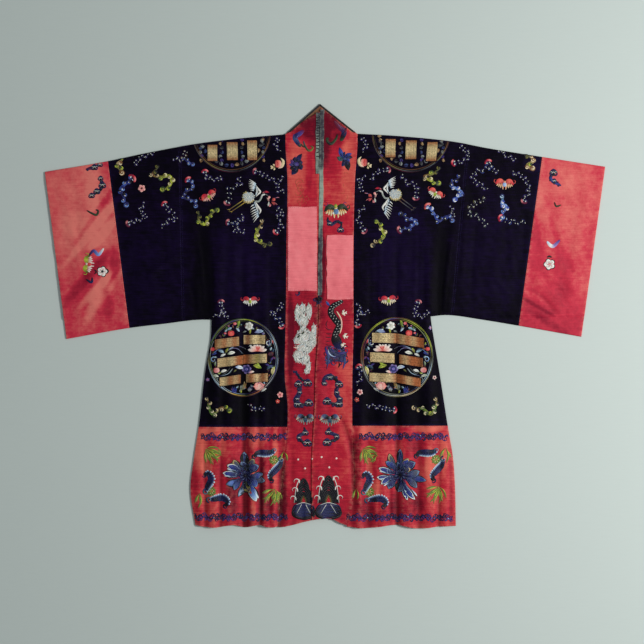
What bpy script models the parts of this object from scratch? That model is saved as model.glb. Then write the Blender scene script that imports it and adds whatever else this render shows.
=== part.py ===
"""An embroidered open-front robe, laid out flat with its sleeves spread.

Metres, +Z up. The robe lies on its back on the surface at z = 0 with its collar
towards +Y. The origin is on that surface, midway between the two cuff ends and
midway between the collar's peak and the lowest point of the hem.
"""

import math
from collections import namedtuple

import bmesh
import bpy
from mathutils import Vector

# Cloth
WALL = 0.0018
BAND_WALL = 0.0022
TRIM_WALL = 0.0012
FACING_WALL = 0.0010
GAP = 0.0003
LAYER = WALL + GAP

# The top layer stands off the back: air under it, eased to nothing at folded edges
AIR_AT_SHOULDER = 0.0012
AIR_AT_HEM = 0.0055
EASE = 0.026
NECK_CLEARANCE = FACING_WALL + 2 * GAP
NECK_LIFT_LOW_Y = 0.490
NECK_LIFT_HIGH_Y = 0.520
PRESSED_FLAT = 0.0006

# Plan of the robe. CENTRE is where the two fronts meet, a little left of the middle.
CENTRE = -0.0145
PEAK_Y = 0.615
UNDERARM = {"left": -0.0105, "right": -0.0010}
HEM_SEAM = {"left": -0.3210, "right": -0.3175}
BACK_HEM = -0.583
NECK_SEAM_Y = 0.5288
FACING_FOOT_Y = 0.5318
SIGN = {"left": -1.0, "right": 1.0}

# The shoulder fold, from the left cuff over the collar's peak to the right cuff
TopRow = namedtuple("TopRow", "x y")
TOP_EDGE = [
    TopRow(-0.8120, 0.4180),
    TopRow(-0.6290, 0.4490),
    TopRow(-0.5256, 0.4708),
    TopRow(-0.3770, 0.4984),
    TopRow(-0.2480, 0.5146),
    TopRow(-0.1160, 0.5265),
    TopRow(CENTRE, PEAK_Y),
    TopRow(0.0937, 0.5285),
    TopRow(0.2167, 0.5215),
    TopRow(0.3740, 0.5053),
    TopRow(0.4710, 0.4868),
    TopRow(0.6290, 0.4615),
    TopRow(0.8120, 0.4330),
]
NECK_POINT = {"left": TOP_EDGE[5], "right": TOP_EDGE[7]}

# The lower edge of each sleeve, outwards from the underarm
LowRow = namedtuple("LowRow", "x y")
SLEEVE_LOWER_EDGE = {
    "left": [
        LowRow(-0.329, -0.0105),
        LowRow(-0.368, -0.0106),
        LowRow(-0.463, -0.0220),
        LowRow(-0.567, -0.0346),
        LowRow(-0.749, -0.0666),
    ],
    "right": [
        LowRow(0.307, -0.0010),
        LowRow(0.353, 0.0030),
        LowRow(0.457, -0.0105),
        LowRow(0.561, -0.0277),
        LowRow(0.743, -0.0600),
    ],
}

# Each line across a sleeve runs from its lower end to its upper end
CrossLine = namedtuple("CrossLine", "low_x high_x")
SLEEVE_SEAM = {"left": CrossLine(-0.411, -0.421), "right": CrossLine(0.368, 0.414)}
CUFF_SEAM = {"left": CrossLine(-0.567, -0.629), "right": CrossLine(0.561, 0.629)}
CUFF_END = {"left": CrossLine(-0.749, -0.812), "right": CrossLine(0.743, 0.812)}

# The body's side seams
SideRow = namedtuple("SideRow", "y left right")
SIDE_SEAM = [
    SideRow(0.520, -0.322, 0.307),
    SideRow(-0.010, -0.329, 0.307),
    SideRow(-0.062, -0.331, 0.315),
    SideRow(-0.152, -0.346, 0.330),
    SideRow(-0.320, -0.366, 0.356),
    SideRow(-0.411, -0.380, 0.371),
    SideRow(-0.501, -0.390, 0.377),
    SideRow(-0.605, -0.376, 0.379),
]

# The band round the neck and down both front edges. Below the underarm its right
# half laps over the left one.
BandRow = namedtuple("BandRow", "y left_outer left_inner right_inner right_outer")
BAND = [
    BandRow(0.602, -0.0170, -0.0140, -0.0125, -0.0085),
    BandRow(0.592, -0.0185, -0.0140, -0.0125, 0.0040),
    BandRow(0.585, -0.0290, -0.0140, -0.0125, 0.0135),
    BandRow(0.562, -0.0660, -0.0140, -0.0125, 0.0430),
    BandRow(0.545, -0.0866, -0.0140, -0.0125, 0.0640),
    BandRow(0.532, -0.1018, -0.0140, -0.0125, 0.0806),
    BandRow(0.5285, -0.1130, -0.0140, -0.0125, 0.0928),
    BandRow(0.520, -0.1144, -0.0141, -0.0126, 0.0938),
    BandRow(0.510, -0.1150, -0.0142, -0.0127, 0.0943),
    BandRow(0.390, -0.1090, -0.0165, -0.0150, 0.0867),
    BandRow(0.234, -0.1115, -0.0195, -0.0180, 0.0830),
    BandRow(0.070, -0.1130, -0.0208, -0.0192, 0.0826),
    BandRow(-0.042, -0.1148, -0.0212, -0.0198, 0.0826),
    BandRow(-0.182, -0.1165, -0.0205, -0.0285, 0.0790),
    BandRow(-0.260, -0.1085, -0.0205, -0.0300, 0.0788),
    BandRow(-0.315, -0.1090, -0.0205, -0.0330, 0.0790),
    BandRow(-0.427, -0.1180, -0.0210, -0.0385, 0.0835),
    BandRow(-0.480, -0.1235, -0.0210, -0.0387, 0.0845),
    BandRow(-0.535, -0.1290, -0.0210, -0.0388, 0.0770),
    BandRow(-0.620, -0.1360, -0.0210, -0.0377, 0.0600),
]
BAND_TOP_ROW_Y = {"left": 0.592, "right": 0.602}
LAP_START_Y = -0.020
LAP_FULL_Y = -0.080
LAP_LIFT = BAND_WALL + 3 * GAP
LAP_FLAT = 0.004
LAP_RAMP = 0.030

# The lowest edge of the fronts
HemRow = namedtuple("HemRow", "x y")
HEM_EDGE = [
    HemRow(-0.400, -0.601),
    HemRow(-0.376, -0.604),
    HemRow(-0.305, -0.612),
    HemRow(-0.246, -0.605),
    HemRow(-0.210, -0.612),
    HemRow(-0.174, -0.605),
    HemRow(-0.130, -0.612),
    HemRow(-0.102, -0.607),
    HemRow(-0.038, -0.591),
    HemRow(0.014, -0.586),
    HemRow(0.046, -0.600),
    HemRow(0.080, -0.609),
    HemRow(0.127, -0.614),
    HemRow(0.207, -0.605),
    HemRow(0.259, -0.615),
    HemRow(0.315, -0.609),
    HemRow(0.400, -0.608),
]

# Folds of the top layer, each along a line, higher (+) or lower (-) than what is
# round it. Each fades in and out over the first and last share of its line, so one
# that is still deep at the hem has its line's end beyond it.
Fold = namedtuple("Fold", "x1 y1 x2 y2 half_1 half_2 rise_1 rise_2")
FOLDS = [
    # Down the middle of each front, where two widths of cloth are joined
    Fold(-0.238, 0.300, -0.231, -0.800, 0.014, 0.019, -0.0006, -0.0100),
    Fold(0.208, 0.300, 0.209, -0.800, 0.013, 0.014, -0.0006, -0.0065),
    # Either side of those seams
    Fold(-0.272, 0.120, -0.280, -0.800, 0.034, 0.026, 0.0010, 0.0085),
    Fold(-0.212, 0.180, -0.202, -0.800, 0.026, 0.018, 0.0008, 0.0095),
    Fold(0.178, 0.180, 0.162, -0.800, 0.036, 0.030, 0.0010, 0.0085),
    Fold(0.238, 0.180, 0.240, -0.800, 0.034, 0.030, 0.0010, 0.0070),
    # From under each arm to the hem
    Fold(-0.352, 0.330, -0.335, -0.280, 0.026, 0.026, -0.0014, -0.0036),
    Fold(-0.302, 0.300, -0.326, -0.800, 0.028, 0.024, 0.0014, 0.0080),
    Fold(0.350, 0.330, 0.318, -0.240, 0.026, 0.030, -0.0014, -0.0034),
    Fold(0.300, 0.340, 0.302, -0.800, 0.034, 0.028, 0.0018, 0.0085),
    # Beside the neckband
    Fold(-0.176, 0.240, -0.171, -0.800, 0.030, 0.018, 0.0006, 0.0085),
    Fold(-0.150, -0.150, -0.151, -0.800, 0.018, 0.015, 0.0004, 0.0070),
    Fold(-0.113, -0.120, -0.137, -0.800, 0.013, 0.015, -0.0004, -0.0075),
    Fold(0.112, 0.240, 0.096, -0.800, 0.030, 0.020, 0.0006, 0.0080),
    Fold(0.030, -0.250, 0.089, -0.420, 0.015, 0.015, -0.0010, -0.0030),
    Fold(0.074, -0.330, 0.088, -0.580, 0.014, 0.014, -0.0020, -0.0045),
    # Short folds of the hem border
    Fold(-0.364, -0.290, -0.360, -0.800, 0.016, 0.018, 0.0004, 0.0060),
    Fold(0.132, -0.300, 0.126, -0.800, 0.014, 0.018, -0.0004, -0.0050),
    Fold(0.272, -0.300, 0.274, -0.800, 0.014, 0.018, -0.0004, -0.0040),
    Fold(0.350, -0.290, 0.346, -0.800, 0.018, 0.022, 0.0004, 0.0065),
    # Across the sleeves and cuffs
    Fold(-0.524, 0.100, -0.405, 0.190, 0.018, 0.022, 0.0018, 0.0010),
    Fold(-0.480, 0.380, -0.520, 0.020, 0.050, 0.060, 0.0008, 0.0016),
    Fold(-0.690, 0.380, -0.660, -0.020, 0.034, 0.040, 0.0014, 0.0020),
    Fold(-0.760, 0.350, -0.722, -0.030, 0.026, 0.030, -0.0008, -0.0010),
    Fold(0.470, 0.380, 0.500, 0.020, 0.050, 0.060, 0.0008, 0.0016),
    Fold(0.655, 0.190, 0.735, 0.060, 0.022, 0.026, 0.0018, 0.0014),
    Fold(0.600, 0.120, 0.700, 0.010, 0.022, 0.026, 0.0014, 0.0018),
    Fold(0.760, 0.380, 0.722, 0.020, 0.026, 0.030, 0.0012, 0.0014),
]
FOLD_FADE = 0.18

# Gold-thread bars. Each follows the cloth from one end of its middle line to the
# other; the broken bars leave a gap at the seam down the middle of the front.
Bar = namedtuple("Bar", "name panel x1 y1 x2 y2 width")
MEDALLION_BARS = [
    Bar("bar_left_1_outer", "front_left", -0.3193, -0.0816, -0.2485, -0.0725, 0.0265),
    Bar("bar_left_1_inner", "front_left", -0.2361, -0.0683, -0.1728, -0.0679, 0.0260),
    Bar("bar_left_2_outer", "front_left", -0.3118, -0.1362, -0.2382, -0.1266, 0.0260),
    Bar("bar_left_2_inner", "front_left", -0.2374, -0.1256, -0.1682, -0.1219, 0.0260),
    Bar("bar_left_3_outer", "front_left", -0.3051, -0.1910, -0.2440, -0.1816, 0.0250),
    Bar("bar_left_3_inner", "front_left", -0.2290, -0.1802, -0.1650, -0.1773, 0.0240),
    Bar("bar_right_1_inner", "front_right", 0.1360, -0.0622, 0.2074, -0.0643, 0.0280),
    Bar("bar_right_1_outer", "front_right", 0.2082, -0.0646, 0.2865, -0.0786, 0.0280),
    Bar("bar_right_2_inner", "front_right", 0.1299, -0.1185, 0.2015, -0.1222, 0.0275),
    Bar("bar_right_2_outer", "front_right", 0.2146, -0.1241, 0.2825, -0.1349, 0.0260),
    Bar("bar_right_3_inner", "front_right", 0.1279, -0.1765, 0.2074, -0.1798, 0.0250),
    Bar("bar_right_3_outer", "front_right", 0.2082, -0.1802, 0.2770, -0.1929, 0.0246),
]
SHOULDER_BARS = [
    Bar("bar_shoulder_left_1", "front_left", -0.3261, 0.4960, -0.3261, 0.4490, 0.0276),
    Bar("bar_shoulder_left_2", "front_left", -0.2690, 0.5040, -0.2680, 0.4517, 0.0310),
    Bar("bar_shoulder_left_3", "front_left", -0.2115, 0.5090, -0.2105, 0.4515, 0.0276),
    Bar("bar_shoulder_right_1", "front_right", 0.1902, 0.5130, 0.1890, 0.4600, 0.0290),
    Bar("bar_shoulder_right_2", "front_right", 0.2500, 0.5090, 0.2480, 0.4546, 0.0310),
    Bar("bar_shoulder_right_3", "front_right", 0.3120, 0.5040, 0.3070, 0.4490, 0.0295),
]

# Pink patches sewn over worn stretches of the band: (x from, x to, y from, y to)
Patch = namedtuple("Patch", "name panel x1 x2 y1 y2")
PATCHES = [
    Patch("pink_patch_left", "neckband_left", -0.1075, -0.0235, 0.073, 0.3165),
    Patch("pink_patch_right", "neckband_right", 0.0050, 0.0815, 0.048, 0.2348),
]

# The silk ribbons along the top of the opening, and the knot that ends the long one
RIBBON_WIDTH = 0.0115
RIBBON_TOP_Y = 0.584
SHORT_RIBBON_END_Y = 0.412
LONG_RIBBON_END_Y = 0.060
PIPING_WIDTH = 0.0048
KNOT_X = -0.0145
KNOT_Y = 0.0500
KNOT_HALF_WIDTH = 0.0078
KNOT_HALF_LENGTH = 0.0068
KNOT_HALF_HEIGHT = 0.0042
KNOT_CLEARANCE = 0.0008

# Cells of each cloth grid
BODY_COLUMNS = 24
WING_COLUMNS = 5
UPPER_ROWS = 11
LOWER_ROWS = 7
HEM_ROWS = 6
BAND_COLUMNS = 4
SLEEVE_ACROSS = 13
SLEEVE_SECTIONS = 5
CUFF_SECTIONS = 4
BACK_COLUMNS = 4
BACK_WING_COLUMNS = 2
FOLD_EDGE_INSET = 0.0010
INNER_EDGE_INSET = WALL + 0.0006

Colour = namedtuple("Colour", "rgb roughness metallic")
COLOURS = {
    "navy_silk": Colour((0.012, 0.006, 0.032), 0.55, 0.0),
    "coral_silk": Colour((0.560, 0.050, 0.045), 0.50, 0.0),
    "pink_silk": Colour((0.760, 0.150, 0.170), 0.60, 0.0),
    "gold_thread": Colour((0.520, 0.310, 0.130), 0.45, 0.3),
    "sage_ribbon": Colour((0.150, 0.220, 0.180), 0.55, 0.0),
    "tan_lining": Colour((0.390, 0.200, 0.100), 0.75, 0.0),
    "black_piping": Colour((0.010, 0.009, 0.012), 0.60, 0.0),
}


def clear_scene():
    """Remove what the file starts with."""
    for thing in list(bpy.data.objects):
        bpy.data.objects.remove(thing)


def clamp(value, low=0.0, high=1.0):
    return max(low, min(high, value))


def lerp(a, b, share):
    return a + (b - a) * share


def smoothstep(share):
    share = clamp(share)
    return share * share * (3 - 2 * share)


def on_curve(pairs, at):
    """Height of a smooth curve through (position, height) pairs that rise in position."""
    if at <= pairs[0][0]:
        return pairs[0][1]
    if at >= pairs[-1][0]:
        return pairs[-1][1]
    k = max(i for i, pair in enumerate(pairs[:-1]) if pair[0] <= at)
    slopes = [(b[1] - a[1]) / (b[0] - a[0]) for a, b in zip(pairs, pairs[1:])]
    start = slopes[k] if k == 0 else (slopes[k - 1] + slopes[k]) / 2
    end = slopes[k] if k == len(slopes) - 1 else (slopes[k] + slopes[k + 1]) / 2
    span = pairs[k + 1][0] - pairs[k][0]
    t = (at - pairs[k][0]) / span
    return (
        (2 * t**3 - 3 * t**2 + 1) * pairs[k][1]
        + (t**3 - 2 * t**2 + t) * span * start
        + (3 * t**2 - 2 * t**3) * pairs[k + 1][1]
        + (t**3 - t**2) * span * end
    )


LEFT_SHOULDER = [(r.x, r.y) for r in TOP_EDGE[:6]]
RIGHT_SHOULDER = [(r.x, r.y) for r in TOP_EDGE[7:]]


def top_edge(x):
    """The shoulder fold, with the straight sides of the collar's peak between."""
    left, right = NECK_POINT["left"], NECK_POINT["right"]
    if x <= left.x:
        return on_curve(LEFT_SHOULDER, x)
    if x >= right.x:
        return on_curve(RIGHT_SHOULDER, x)
    foot = left if x < CENTRE else right
    return lerp(foot.y, PEAK_Y, (x - foot.x) / (CENTRE - foot.x))


def peak_edge_x(side, y):
    """Where a slanted side of the collar's peak is at height y of the plan."""
    foot = NECK_POINT[side]
    return lerp(foot.x, CENTRE, (y - foot.y) / (PEAK_Y - foot.y))


def back_top(x):
    """Top of the back panels: the shoulder fold, cut straight across below the peak."""
    if NECK_POINT["left"].x < x < NECK_POINT["right"].x:
        return min(top_edge(x), NECK_SEAM_Y - GAP)
    return top_edge(x)


def side_seam(side, y):
    rows = sorted((r.y, getattr(r, side)) for r in SIDE_SEAM)
    return on_curve(rows, y)


def sleeve_low(side, x):
    rows = sorted((r.x, r.y) for r in SLEEVE_LOWER_EDGE[side])
    return on_curve(rows, x)


def band_edge(column, y):
    return on_curve(sorted((r.y, getattr(r, column)) for r in BAND), y)


def hem_edge(x):
    return on_curve([(r.x, r.y) for r in HEM_EDGE], x)


def side_of(x):
    return "left" if x < CENTRE else "right"


def edge_distance(x, y):
    """How far a point of the plan lies inside the nearest folded or seamed edge."""
    side = side_of(x)
    inward = SIGN[side] * (side_seam(side, y) - x)
    above = y - UNDERARM[side]
    from_top = top_edge(x) - y
    if above <= 0:
        return min(from_top, inward)
    if inward <= 0:
        return min(from_top, y - sleeve_low(side, x))
    return min(from_top, math.hypot(inward, above))


def fold_rise(fold, x, y):
    """What one fold adds at a point of the plan."""
    start = Vector((fold.x1, fold.y1))
    along = Vector((fold.x2, fold.y2)) - start
    offset = Vector((x, y)) - start
    share = offset.dot(along) / along.length_squared
    if not 0 < share < 1:
        return 0.0
    half = lerp(fold.half_1, fold.half_2, share)
    across = abs(along.x * offset.y - along.y * offset.x) / along.length
    if across >= half:
        return 0.0
    fade = smoothstep(share / FOLD_FADE) * smoothstep((1 - share) / FOLD_FADE)
    crown = math.cos(math.pi * across / (2 * half)) ** 2
    return lerp(fold.rise_1, fold.rise_2, share) * fade * crown


def rise(x, y):
    """How far the top layer's underside stands above where it would lie pressed flat."""
    down = clamp((top_edge(x) - y) / (top_edge(x) + PEAK_Y))
    air = lerp(AIR_AT_SHOULDER, AIR_AT_HEM, down**2) + sum(fold_rise(f, x, y) for f in FOLDS)
    kept = (air + math.hypot(air, PRESSED_FLAT)) / 2
    inside = clamp(edge_distance(x, y) / EASE)
    return kept * (1 - (1 - inside) ** 2)


def underside(x, y):
    """Height of the top layer's underside above the surface that the robe lies on."""
    return LAYER + rise(x, y)


def neck_lift(y):
    """What the neckband gains where it lies over the facing of the back neck."""
    return NECK_CLEARANCE * smoothstep((y - NECK_LIFT_LOW_Y) / (NECK_LIFT_HIGH_Y - NECK_LIFT_LOW_Y))


def lap_lift(x, y):
    """What the right half of the neckband gains where it laps over the left half."""
    near = 1 - clamp((x - band_edge("left_inner", y) - LAP_FLAT) / LAP_RAMP)
    down = clamp((LAP_START_Y - y) / (LAP_START_Y - LAP_FULL_Y))
    return LAP_LIFT * smoothstep(near) * smoothstep(down)


def grid_sheet(columns, rows, point, keep=lambda i, j: True):
    """An open sheet of triangles over a grid of points, with its face side up.

    keep says which cells of the grid are cloth.
    """
    sheet = bmesh.new()
    corners = {}

    def corner(i, j):
        if (i, j) not in corners:
            corners[i, j] = sheet.verts.new(point(i, j))
        return corners[i, j]

    for i in range(columns):
        for j in range(rows):
            if keep(i, j):
                ring = (corner(i, j), corner(i + 1, j), corner(i + 1, j + 1), corner(i, j + 1))
                sheet.faces.new(ring)
    bmesh.ops.triangulate(sheet, faces=sheet.faces)
    sheet.normal_update()
    if sum(face.normal.z for face in sheet.faces) < 0:
        bmesh.ops.reverse_faces(sheet, faces=sheet.faces)
    return sheet


def thickened(sheet, wall):
    """The sheet extruded straight up by its wall, so that neighbours keep their gap."""
    solid = sheet.copy()
    made = bmesh.ops.extrude_face_region(solid, geom=solid.faces[:], use_keep_orig=True)
    raised = [part for part in made["geom"] if isinstance(part, bmesh.types.BMVert)]
    bmesh.ops.translate(solid, verts=raised, vec=(0, 0, wall))
    bmesh.ops.recalc_face_normals(solid, faces=solid.faces)
    return solid


def cut_from(sheet, outline, lift):
    """The part of a sheet inside a convex outline of (x, y) corners, moved up by lift."""
    piece = sheet.copy()
    turn = sum(a[0] * b[1] - b[0] * a[1] for a, b in zip(outline, outline[1:] + outline[:1]))
    for a, b in zip(outline, outline[1:] + outline[:1]):
        outward = Vector((b[1] - a[1], a[0] - b[0], 0)) * math.copysign(1, turn)
        bmesh.ops.bisect_plane(
            piece,
            geom=piece.verts[:] + piece.edges[:] + piece.faces[:],
            dist=1e-6,
            plane_co=(a[0], a[1], 0),
            plane_no=outward,
            clear_outer=True,
        )
    bmesh.ops.triangulate(piece, faces=piece.faces)
    bmesh.ops.translate(piece, verts=piece.verts, vec=(0, 0, lift))
    return piece


def make_material(name):
    colour = COLOURS[name]
    material = bpy.data.materials.new(name)
    material.use_nodes = True
    shader = material.node_tree.nodes["Principled BSDF"]
    shader.inputs["Base Color"].default_value = (*colour.rgb, 1)
    shader.inputs["Roughness"].default_value = colour.roughness
    shader.inputs["Metallic"].default_value = colour.metallic
    return material


class Robe:
    """The collection of pieces, with the open sheet that each cloth piece is made from."""

    def __init__(self):
        self.collection = bpy.data.collections.new("taoist_robe")
        bpy.context.scene.collection.children.link(self.collection)
        self.materials = {name: make_material(name) for name in COLOURS}
        self.sheets = {}

    def add_mesh(self, name, solid, material):
        mesh = bpy.data.meshes.new(name)
        solid.to_mesh(mesh)
        solid.free()
        mesh.materials.append(self.materials[material])
        mesh.shade_smooth()
        mesh.set_sharp_from_angle(angle=math.radians(50))
        piece = bpy.data.objects.new(name, mesh)
        self.collection.objects.link(piece)
        return piece

    def add_cloth(self, name, sheet, wall, material):
        self.sheets[name] = sheet
        return self.add_mesh(name, thickened(sheet, wall), material)

    def add_overlay(self, name, panel, outline, panel_wall, material, wall=TRIM_WALL):
        """A piece that lies on a panel, made from the panel's own points."""
        piece = cut_from(self.sheets[panel], outline, panel_wall + GAP)
        self.sheets[name] = piece
        return self.add_mesh(name, thickened(piece, wall), material)


def body_row_y(side, x, row, top, bottom):
    """Height in the plan of a grid row that runs from the shoulder to the hem seam."""
    if row <= UPPER_ROWS:
        return lerp(top(x), bottom(x), row / UPPER_ROWS)
    return lerp(bottom(x), HEM_SEAM[side] + GAP / 2, (row - UPPER_ROWS) / LOWER_ROWS)


def seam_x(line, side, y):
    """Where a line across a sleeve is at height y of the plan."""
    low_y, high_y = sleeve_low(side, line.low_x), top_edge(line.high_x)
    return lerp(line.low_x, line.high_x, (y - low_y) / (high_y - low_y))


def underarm_edge(side):
    """Lower edge of the upper rows: level under the body, then the sleeve's own edge."""

    def edge(x):
        if SIGN[side] * (x - side_seam(side, UNDERARM[side])) <= 0:
            return UNDERARM[side]
        return sleeve_low(side, x)

    return edge


def body_sheet(side, inner, columns, wings, top, height):
    """One side of the body with the start of its sleeve, cut in one piece."""
    side_top = SIDE_SEAM[0]
    outer_x = getattr(side_top, side)

    def point(i, j):
        if i <= columns:
            x_top = lerp(inner(top(outer_x)), outer_x, i / columns)
            y = body_row_y(side, x_top, j, top, underarm_edge(side))
            x = lerp(inner(y), side_seam(side, y), i / columns)
        else:
            share = (i - columns) / wings
            seam = SLEEVE_SEAM[side]
            x_guide = lerp(outer_x, seam.high_x, share)
            low = underarm_edge(side)(lerp(side_seam(side, UNDERARM[side]), seam.low_x, share))
            y = lerp(top(x_guide), low, j / UPPER_ROWS)
            x = lerp(side_seam(side, y), seam_x(seam, side, y) - SIGN[side] * GAP / 2, share)
        return x, y, height(x, y)

    return grid_sheet(
        columns + wings,
        UPPER_ROWS + LOWER_ROWS,
        point,
        lambda i, j: i < columns or j < UPPER_ROWS,
    )


def hem_sheet(side, inner, columns, rows, bottom, height):
    """One side of the border below the hem seam."""

    def point(i, j):
        share = i / columns
        guide = lerp(inner(HEM_SEAM[side]), side_seam(side, HEM_SEAM[side]), share)
        y = lerp(HEM_SEAM[side] - GAP / 2, bottom(guide), j / rows)
        x = lerp(inner(y), side_seam(side, y), share)
        return x, y, height(x, y)

    return grid_sheet(columns, rows, point)


def band_rows(side):
    """Heights in the plan of the neckband's rows. They match those of the panels beside it."""
    outer = NECK_POINT[side].x
    peak = [row.y for row in BAND if NECK_POINT[side].y < row.y <= BAND_TOP_ROW_Y[side]]
    edge = underarm_edge(side)
    front = [
        body_row_y(side, outer, j, lambda x: NECK_POINT[side].y - GAP, edge)
        for j in range(UPPER_ROWS + LOWER_ROWS)
    ]
    guide = band_edge(f"{side}_outer", HEM_SEAM[side])
    hem = [lerp(HEM_SEAM[side], hem_edge(guide), j / HEM_ROWS) for j in range(HEM_ROWS + 1)]
    return peak + front + hem


def neckband_sheet(side):
    """One half of the neckband, from the collar's peak to the hem."""
    rows = band_rows(side)
    outer_column, inner_column = f"{side}_outer", f"{side}_inner"

    def point(i, j):
        y = rows[j]
        outer = band_edge(outer_column, y) - SIGN[side] * GAP / 2
        x = lerp(band_edge(inner_column, y), outer, i / BAND_COLUMNS)
        if j == len(rows) - 1:
            y = hem_edge(x)
        lap = lap_lift(x, y) if side == "right" else 0.0
        return x, y, underside(x, y) + neck_lift(y) + lap

    return grid_sheet(BAND_COLUMNS, len(rows) - 1, point)


def sleeve_rings(side, start, end, sections, gap_start, gap_end):
    """Outer and inner rings of a sleeve that lies flat, between two lines across it."""
    rings = []
    for k in range(sections + 1):
        share = k / sections
        inset = SIGN[side] * GAP / 2 * (gap_start * (k == 0) - gap_end * (k == sections))
        low_x = lerp(start.low_x, end.low_x, share) + inset
        high_x = lerp(start.high_x, end.high_x, share) + inset
        low = Vector((low_x, sleeve_low(side, low_x)))
        high = Vector((high_x, top_edge(high_x)))
        rings.append((sleeve_ring(low, high, 0.0), sleeve_ring(low, high, WALL)))
    return rings


def sleeve_ring(low, high, depth):
    """One closed ring: across the back layer, round the fold, back across the front.

    depth is how far the ring lies inside the sleeve's outer face.
    """
    inset = INNER_EDGE_INSET if depth else FOLD_EDGE_INSET
    width = (high - low).length
    across = []
    for k in range(SLEEVE_ACROSS + 1):
        across.append(low.lerp(high, lerp(inset, width - inset, k / SLEEVE_ACROSS) / width))
    back = [(p.x, p.y, depth) for p in across]
    front = [(p.x, p.y, underside(p.x, p.y) + WALL - depth) for p in reversed(across)]
    fold_z = (LAYER + WALL) / 2
    turn_high = low.lerp(high, 1 - depth / width)
    turn_low = low.lerp(high, depth / width)
    return back + [(turn_high.x, turn_high.y, fold_z)] + front + [(turn_low.x, turn_low.y, fold_z)]


def flat_tube(rings):
    """A closed wall lofted through pairs of outer and inner rings, open at both ends."""
    tube = bmesh.new()
    made = [[[tube.verts.new(p) for p in ring] for ring in pair] for pair in rings]
    count = len(made[0][0])

    def bridge(first, second):
        for k in range(count):
            following = (k + 1) % count
            tube.faces.new((first[k], first[following], second[following], second[k]))

    for (outer, inner), (next_outer, next_inner) in zip(made, made[1:]):
        bridge(outer, next_outer)
        bridge(next_inner, inner)
    bridge(made[0][1], made[0][0])
    bridge(made[-1][0], made[-1][1])
    bmesh.ops.triangulate(tube, faces=tube.faces)
    bmesh.ops.recalc_face_normals(tube, faces=tube.faces)
    return tube


def outline_along(x1, y1, x2, y2, width):
    """Corners of a straight strip about a middle line."""
    along = Vector((x2 - x1, y2 - y1)).normalized()
    across = Vector((-along.y, along.x)) * width / 2
    ends = Vector((x1, y1)), Vector((x2, y2))
    return [tuple(p) for p in (ends[0] - across, ends[1] - across, ends[1] + across, ends[0] + across)]


def bar_outline(bar):
    """Corners of a gold bar. Bars on the body have upright ends, as the seam beside them."""
    if abs(bar.x2 - bar.x1) < bar.width / 2:
        return outline_along(bar.x1, bar.y1, bar.x2, bar.y2, bar.width)
    half = bar.width / 2
    return [
        (bar.x1, bar.y1 - half),
        (bar.x2, bar.y2 - half),
        (bar.x2, bar.y2 + half),
        (bar.x1, bar.y1 + half),
    ]


def add_back(robe):
    """Back panels, back hem border and the band behind the neck, all flat on the surface."""
    on_surface = lambda x, y: 0.0
    for side in SIGN:
        inner = lambda y: CENTRE + SIGN[side] * GAP / 2
        sheet = body_sheet(side, inner, BACK_COLUMNS, BACK_WING_COLUMNS, back_top, on_surface)
        robe.add_cloth(f"back_{side}", sheet, WALL, "navy_silk")
        hem = hem_sheet(side, inner, BACK_COLUMNS, 2, lambda x: BACK_HEM, on_surface)
        robe.add_cloth(f"hem_back_{side}", hem, WALL, "coral_silk")
    robe.add_cloth("neckband_back", neck_triangle(NECK_SEAM_Y, 0.0), WALL, "coral_silk")


def neck_triangle(foot_y, height):
    """The flat three-cornered sheet between a line across the neck and the collar's peak."""
    left = (peak_edge_x("left", foot_y), foot_y)
    right = (peak_edge_x("right", foot_y), foot_y)
    sheet = bmesh.new()
    sheet.faces.new([sheet.verts.new((x, y, height)) for x, y in (left, right, (CENTRE, PEAK_Y))])
    return sheet


def add_fronts(robe):
    """Front panels and their hem borders."""
    for side in SIGN:
        inner = lambda y: band_edge(f"{side}_outer", min(y, 0.510)) + SIGN[side] * GAP / 2
        sheet = body_sheet(side, inner, BODY_COLUMNS, WING_COLUMNS, top_edge, underside)
        robe.add_cloth(f"front_{side}", sheet, WALL, "navy_silk")
        hem = hem_sheet(side, inner, BODY_COLUMNS, HEM_ROWS, hem_edge, underside)
        robe.add_cloth(f"hem_front_{side}", hem, WALL, "coral_silk")


def add_sleeves(robe):
    """Sleeves and cuffs: tubes that lie flat, open at both ends."""
    for side in SIGN:
        sleeve = sleeve_rings(side, SLEEVE_SEAM[side], CUFF_SEAM[side], SLEEVE_SECTIONS, 1, 1)
        robe.add_mesh(f"sleeve_{side}", flat_tube(sleeve), "navy_silk")
        cuff = sleeve_rings(side, CUFF_SEAM[side], CUFF_END[side], CUFF_SECTIONS, 1, 0)
        robe.add_mesh(f"cuff_{side}", flat_tube(cuff), "coral_silk")


def add_neckband(robe):
    """The band down both front edges, with the patches sewn on it."""
    for side in SIGN:
        robe.add_cloth(f"neckband_{side}", neckband_sheet(side), BAND_WALL, "coral_silk")
    for patch in PATCHES:
        outline = [
            (patch.x1, patch.y1),
            (patch.x2, patch.y1),
            (patch.x2, patch.y2),
            (patch.x1, patch.y2),
        ]
        robe.add_overlay(patch.name, patch.panel, outline, BAND_WALL, "pink_silk")


def piping_outline(side):
    """Corners of the strip along one slanted side of the peak, up to the centre line."""
    foot_x = peak_edge_x(side, FACING_FOOT_Y)
    centre_x = CENTRE + SIGN[side] * GAP / 2
    run, climb = abs(foot_x - CENTRE), PEAK_Y - FACING_FOOT_Y
    slant = math.hypot(run, climb)
    return [
        (foot_x, FACING_FOOT_Y),
        (centre_x, PEAK_Y),
        (centre_x, PEAK_Y - PIPING_WIDTH * slant / run),
        (foot_x - SIGN[side] * PIPING_WIDTH * slant / climb, FACING_FOOT_Y),
    ]


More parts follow.
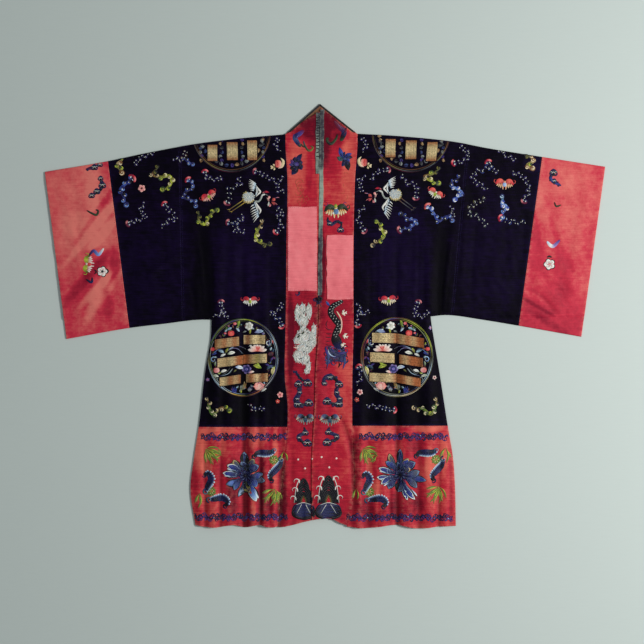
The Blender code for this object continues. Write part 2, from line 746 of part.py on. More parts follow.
def add_neck_trim(robe):
    """The facing that shows inside the peak, and the piping along the peak's edges."""
    robe.add_cloth("neck_facing", neck_triangle(FACING_FOOT_Y, LAYER), FACING_WALL, "tan_lining")
    for side in SIGN:
        name = f"neck_piping_{side}"
        robe.add_overlay(name, "neck_facing", piping_outline(side), FACING_WALL, "black_piping")


def add_ribbons(robe):
    """The ribbons along the top of the opening, and the knot at the end of the long one."""
    for side, end_y in (("left", SHORT_RIBBON_END_Y), ("right", LONG_RIBBON_END_Y)):
        top_x = band_edge(f"{side}_inner", RIBBON_TOP_Y)
        end_x = band_edge(f"{side}_inner", end_y)
        width = SIGN[side] * RIBBON_WIDTH
        outline = [
            (top_x, RIBBON_TOP_Y),
            (end_x, end_y),
            (end_x + width, end_y),
            (top_x + width, RIBBON_TOP_Y),
        ]
        robe.add_overlay(f"ribbon_{side}", f"neckband_{side}", outline, BAND_WALL, "sage_ribbon")
    knot = bmesh.new()
    bmesh.ops.create_uvsphere(knot, u_segments=12, v_segments=8, radius=1)
    bmesh.ops.scale(knot, verts=knot.verts, vec=(KNOT_HALF_WIDTH, KNOT_HALF_LENGTH, KNOT_HALF_HEIGHT))
    seat = underside(KNOT_X, KNOT_Y) + BAND_WALL + KNOT_CLEARANCE
    bmesh.ops.translate(knot, verts=knot.verts, vec=(KNOT_X, KNOT_Y, seat + KNOT_HALF_HEIGHT))
    robe.add_mesh("knot_button", knot, "black_piping")


def add_bars(robe):
    """The gold bars of the four medallions."""
    for bar in MEDALLION_BARS + SHOULDER_BARS:
        robe.add_overlay(bar.name, bar.panel, bar_outline(bar), WALL, "gold_thread")


def main():
    clear_scene()
    robe = Robe()
    add_back(robe)
    add_fronts(robe)
    add_sleeves(robe)
    add_neckband(robe)
    add_neck_trim(robe)
    add_ribbons(robe)
    add_bars(robe)


main()
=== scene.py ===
"""An embroidered silk robe, laid out flat with its sleeves spread.

Metres, +Z up, collar towards +Y. Every cloth piece is a thin closed shell on the robe's
plan, and the embroidery is satin-stitched bands of silk that lie on those shells.
"""

import logging
import math
from dataclasses import dataclass, field, replace
from enum import Enum
from typing import Callable, Sequence

import bpy
import numpy as np
from mathutils.bvhtree import BVHTree
from mathutils.kdtree import KDTree
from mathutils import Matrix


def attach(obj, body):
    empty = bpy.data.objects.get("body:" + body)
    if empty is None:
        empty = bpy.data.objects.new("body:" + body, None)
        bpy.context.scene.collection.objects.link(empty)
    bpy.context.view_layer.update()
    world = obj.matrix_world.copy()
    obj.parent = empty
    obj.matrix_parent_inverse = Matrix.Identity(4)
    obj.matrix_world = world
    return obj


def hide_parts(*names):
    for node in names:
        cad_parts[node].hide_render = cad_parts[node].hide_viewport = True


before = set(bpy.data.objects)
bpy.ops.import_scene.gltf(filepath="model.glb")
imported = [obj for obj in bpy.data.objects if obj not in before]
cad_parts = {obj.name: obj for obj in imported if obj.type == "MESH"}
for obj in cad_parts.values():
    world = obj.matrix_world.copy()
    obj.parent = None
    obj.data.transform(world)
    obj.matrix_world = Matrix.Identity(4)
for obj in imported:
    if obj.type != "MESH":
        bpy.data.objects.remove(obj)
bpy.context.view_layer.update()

LOG = logging.getLogger("robe")

Pair = tuple[float, float]
Rgb = tuple[float, float, float]
Array = np.ndarray
Mesh = bpy.types.Mesh
Piece = bpy.types.Object
Objects = list[Piece]
Material = bpy.types.Material
NodeTree = bpy.types.NodeTree
Socket = bpy.types.NodeSocket

SIDES = {"left": -1.0, "right": 1.0}
WALL = 0.0018
BAND_WALL = 0.0022
TRIM_WALL = 0.0012
FACING_WALL = 0.0010
GAP = 0.0003
LAYER = WALL + GAP
EDGE_ROLL = 0.85
EDGE_MOST = 0.46
EDGE_LINES = (0.0, 0.00012, 0.0004, 0.0009)
RIM_REACH = 0.0035
# How many of these units make a metre
MM = 1000
TENTH_MM = 10000
# The angle between seeds in a sunflower's head, in radians
GOLDEN_ANGLE = 2.39996


def linear(rgb: Rgb) -> Rgb:
    """Turn a colour of 0 to 255 steps, as seen, into a linear one from 0 to 1."""
    seen = [value / 255 for value in rgb]
    return tuple(v / 12.92 if v <= 0.04045 else ((v + 0.055) / 1.055) ** 2.4 for v in seen)


def smoothstep(share: Array) -> Array:
    """Ease a share from 0 to 1 at both ends."""
    share = np.clip(share, 0, 1)
    return share * share * (3 - 2 * share)


def lerp(a: Array, b: Array, share: Array) -> Array:
    """Go from a to b by a share."""
    return a + (b - a) * share


def wave(
    along: Array, pitch: float, beside: Array, swell: float, sway: float, start: float = 0, turn: float = 0
) -> Array:
    """A wave from -1 to 1 along one place that sways with another, each as long as 2 pi of its measure."""
    return np.sin(along / pitch + sway * np.sin(beside / swell + turn) + start)


def by_side(left: object, right: object) -> dict:
    """A dataclass field that holds a value for the left side and one for the right."""
    return field(default_factory=lambda: {"left": left, "right": right})


@dataclass(frozen=True)
class Curve:
    """A smooth line through (position, height) knots."""

    knots: tuple[Pair, ...]

    def __call__(self, at: Array) -> Array:
        """Read the line.

        Args:
            at: positions along it.

        Returns:
            Its heights there, level beyond its ends.
        """
        xs, ys = (np.array(values) for values in zip(*sorted(self.knots)))
        slope = np.diff(ys) / np.diff(xs)
        tangent = np.concatenate(([slope[0]], (slope[1:] + slope[:-1]) / 2, [slope[-1]]))
        at = np.clip(at, xs[0], xs[-1])
        k = np.clip(np.searchsorted(xs, at, side="right") - 1, 0, len(xs) - 2)
        span = xs[k + 1] - xs[k]
        t = (at - xs[k]) / span
        return (
            (2 * t**3 - 3 * t**2 + 1) * ys[k]
            + (t**3 - 2 * t**2 + t) * span * tangent[k]
            + (3 * t**2 - 2 * t**3) * ys[k + 1]
            + (t**3 - t**2) * span * tangent[k + 1]
        )


def through(*tenths: int) -> Curve:
    """A curve through knots given as position, height and so on, in tenths of a millimetre."""
    values = [value / TENTH_MM for value in tenths]
    return Curve(tuple(zip(values[::2], values[1::2])))


@dataclass(frozen=True)
class CrossLine:
    """A line across a sleeve, from its lower end to its upper end."""

    low_x: float
    high_x: float


@dataclass(frozen=True)
class Fold:
    """A fold of the top layer along a line that may bow sideways."""

    x1: float
    y1: float
    x2: float
    y2: float
    half_1: float
    half_2: float
    rise_1: float
    rise_2: float
    bow: float = 0.0

    def lift(self, x: Array, y: Array, fade: float) -> Array:
        """What the fold adds to the cloth's height.

        Args:
            x, y: places in the plan.
            fade: share of the line over which the fold comes and goes.

        Returns:
            The added height at each place.
        """
        run, climb = self.x2 - self.x1, self.y2 - self.y1
        length = math.hypot(run, climb)
        dx, dy = x - self.x1, y - self.y1
        share = (dx * run + dy * climb) / length**2
        across = (run * dy - climb * dx) / length - 4 * self.bow * share * (1 - share)
        half = lerp(self.half_1, self.half_2, share)
        ends = smoothstep(share / fade) * smoothstep((1 - share) / fade)
        crown = np.cos(np.pi / 2 * np.clip(across / half, -1, 1)) ** 2
        return lerp(self.rise_1, self.rise_2, share) * ends * crown


@dataclass(frozen=True)
class Tone:
    """A soft patch of the cloth that is paler (+) or deeper (-) than the rest."""

    x: float
    y: float
    half_x: float
    half_y: float
    amount: float
    lean: float = 0.0
    softness: float = 1.6

    def shade(self, x: Array, y: Array) -> Array:
        """How much it changes the cloth.

        Args:
            x, y: places in the plan.

        Returns:
            The change at each place.
        """
        across = x - self.x - self.lean * (y - self.y)
        away = (across / self.half_x) ** 2 + ((y - self.y) / self.half_y) ** 2
        return self.amount * smoothstep(1 - away / self.softness)


def folds(*rows: tuple[int, ...]) -> tuple[Fold, ...]:
    """Folds from rows of x1, y1, x2, y2 and half widths in mm, rises in tenths of a mm, and bow in mm."""
    units = (MM,) * 6 + (TENTH_MM,) * 2 + (MM,)
    return tuple(Fold(*(value / unit for value, unit in zip(row, units))) for row in rows)


def tones(*rows: tuple[float, ...]) -> tuple[Tone, ...]:
    """Tones from rows of x, y and both half widths in mm, an amount and a lean."""
    return tuple(Tone(*(value / MM for value in row[:4]), *row[4:]) for row in rows)


# The large folds, as the solids have them, and the smaller creases and troughs on top of them
FOLD_FADE = 0.18
CREASE_FADE = 0.3
FOLDS = folds(
    (-238, 300, -231, -800, 14, 19, -6, -100), (208, 300, 209, -800, 13, 14, -6, -65),
    (-272, 120, -280, -800, 34, 26, 10, 85), (-212, 180, -202, -800, 26, 18, 8, 95),
    (178, 180, 162, -800, 36, 30, 10, 85), (238, 180, 240, -800, 34, 30, 10, 70),
    (-352, 330, -335, -280, 26, 26, -14, -36), (-302, 300, -326, -800, 28, 24, 14, 80),
    (350, 330, 318, -240, 26, 30, -14, -34), (300, 340, 302, -800, 34, 28, 18, 85),
    (-176, 240, -171, -800, 30, 18, 6, 85), (-150, -150, -151, -800, 18, 15, 4, 70),
    (-113, -120, -137, -800, 13, 15, -4, -75), (112, 240, 96, -800, 30, 20, 6, 80),
    (30, -250, 89, -420, 15, 15, -10, -30), (74, -330, 88, -580, 14, 14, -20, -45),
    (-364, -290, -360, -800, 16, 18, 4, 60), (132, -300, 126, -800, 14, 18, -4, -50),
    (272, -300, 274, -800, 14, 18, -4, -40), (350, -290, 346, -800, 18, 22, 4, 65),
    (-524, 100, -405, 190, 18, 22, 18, 10), (-480, 380, -520, 20, 50, 60, 8, 16),
    (-690, 380, -660, -20, 34, 40, 14, 20), (-760, 350, -722, -30, 26, 30, -8, -10),
    (470, 380, 500, 20, 50, 60, 8, 16), (655, 190, 735, 60, 22, 26, 18, 14),
    (600, 120, 700, 10, 22, 26, 14, 18), (760, 380, 722, 20, 26, 30, 12, 14),
)
CREASES = folds(
    # Left sleeve: the long slanting crease and the softer ones below it
    (-520, 108, -408, 190, 8, 6, 16, 8, 4), (-512, 96, -420, 158, 7, 9, -10, -4, 3),
    (-560, 50, -440, 60, 12, 14, 8, 11, -6), (-470, 330, -452, 130, 13, 10, 5, 9, 5),
    (-545, 300, -500, 160, 16, 12, -6, -5, 7), (-600, 250, -575, 60, 10, 12, 6, 9, -3),
    # Under the left arm
    (-376, 270, -346, -20, 9, 10, 9, 12, 6), (-335, 210, -318, -120, 8, 11, -8, -15, 4),
    (-400, 120, -372, 10, 9, 10, -7, -9, 4), (-300, 80, -292, -200, 7, 10, 6, 10, -3),
    # Left front
    (-262, 330, -258, 20, 10, 12, 6, 10, -3), (-200, 300, -196, -60, 12, 9, 5, 8, 4),
    (-160, 240, -156, -110, 8, 10, -5, -9, -3),
    # Left hem border, uneven as pressed silk is
    (-352, -330, -347, -640, 6, 9, -10, -24, 2), (-330, -390, -334, -650, 5, 7, 8, 18),
    (-298, -340, -304, -640, 6, 9, -8, -22, -2), (-258, -330, -262, -660, 6, 8, 6, 20, 2),
    (-218, -330, -214, -640, 5, 6, 10, 18), (-188, -350, -186, -650, 6, 8, -10, -26, 2),
    (-161, -330, -159, -640, 5, 6, -8, -18, 1),
    # Right sleeve
    (405, 420, 392, 60, 9, 13, 6, 12, 5), (440, 300, 425, 20, 11, 13, -6, -10, -4),
    (520, 330, 548, 70, 12, 16, 6, 9, 6), (470, 130, 560, 30, 12, 10, 7, 9, 4),
    (580, 340, 572, 120, 10, 12, -5, -7),
    # Under the right arm
    (372, 260, 340, -30, 9, 12, 10, 14, -4), (338, 180, 326, -140, 8, 10, -8, -13, 3),
    (286, 240, 284, -80, 11, 12, -9, -14, 3), (262, 300, 256, 0, 10, 10, 6, 9, 3),
    # Right front
    (165, 310, 160, -20, 12, 10, 6, 10, -3), (130, 220, 124, -150, 8, 10, -6, -9, 3),
    # Right hem border
    (113, -330, 110, -640, 5, 7, -8, -20, -1), (150, -340, 146, -640, 6, 8, 8, 18, 1),
    (185, -330, 188, -650, 7, 9, -8, -22, 2), (228, -350, 226, -640, 5, 7, 10, 20),
    (256, -330, 258, -650, 6, 8, -8, -18, -1), (316, -340, 312, -640, 7, 8, 10, 22, 2),
    (334, -360, 330, -650, 5, 6, -8, -20), (364, -340, 362, -640, 6, 8, -6, -18),
    # Neckband
    (39, -275, 76, -372, 5, 6, -12, -18, 3), (50, -270, 88, -360, 5, 6, 10, 12, 3),
    (-60, -380, -52, -660, 10, 14, 6, 22, 2), (-94, -330, -90, -660, 9, 12, -6, -20, -2),
    (10, -420, 16, -660, 12, 16, 5, 20, 2), (-78, 420, -60, 330, 10, 8, 4, 7, 3),
    (30, 480, 46, 340, 8, 10, 5, 6, 2),
    # Cuffs: pulled creases at their seams and soft folds at the ends
    (-695, 30, -570, 4, 6, 5, 14, 7, 3), (-700, 18, -580, -8, 7, 6, -9, -5, 2),
    (-660, 150, -610, 20, 14, 12, 6, 10, 5), (-712, 200, -640, 80, 12, 14, -5, -7, 4),
    (-740, 300, -700, 120, 12, 16, 7, 9, -4), (592, 180, 637, 172, 5, 6, 10, 6, 1),
    (600, 150, 700, 70, 10, 12, 9, 11, 5), (585, 90, 690, -10, 9, 12, -8, -9, 4),
    (660, 300, 700, 160, 12, 10, 6, 9, 4),
)
# Where the reds have faded to orange and the dark silk is violet or nearly black, together with painted satin
# highlights, painted glints on fold ridges and painted shadows in folds
FADES_AND_PAINTED_LIGHT = tones(
    (-710, 350, 100, 170, 0.55), (-650, 250, 50, 70, 0.35), (-640, 240, 18, 50, 0.6, 0.8),
    (-660, 56, 18, 80, 0.7, 0.4), (-609, 146, 14, 60, -0.5), (-627, 31, 18, 40, -0.4),
    (-672, 366, 26, 70, 0.4), (612, 30, 12, 32, -0.55, -1.7), (600, 60, 16, 34, 0.25, -1.7),
    (650, -20, 22, 40, -0.35, -1.5), (650, 0, 120, 110, -0.25), (650, 230, 70, 100, -0.2),
    (605, 440, 30, 24, 0.7), (690, 120, 30, 60, -0.3), (-690, 10, 140, 50, 0.15),
    (-730, 200, 60, 120, 0.25), (700, 360, 110, 140, 0.4), (640, 240, 20, 130, 0.35, -0.2),
    (-660, 265, 14, 120, 0.8, 0.8), (-640, 330, 12, 110, -0.5, 0.7), (-665, 75, 16, 60, 0.7, 0.9),
    (-615, 90, 10, 60, 0.4, 0.6), (-700, 100, 20, 90, -0.6, 0.8), (720, 180, 60, 120, 0.2),
    (-75, 460, 40, 70, 0.45), (-90, 380, 30, 80, 0.4), (-40, 540, 50, 50, -0.3), (-10, 150, 12, 100, -1.7),
    (-12, 595, 20, 30, -1), (-6, 490, 6, 50, -0.5), (-21, 490, 6, 50, 0.8), (-12, 350, 10, 80, 0.6),
    (72, 430, 24, 120, 0.6), (20, 500, 26, 120, -0.25), (30, 350, 40, 60, 0.2), (-60, 20, 60, 80, -0.45),
    (-100, -60, 10, 140, -0.8), (-40, -90, 12, 120, 0.6), (-50, -160, 70, 190, -0.4),
    (40, 10, 60, 110, -0.35), (60, -240, 40, 160, 0.35), (-80, -420, 50, 120, 0.3),
    (30, -420, 60, 120, 0.2), (210, -470, 160, 140, 0.22), (0, -470, 420, 200, -0.3),
    (-290, -440, 70, 200, 0.1), (-340, -560, 50, 70, 0.35), (160, -470, 90, 120, 0.15),
    (130, -556, 50, 40, -0.5), (235, -548, 50, 40, -0.4), (-153, -551, 45, 30, -0.4),
    (-362, -390, 22, 70, 0.9), (310, -470, 70, 190, 0.25), (-240, 130, 110, 170, 0.55),
    (-500, 160, 130, 200, 0.35), (220, 160, 110, 170, 0.55), (480, 180, 110, 200, 0.35),
    (-230, -240, 130, 90, -0.45), (220, -240, 130, 90, -0.45), (-350, 60, 30, 200, -0.6),
    (335, 50, 30, 200, -0.6), (-14, 590, 110, 60, -0.95), (-60, 520, 30, 18, -0.5, -0.5),
    (45, 515, 30, 22, -0.45, 0.6), (56, 480, 12, 60, 0.35), (-46, 430, 10, 70, -0.4),
    (-6, 510, 24, 80, -0.9), (-300, -332, 60, 16, 0.8), (-195, -340, 34, 50, 0.7),
    (-206, -500, 8, 100, 0.8), (-144, -440, 10, 140, 0.9), (-340, -440, 18, 30, 0.7),
    (-296, -375, 12, 30, 0.6), (-268, -500, 18, 90, -0.7), (-182, -480, 10, 80, -0.7),
    (-120, -500, 10, 100, -0.6), (145, -334, 60, 22, 1.1), (295, -325, 50, 12, 0.8),
    (303, -430, 14, 50, 0.9), (262, -372, 30, 26, -0.6), (92, -420, 14, 110, -0.4),
    (128, -450, 10, 50, 0.6), (150, -520, 12, 50, 0.7), (196, -540, 10, 40, -0.6), (345, -400, 12, 60, 0.6),
    (275, -520, 20, 50, -0.5),
)


class Panel(Enum):
    """The stretches of cloth that show, each with its own embroidery."""

    FRONT_LEFT = "front_left"
    FRONT_RIGHT = "front_right"
    SLEEVE_LEFT = "sleeve_left"
    SLEEVE_RIGHT = "sleeve_right"
    CUFF_LEFT = "cuff_left"
    CUFF_RIGHT = "cuff_right"
    HEM_LEFT = "hem_front_left"
    HEM_RIGHT = "hem_front_right"
    BAND_LEFT = "neckband_left"
    BAND_RIGHT = "neckband_right"


class Edge(Enum):
    """Both edges of each half of the neckband, by its column in the band's rows."""

    LEFT_OUTER = 1
    LEFT_INNER = 2
    RIGHT_INNER = 3
    RIGHT_OUTER = 4


@dataclass(frozen=True)
class Plan:
    """The robe's outline and seams seen from above, and how high its top layer lies."""

    centre: float = -0.0145
    peak_y: float = 0.615
    back_hem: float = -0.583
    neck_seam_y: float = 0.5288
    facing_foot_y: float = 0.5318
    air_at_shoulder: float = 0.0012
    air_at_hem: float = 0.0055
    ease: float = 0.026
    pressed_flat: float = 0.0006
    neck_lift_low_y: float = 0.490
    neck_lift_high_y: float = 0.520
    lap_start_y: float = -0.020
    lap_full_y: float = -0.080
    lap_flat: float = 0.004
    lap_ramp: float = 0.030
    pucker_height: float = 0.00024
    pucker_reach: float = 0.007
    band_room: float = 0.06
    hollow_scale: float = 0.008
    crown_scale: float = 0.03
    crease_scale: float = 0.0042
    band_reach: float = 0.006
    fold_reach: float = 0.012
    underarm: dict[str, float] = by_side(-0.0105, -0.0010)
    hem_seam: dict[str, float] = by_side(-0.3210, -0.3175)
    neck_point: dict[str, Pair] = by_side((-0.1160, 0.5265), (0.0937, 0.5285))
    shoulder: dict[str, Curve] = by_side(
        through(-8120, 4180, -6290, 4490, -5256, 4708, -3770, 4984, -2480, 5146, -1160, 5265),
        through(937, 5285, 2167, 5215, 3740, 5053, 4710, 4868, 6290, 4615, 8120, 4330),
    )
    sleeve_low: dict[str, Curve] = by_side(
        through(-3290, -105, -3680, -106, -4630, -220, -5670, -346, -7490, -666),
        through(3070, -10, 3530, 30, 4570, -105, 5610, -277, 7430, -600),
    )
    side_seam: dict[str, Curve] = by_side(
        through(
            5200, -3220, -100, -3290, -620, -3310, -1520, -3460, -3200, -3660, -4110, -3800, -5010, -3900,
            -6050, -3760,
        ),
        through(
            5200, 3070, -100, 3070, -620, 3150, -1520, 3300, -3200, 3560, -4110, 3710, -5010, 3770,
            -6050, 3790,
        ),
    )
    hem_edge: Curve = through(
        -4000, -6010, -3760, -6040, -3050, -6120, -2460, -6050, -2100, -6120, -1740, -6050, -1300, -6120,
        -1020, -6070, -380, -5910, 140, -5860, 460, -6000, 800, -6090, 1270, -6140, 2070, -6050, 2590, -6150,
        3150, -6090, 4000, -6080,
    )
    # Rows of y, left outer, left inner, right inner and right outer edge of the neckband, in tenths of a mm
    band_rows: tuple[tuple[int, ...], ...] = (
        (6020, -170, -140, -125, -85), (5920, -185, -140, -125, 40), (5850, -290, -140, -125, 135),
        (5620, -660, -140, -125, 430), (5450, -866, -140, -125, 640), (5320, -1018, -140, -125, 806),
        (5285, -1130, -140, -125, 928), (5200, -1144, -141, -126, 938), (5100, -1150, -142, -127, 943),
        (3900, -1090, -165, -150, 867), (2340, -1115, -195, -180, 830), (700, -1130, -208, -192, 826),
        (-420, -1148, -212, -198, 826), (-1820, -1165, -205, -285, 790), (-2600, -1085, -205, -300, 788),
        (-3150, -1090, -205, -330, 790), (-4270, -1180, -210, -385, 835), (-4800, -1235, -210, -387, 845),
        (-5350, -1290, -210, -388, 770), (-6200, -1360, -210, -377, 600),
    )
    sleeve_seam: dict[str, CrossLine] = by_side(CrossLine(-0.411, -0.421), CrossLine(0.368, 0.414))
    cuff_seam: dict[str, CrossLine] = by_side(CrossLine(-0.567, -0.629), CrossLine(0.561, 0.629))
    cuff_end: dict[str, CrossLine] = by_side(CrossLine(-0.749, -0.812), CrossLine(0.743, 0.812))

    def edge(self, which: Edge, y: Array) -> Array:
        """Where an edge of the neckband is at heights y in the plan."""
        return through(*(row[k] for row in self.band_rows for k in (0, which.value)))(y)

    def outer(self, side: str, y: Array) -> Array:
        """Where the outer edge of one half of the neckband is."""
        return self.edge(Edge.LEFT_OUTER if side == "left" else Edge.RIGHT_OUTER, y)

    def inner(self, side: str, y: Array) -> Array:
        """Where the inner edge of one half of the neckband is."""
        return self.edge(Edge.LEFT_INNER if side == "left" else Edge.RIGHT_INNER, y)

    def peak_edge(self, side: str, y: Array) -> Array:
        """Where a slanted side of the collar's peak is at height y."""
        foot_x, foot_y = self.neck_point[side]
        return lerp(foot_x, self.centre, (y - foot_y) / (self.peak_y - foot_y))

    def top_edge(self, x: Array) -> Array:
        """The shoulder fold, with the straight sides of the collar's peak between.

        Args:
            x: places in the plan.

        Returns:
            The edge's height in the plan.
        """
        left, right = self.neck_point["left"], self.neck_point["right"]
        foot_x = np.where(x < self.centre, left[0], right[0])
        foot_y = np.where(x < self.centre, left[1], right[1])
        peak = lerp(foot_y, self.peak_y, (x - foot_x) / (self.centre - foot_x))
        outside = np.where(x <= left[0], self.shoulder["left"](x), self.shoulder["right"](x))
        return np.where((x > left[0]) & (x < right[0]), peak, outside)

    def back_top(self, x: Array) -> Array:
        """Top of the back panels: the shoulder fold, cut straight across below the peak."""
        between = (x > self.neck_point["left"][0]) & (x < self.neck_point["right"][0])
        return np.where(between, np.minimum(self.top_edge(x), self.neck_seam_y - GAP), self.top_edge(x))

    def cross(self, line: CrossLine, side: str, y: Array) -> Array:
        """Where a line across a sleeve is at height y."""
        low_y, high_y = self.sleeve_low[side](line.low_x), self.top_edge(np.array(line.high_x))
        return lerp(line.low_x, line.high_x, (y - low_y) / (high_y - low_y))

    def half(self, side: str, x: Array) -> Array:
        """Which places are on one side of the robe's middle."""
        return (x < self.centre) if side == "left" else (x >= self.centre)

    def inside(self, x: Array, y: Array) -> Array:
        """How far a place lies inside the nearest folded or seamed edge of the robe.

        Args:
            x, y: places in the plan.

        Returns:
            The depth, less than zero outside.
        """
        depth = np.empty(np.shape(x))
        from_top = self.top_edge(x) - y
        for side, sign in SIDES.items():
            inward = sign * (self.side_seam[side](y) - x)
            above = y - self.underarm[side]
            low = y - self.sleeve_low[side](x)
            beside = np.where(inward <= 0, low, np.hypot(inward, above))
            body = np.where(above <= 0, inward, beside)
            depth = np.where(self.half(side, x), np.minimum(from_top, body), depth)
        return depth

    def ripple(self, x: Array, y: Array) -> Array:
        """The cloth's soft unevenness, and its puckers along the sewn seams.

        Args:
            x, y: places in the plan.

        Returns:
            The height that it adds.
        """
        slow = 0.00028 * wave(x, 0.0071, y, 0.052, 1.7, 0.8)
        slow += 0.00022 * wave(y, 0.0098, x, 0.031, 1.3, turn=1.1)
        slow += 0.00016 * wave(x + 0.6 * y, 0.0047, y, 0.039, 1.9)
        pucker = np.zeros(np.shape(x))
        beside_band = np.abs(x - self.centre) > self.band_room
        for side in SIDES:
            near = np.exp(-np.abs(y - self.hem_seam[side]) / self.pucker_reach)
            pucker += np.where(beside_band & self.half(side, x), wave(x, 0.0026, x, 0.023, 2.1) * near, 0)
            for line in (self.sleeve_seam[side], self.cuff_seam[side]):
                near = np.exp(-np.abs(x - self.cross(line, side, y)) / self.pucker_reach)
                pucker += wave(y, 0.0029, y, 0.027, 2.3) * near
            near = np.exp(-np.abs(x - self.outer(side, y)) / self.band_reach)
            pucker += wave(y, 0.0031, y, 0.033, 2.3) * near
        return slow + self.pucker_height * pucker

    def fold_lift(self, x: Array, y: Array) -> Array:
        """The height that all the large folds add together."""
        return sum(fold.lift(x, y, FOLD_FADE) for fold in FOLDS)

    def crease_lift(self, x: Array, y: Array) -> Array:
        """The height that all the creases add together."""
        return sum(crease.lift(x, y, CREASE_FADE) for crease in CREASES)

    def rise(self, x: Array, y: Array) -> Array:
        """How far the top layer's underside stands above where it would lie pressed flat.

        Args:
            x, y: places in the plan.

        Returns:
            The rise, nothing at the robe's edges.
        """
        top = self.top_edge(x)
        down = np.clip((top - y) / (top + self.peak_y), 0, 1)
        air = lerp(self.air_at_shoulder, self.air_at_hem, down**2) + self.fold_lift(x, y)
        air = air + self.ripple(x, y) + self.crease_lift(x, y)
        kept = (air + np.hypot(air, self.pressed_flat)) / 2
        inside = np.clip(self.inside(x, y) / self.ease, 0, 1)
        return kept * (1 - (1 - inside) ** 2)

    def underside(self, x: Array, y: Array) -> Array:
        """Height of the top layer's underside above the surface that the robe lies on."""
        return LAYER + self.rise(x, y)

    def neck_lift(self, y: Array) -> Array:
        """What the neckband gains where it lies over the facing of the back neck."""
        share = (y - self.neck_lift_low_y) / (self.neck_lift_high_y - self.neck_lift_low_y)
        return (FACING_WALL + 2 * GAP) * smoothstep(share)

    def lap_lift(self, x: Array, y: Array) -> Array:
        """What the neckband's right half gains where it laps over the left half.

        Args:
            x, y: places in the plan.

        Returns:
            The height that it gains.
        """
        off = x - self.inner("left", y) - self.lap_flat
        down = (self.lap_start_y - y) / (self.lap_start_y - self.lap_full_y)
        return (BAND_WALL + 3 * GAP) * smoothstep(1 - np.clip(off / self.lap_ramp, 0, 1)) * smoothstep(down)

    def tone(self, x: Array, y: Array) -> Array:
        """How much paler (+) or deeper (-) the cloth is, from -1 to 1."""
        return np.clip(sum(spot.shade(x, y) for spot in FADES_AND_PAINTED_LIGHT), -1, 1)

    def hollow(self, x: Array, y: Array) -> Array:
        """How deep in a fold (-) or high on one (+) a place is.

        Args:
            x, y: places in the plan.

        Returns:
            A share from -1 to 1.
        """
        # The silk paints light with this value: it darkens its colour in hollows as painted shade, and pales
        # it on crowns as painted highlight mixed with rubbing wear
        here = self.fold_lift(x, y)
        beside = (self.fold_lift(x - self.fold_reach, y) + self.fold_lift(x + self.fold_reach, y)) / 2
        deep = (here - beside) / self.hollow_scale + here / self.crown_scale
        return np.clip(deep + self.crease_lift(x, y) / self.crease_scale, -1, 1)

    def panel_at(self, x: Array, y: Array, margin: float) -> Array:
        """Which panel a place lies on.

        Args:
            x, y: places in the plan.
            margin: how far inside the panel's edge it has to be.

        Returns:
            The panel's place in the Panel list, or -1 for none.
        """
        found = np.full(np.shape(x), -1)
        order = list(Panel)
        lap = self.inner("right", y)
        within = self.inside(x, y) > margin
        high = self.hem_edge(x) + margin < y
        for side, sign in SIDES.items():
            mine = within & ((x < lap) if side == "left" else (x >= lap))
            body = sign * (x - self.outer(side, y)) > 0
            at_sleeve = sign * (x - self.cross(self.sleeve_seam[side], side, y)) > 0
            at_cuff = sign * (x - self.cross(self.cuff_seam[side], side, y)) > 0
            end = sign * (self.cross(self.cuff_end[side], side, y) - x)
            for name, here in (
                (f"neckband_{side}", ~body & high),
                (f"front_{side}", body & ~at_sleeve & (y >= self.hem_seam[side])),
                (f"sleeve_{side}", body & at_sleeve & ~at_cuff),
                (f"cuff_{side}", body & at_cuff & (end > margin)),
                (f"hem_front_{side}", body & (y < self.hem_seam[side]) & high),
            ):
                found = np.where(mine & here, order.index(Panel(name)), found)
        return found


PLAN = Plan()


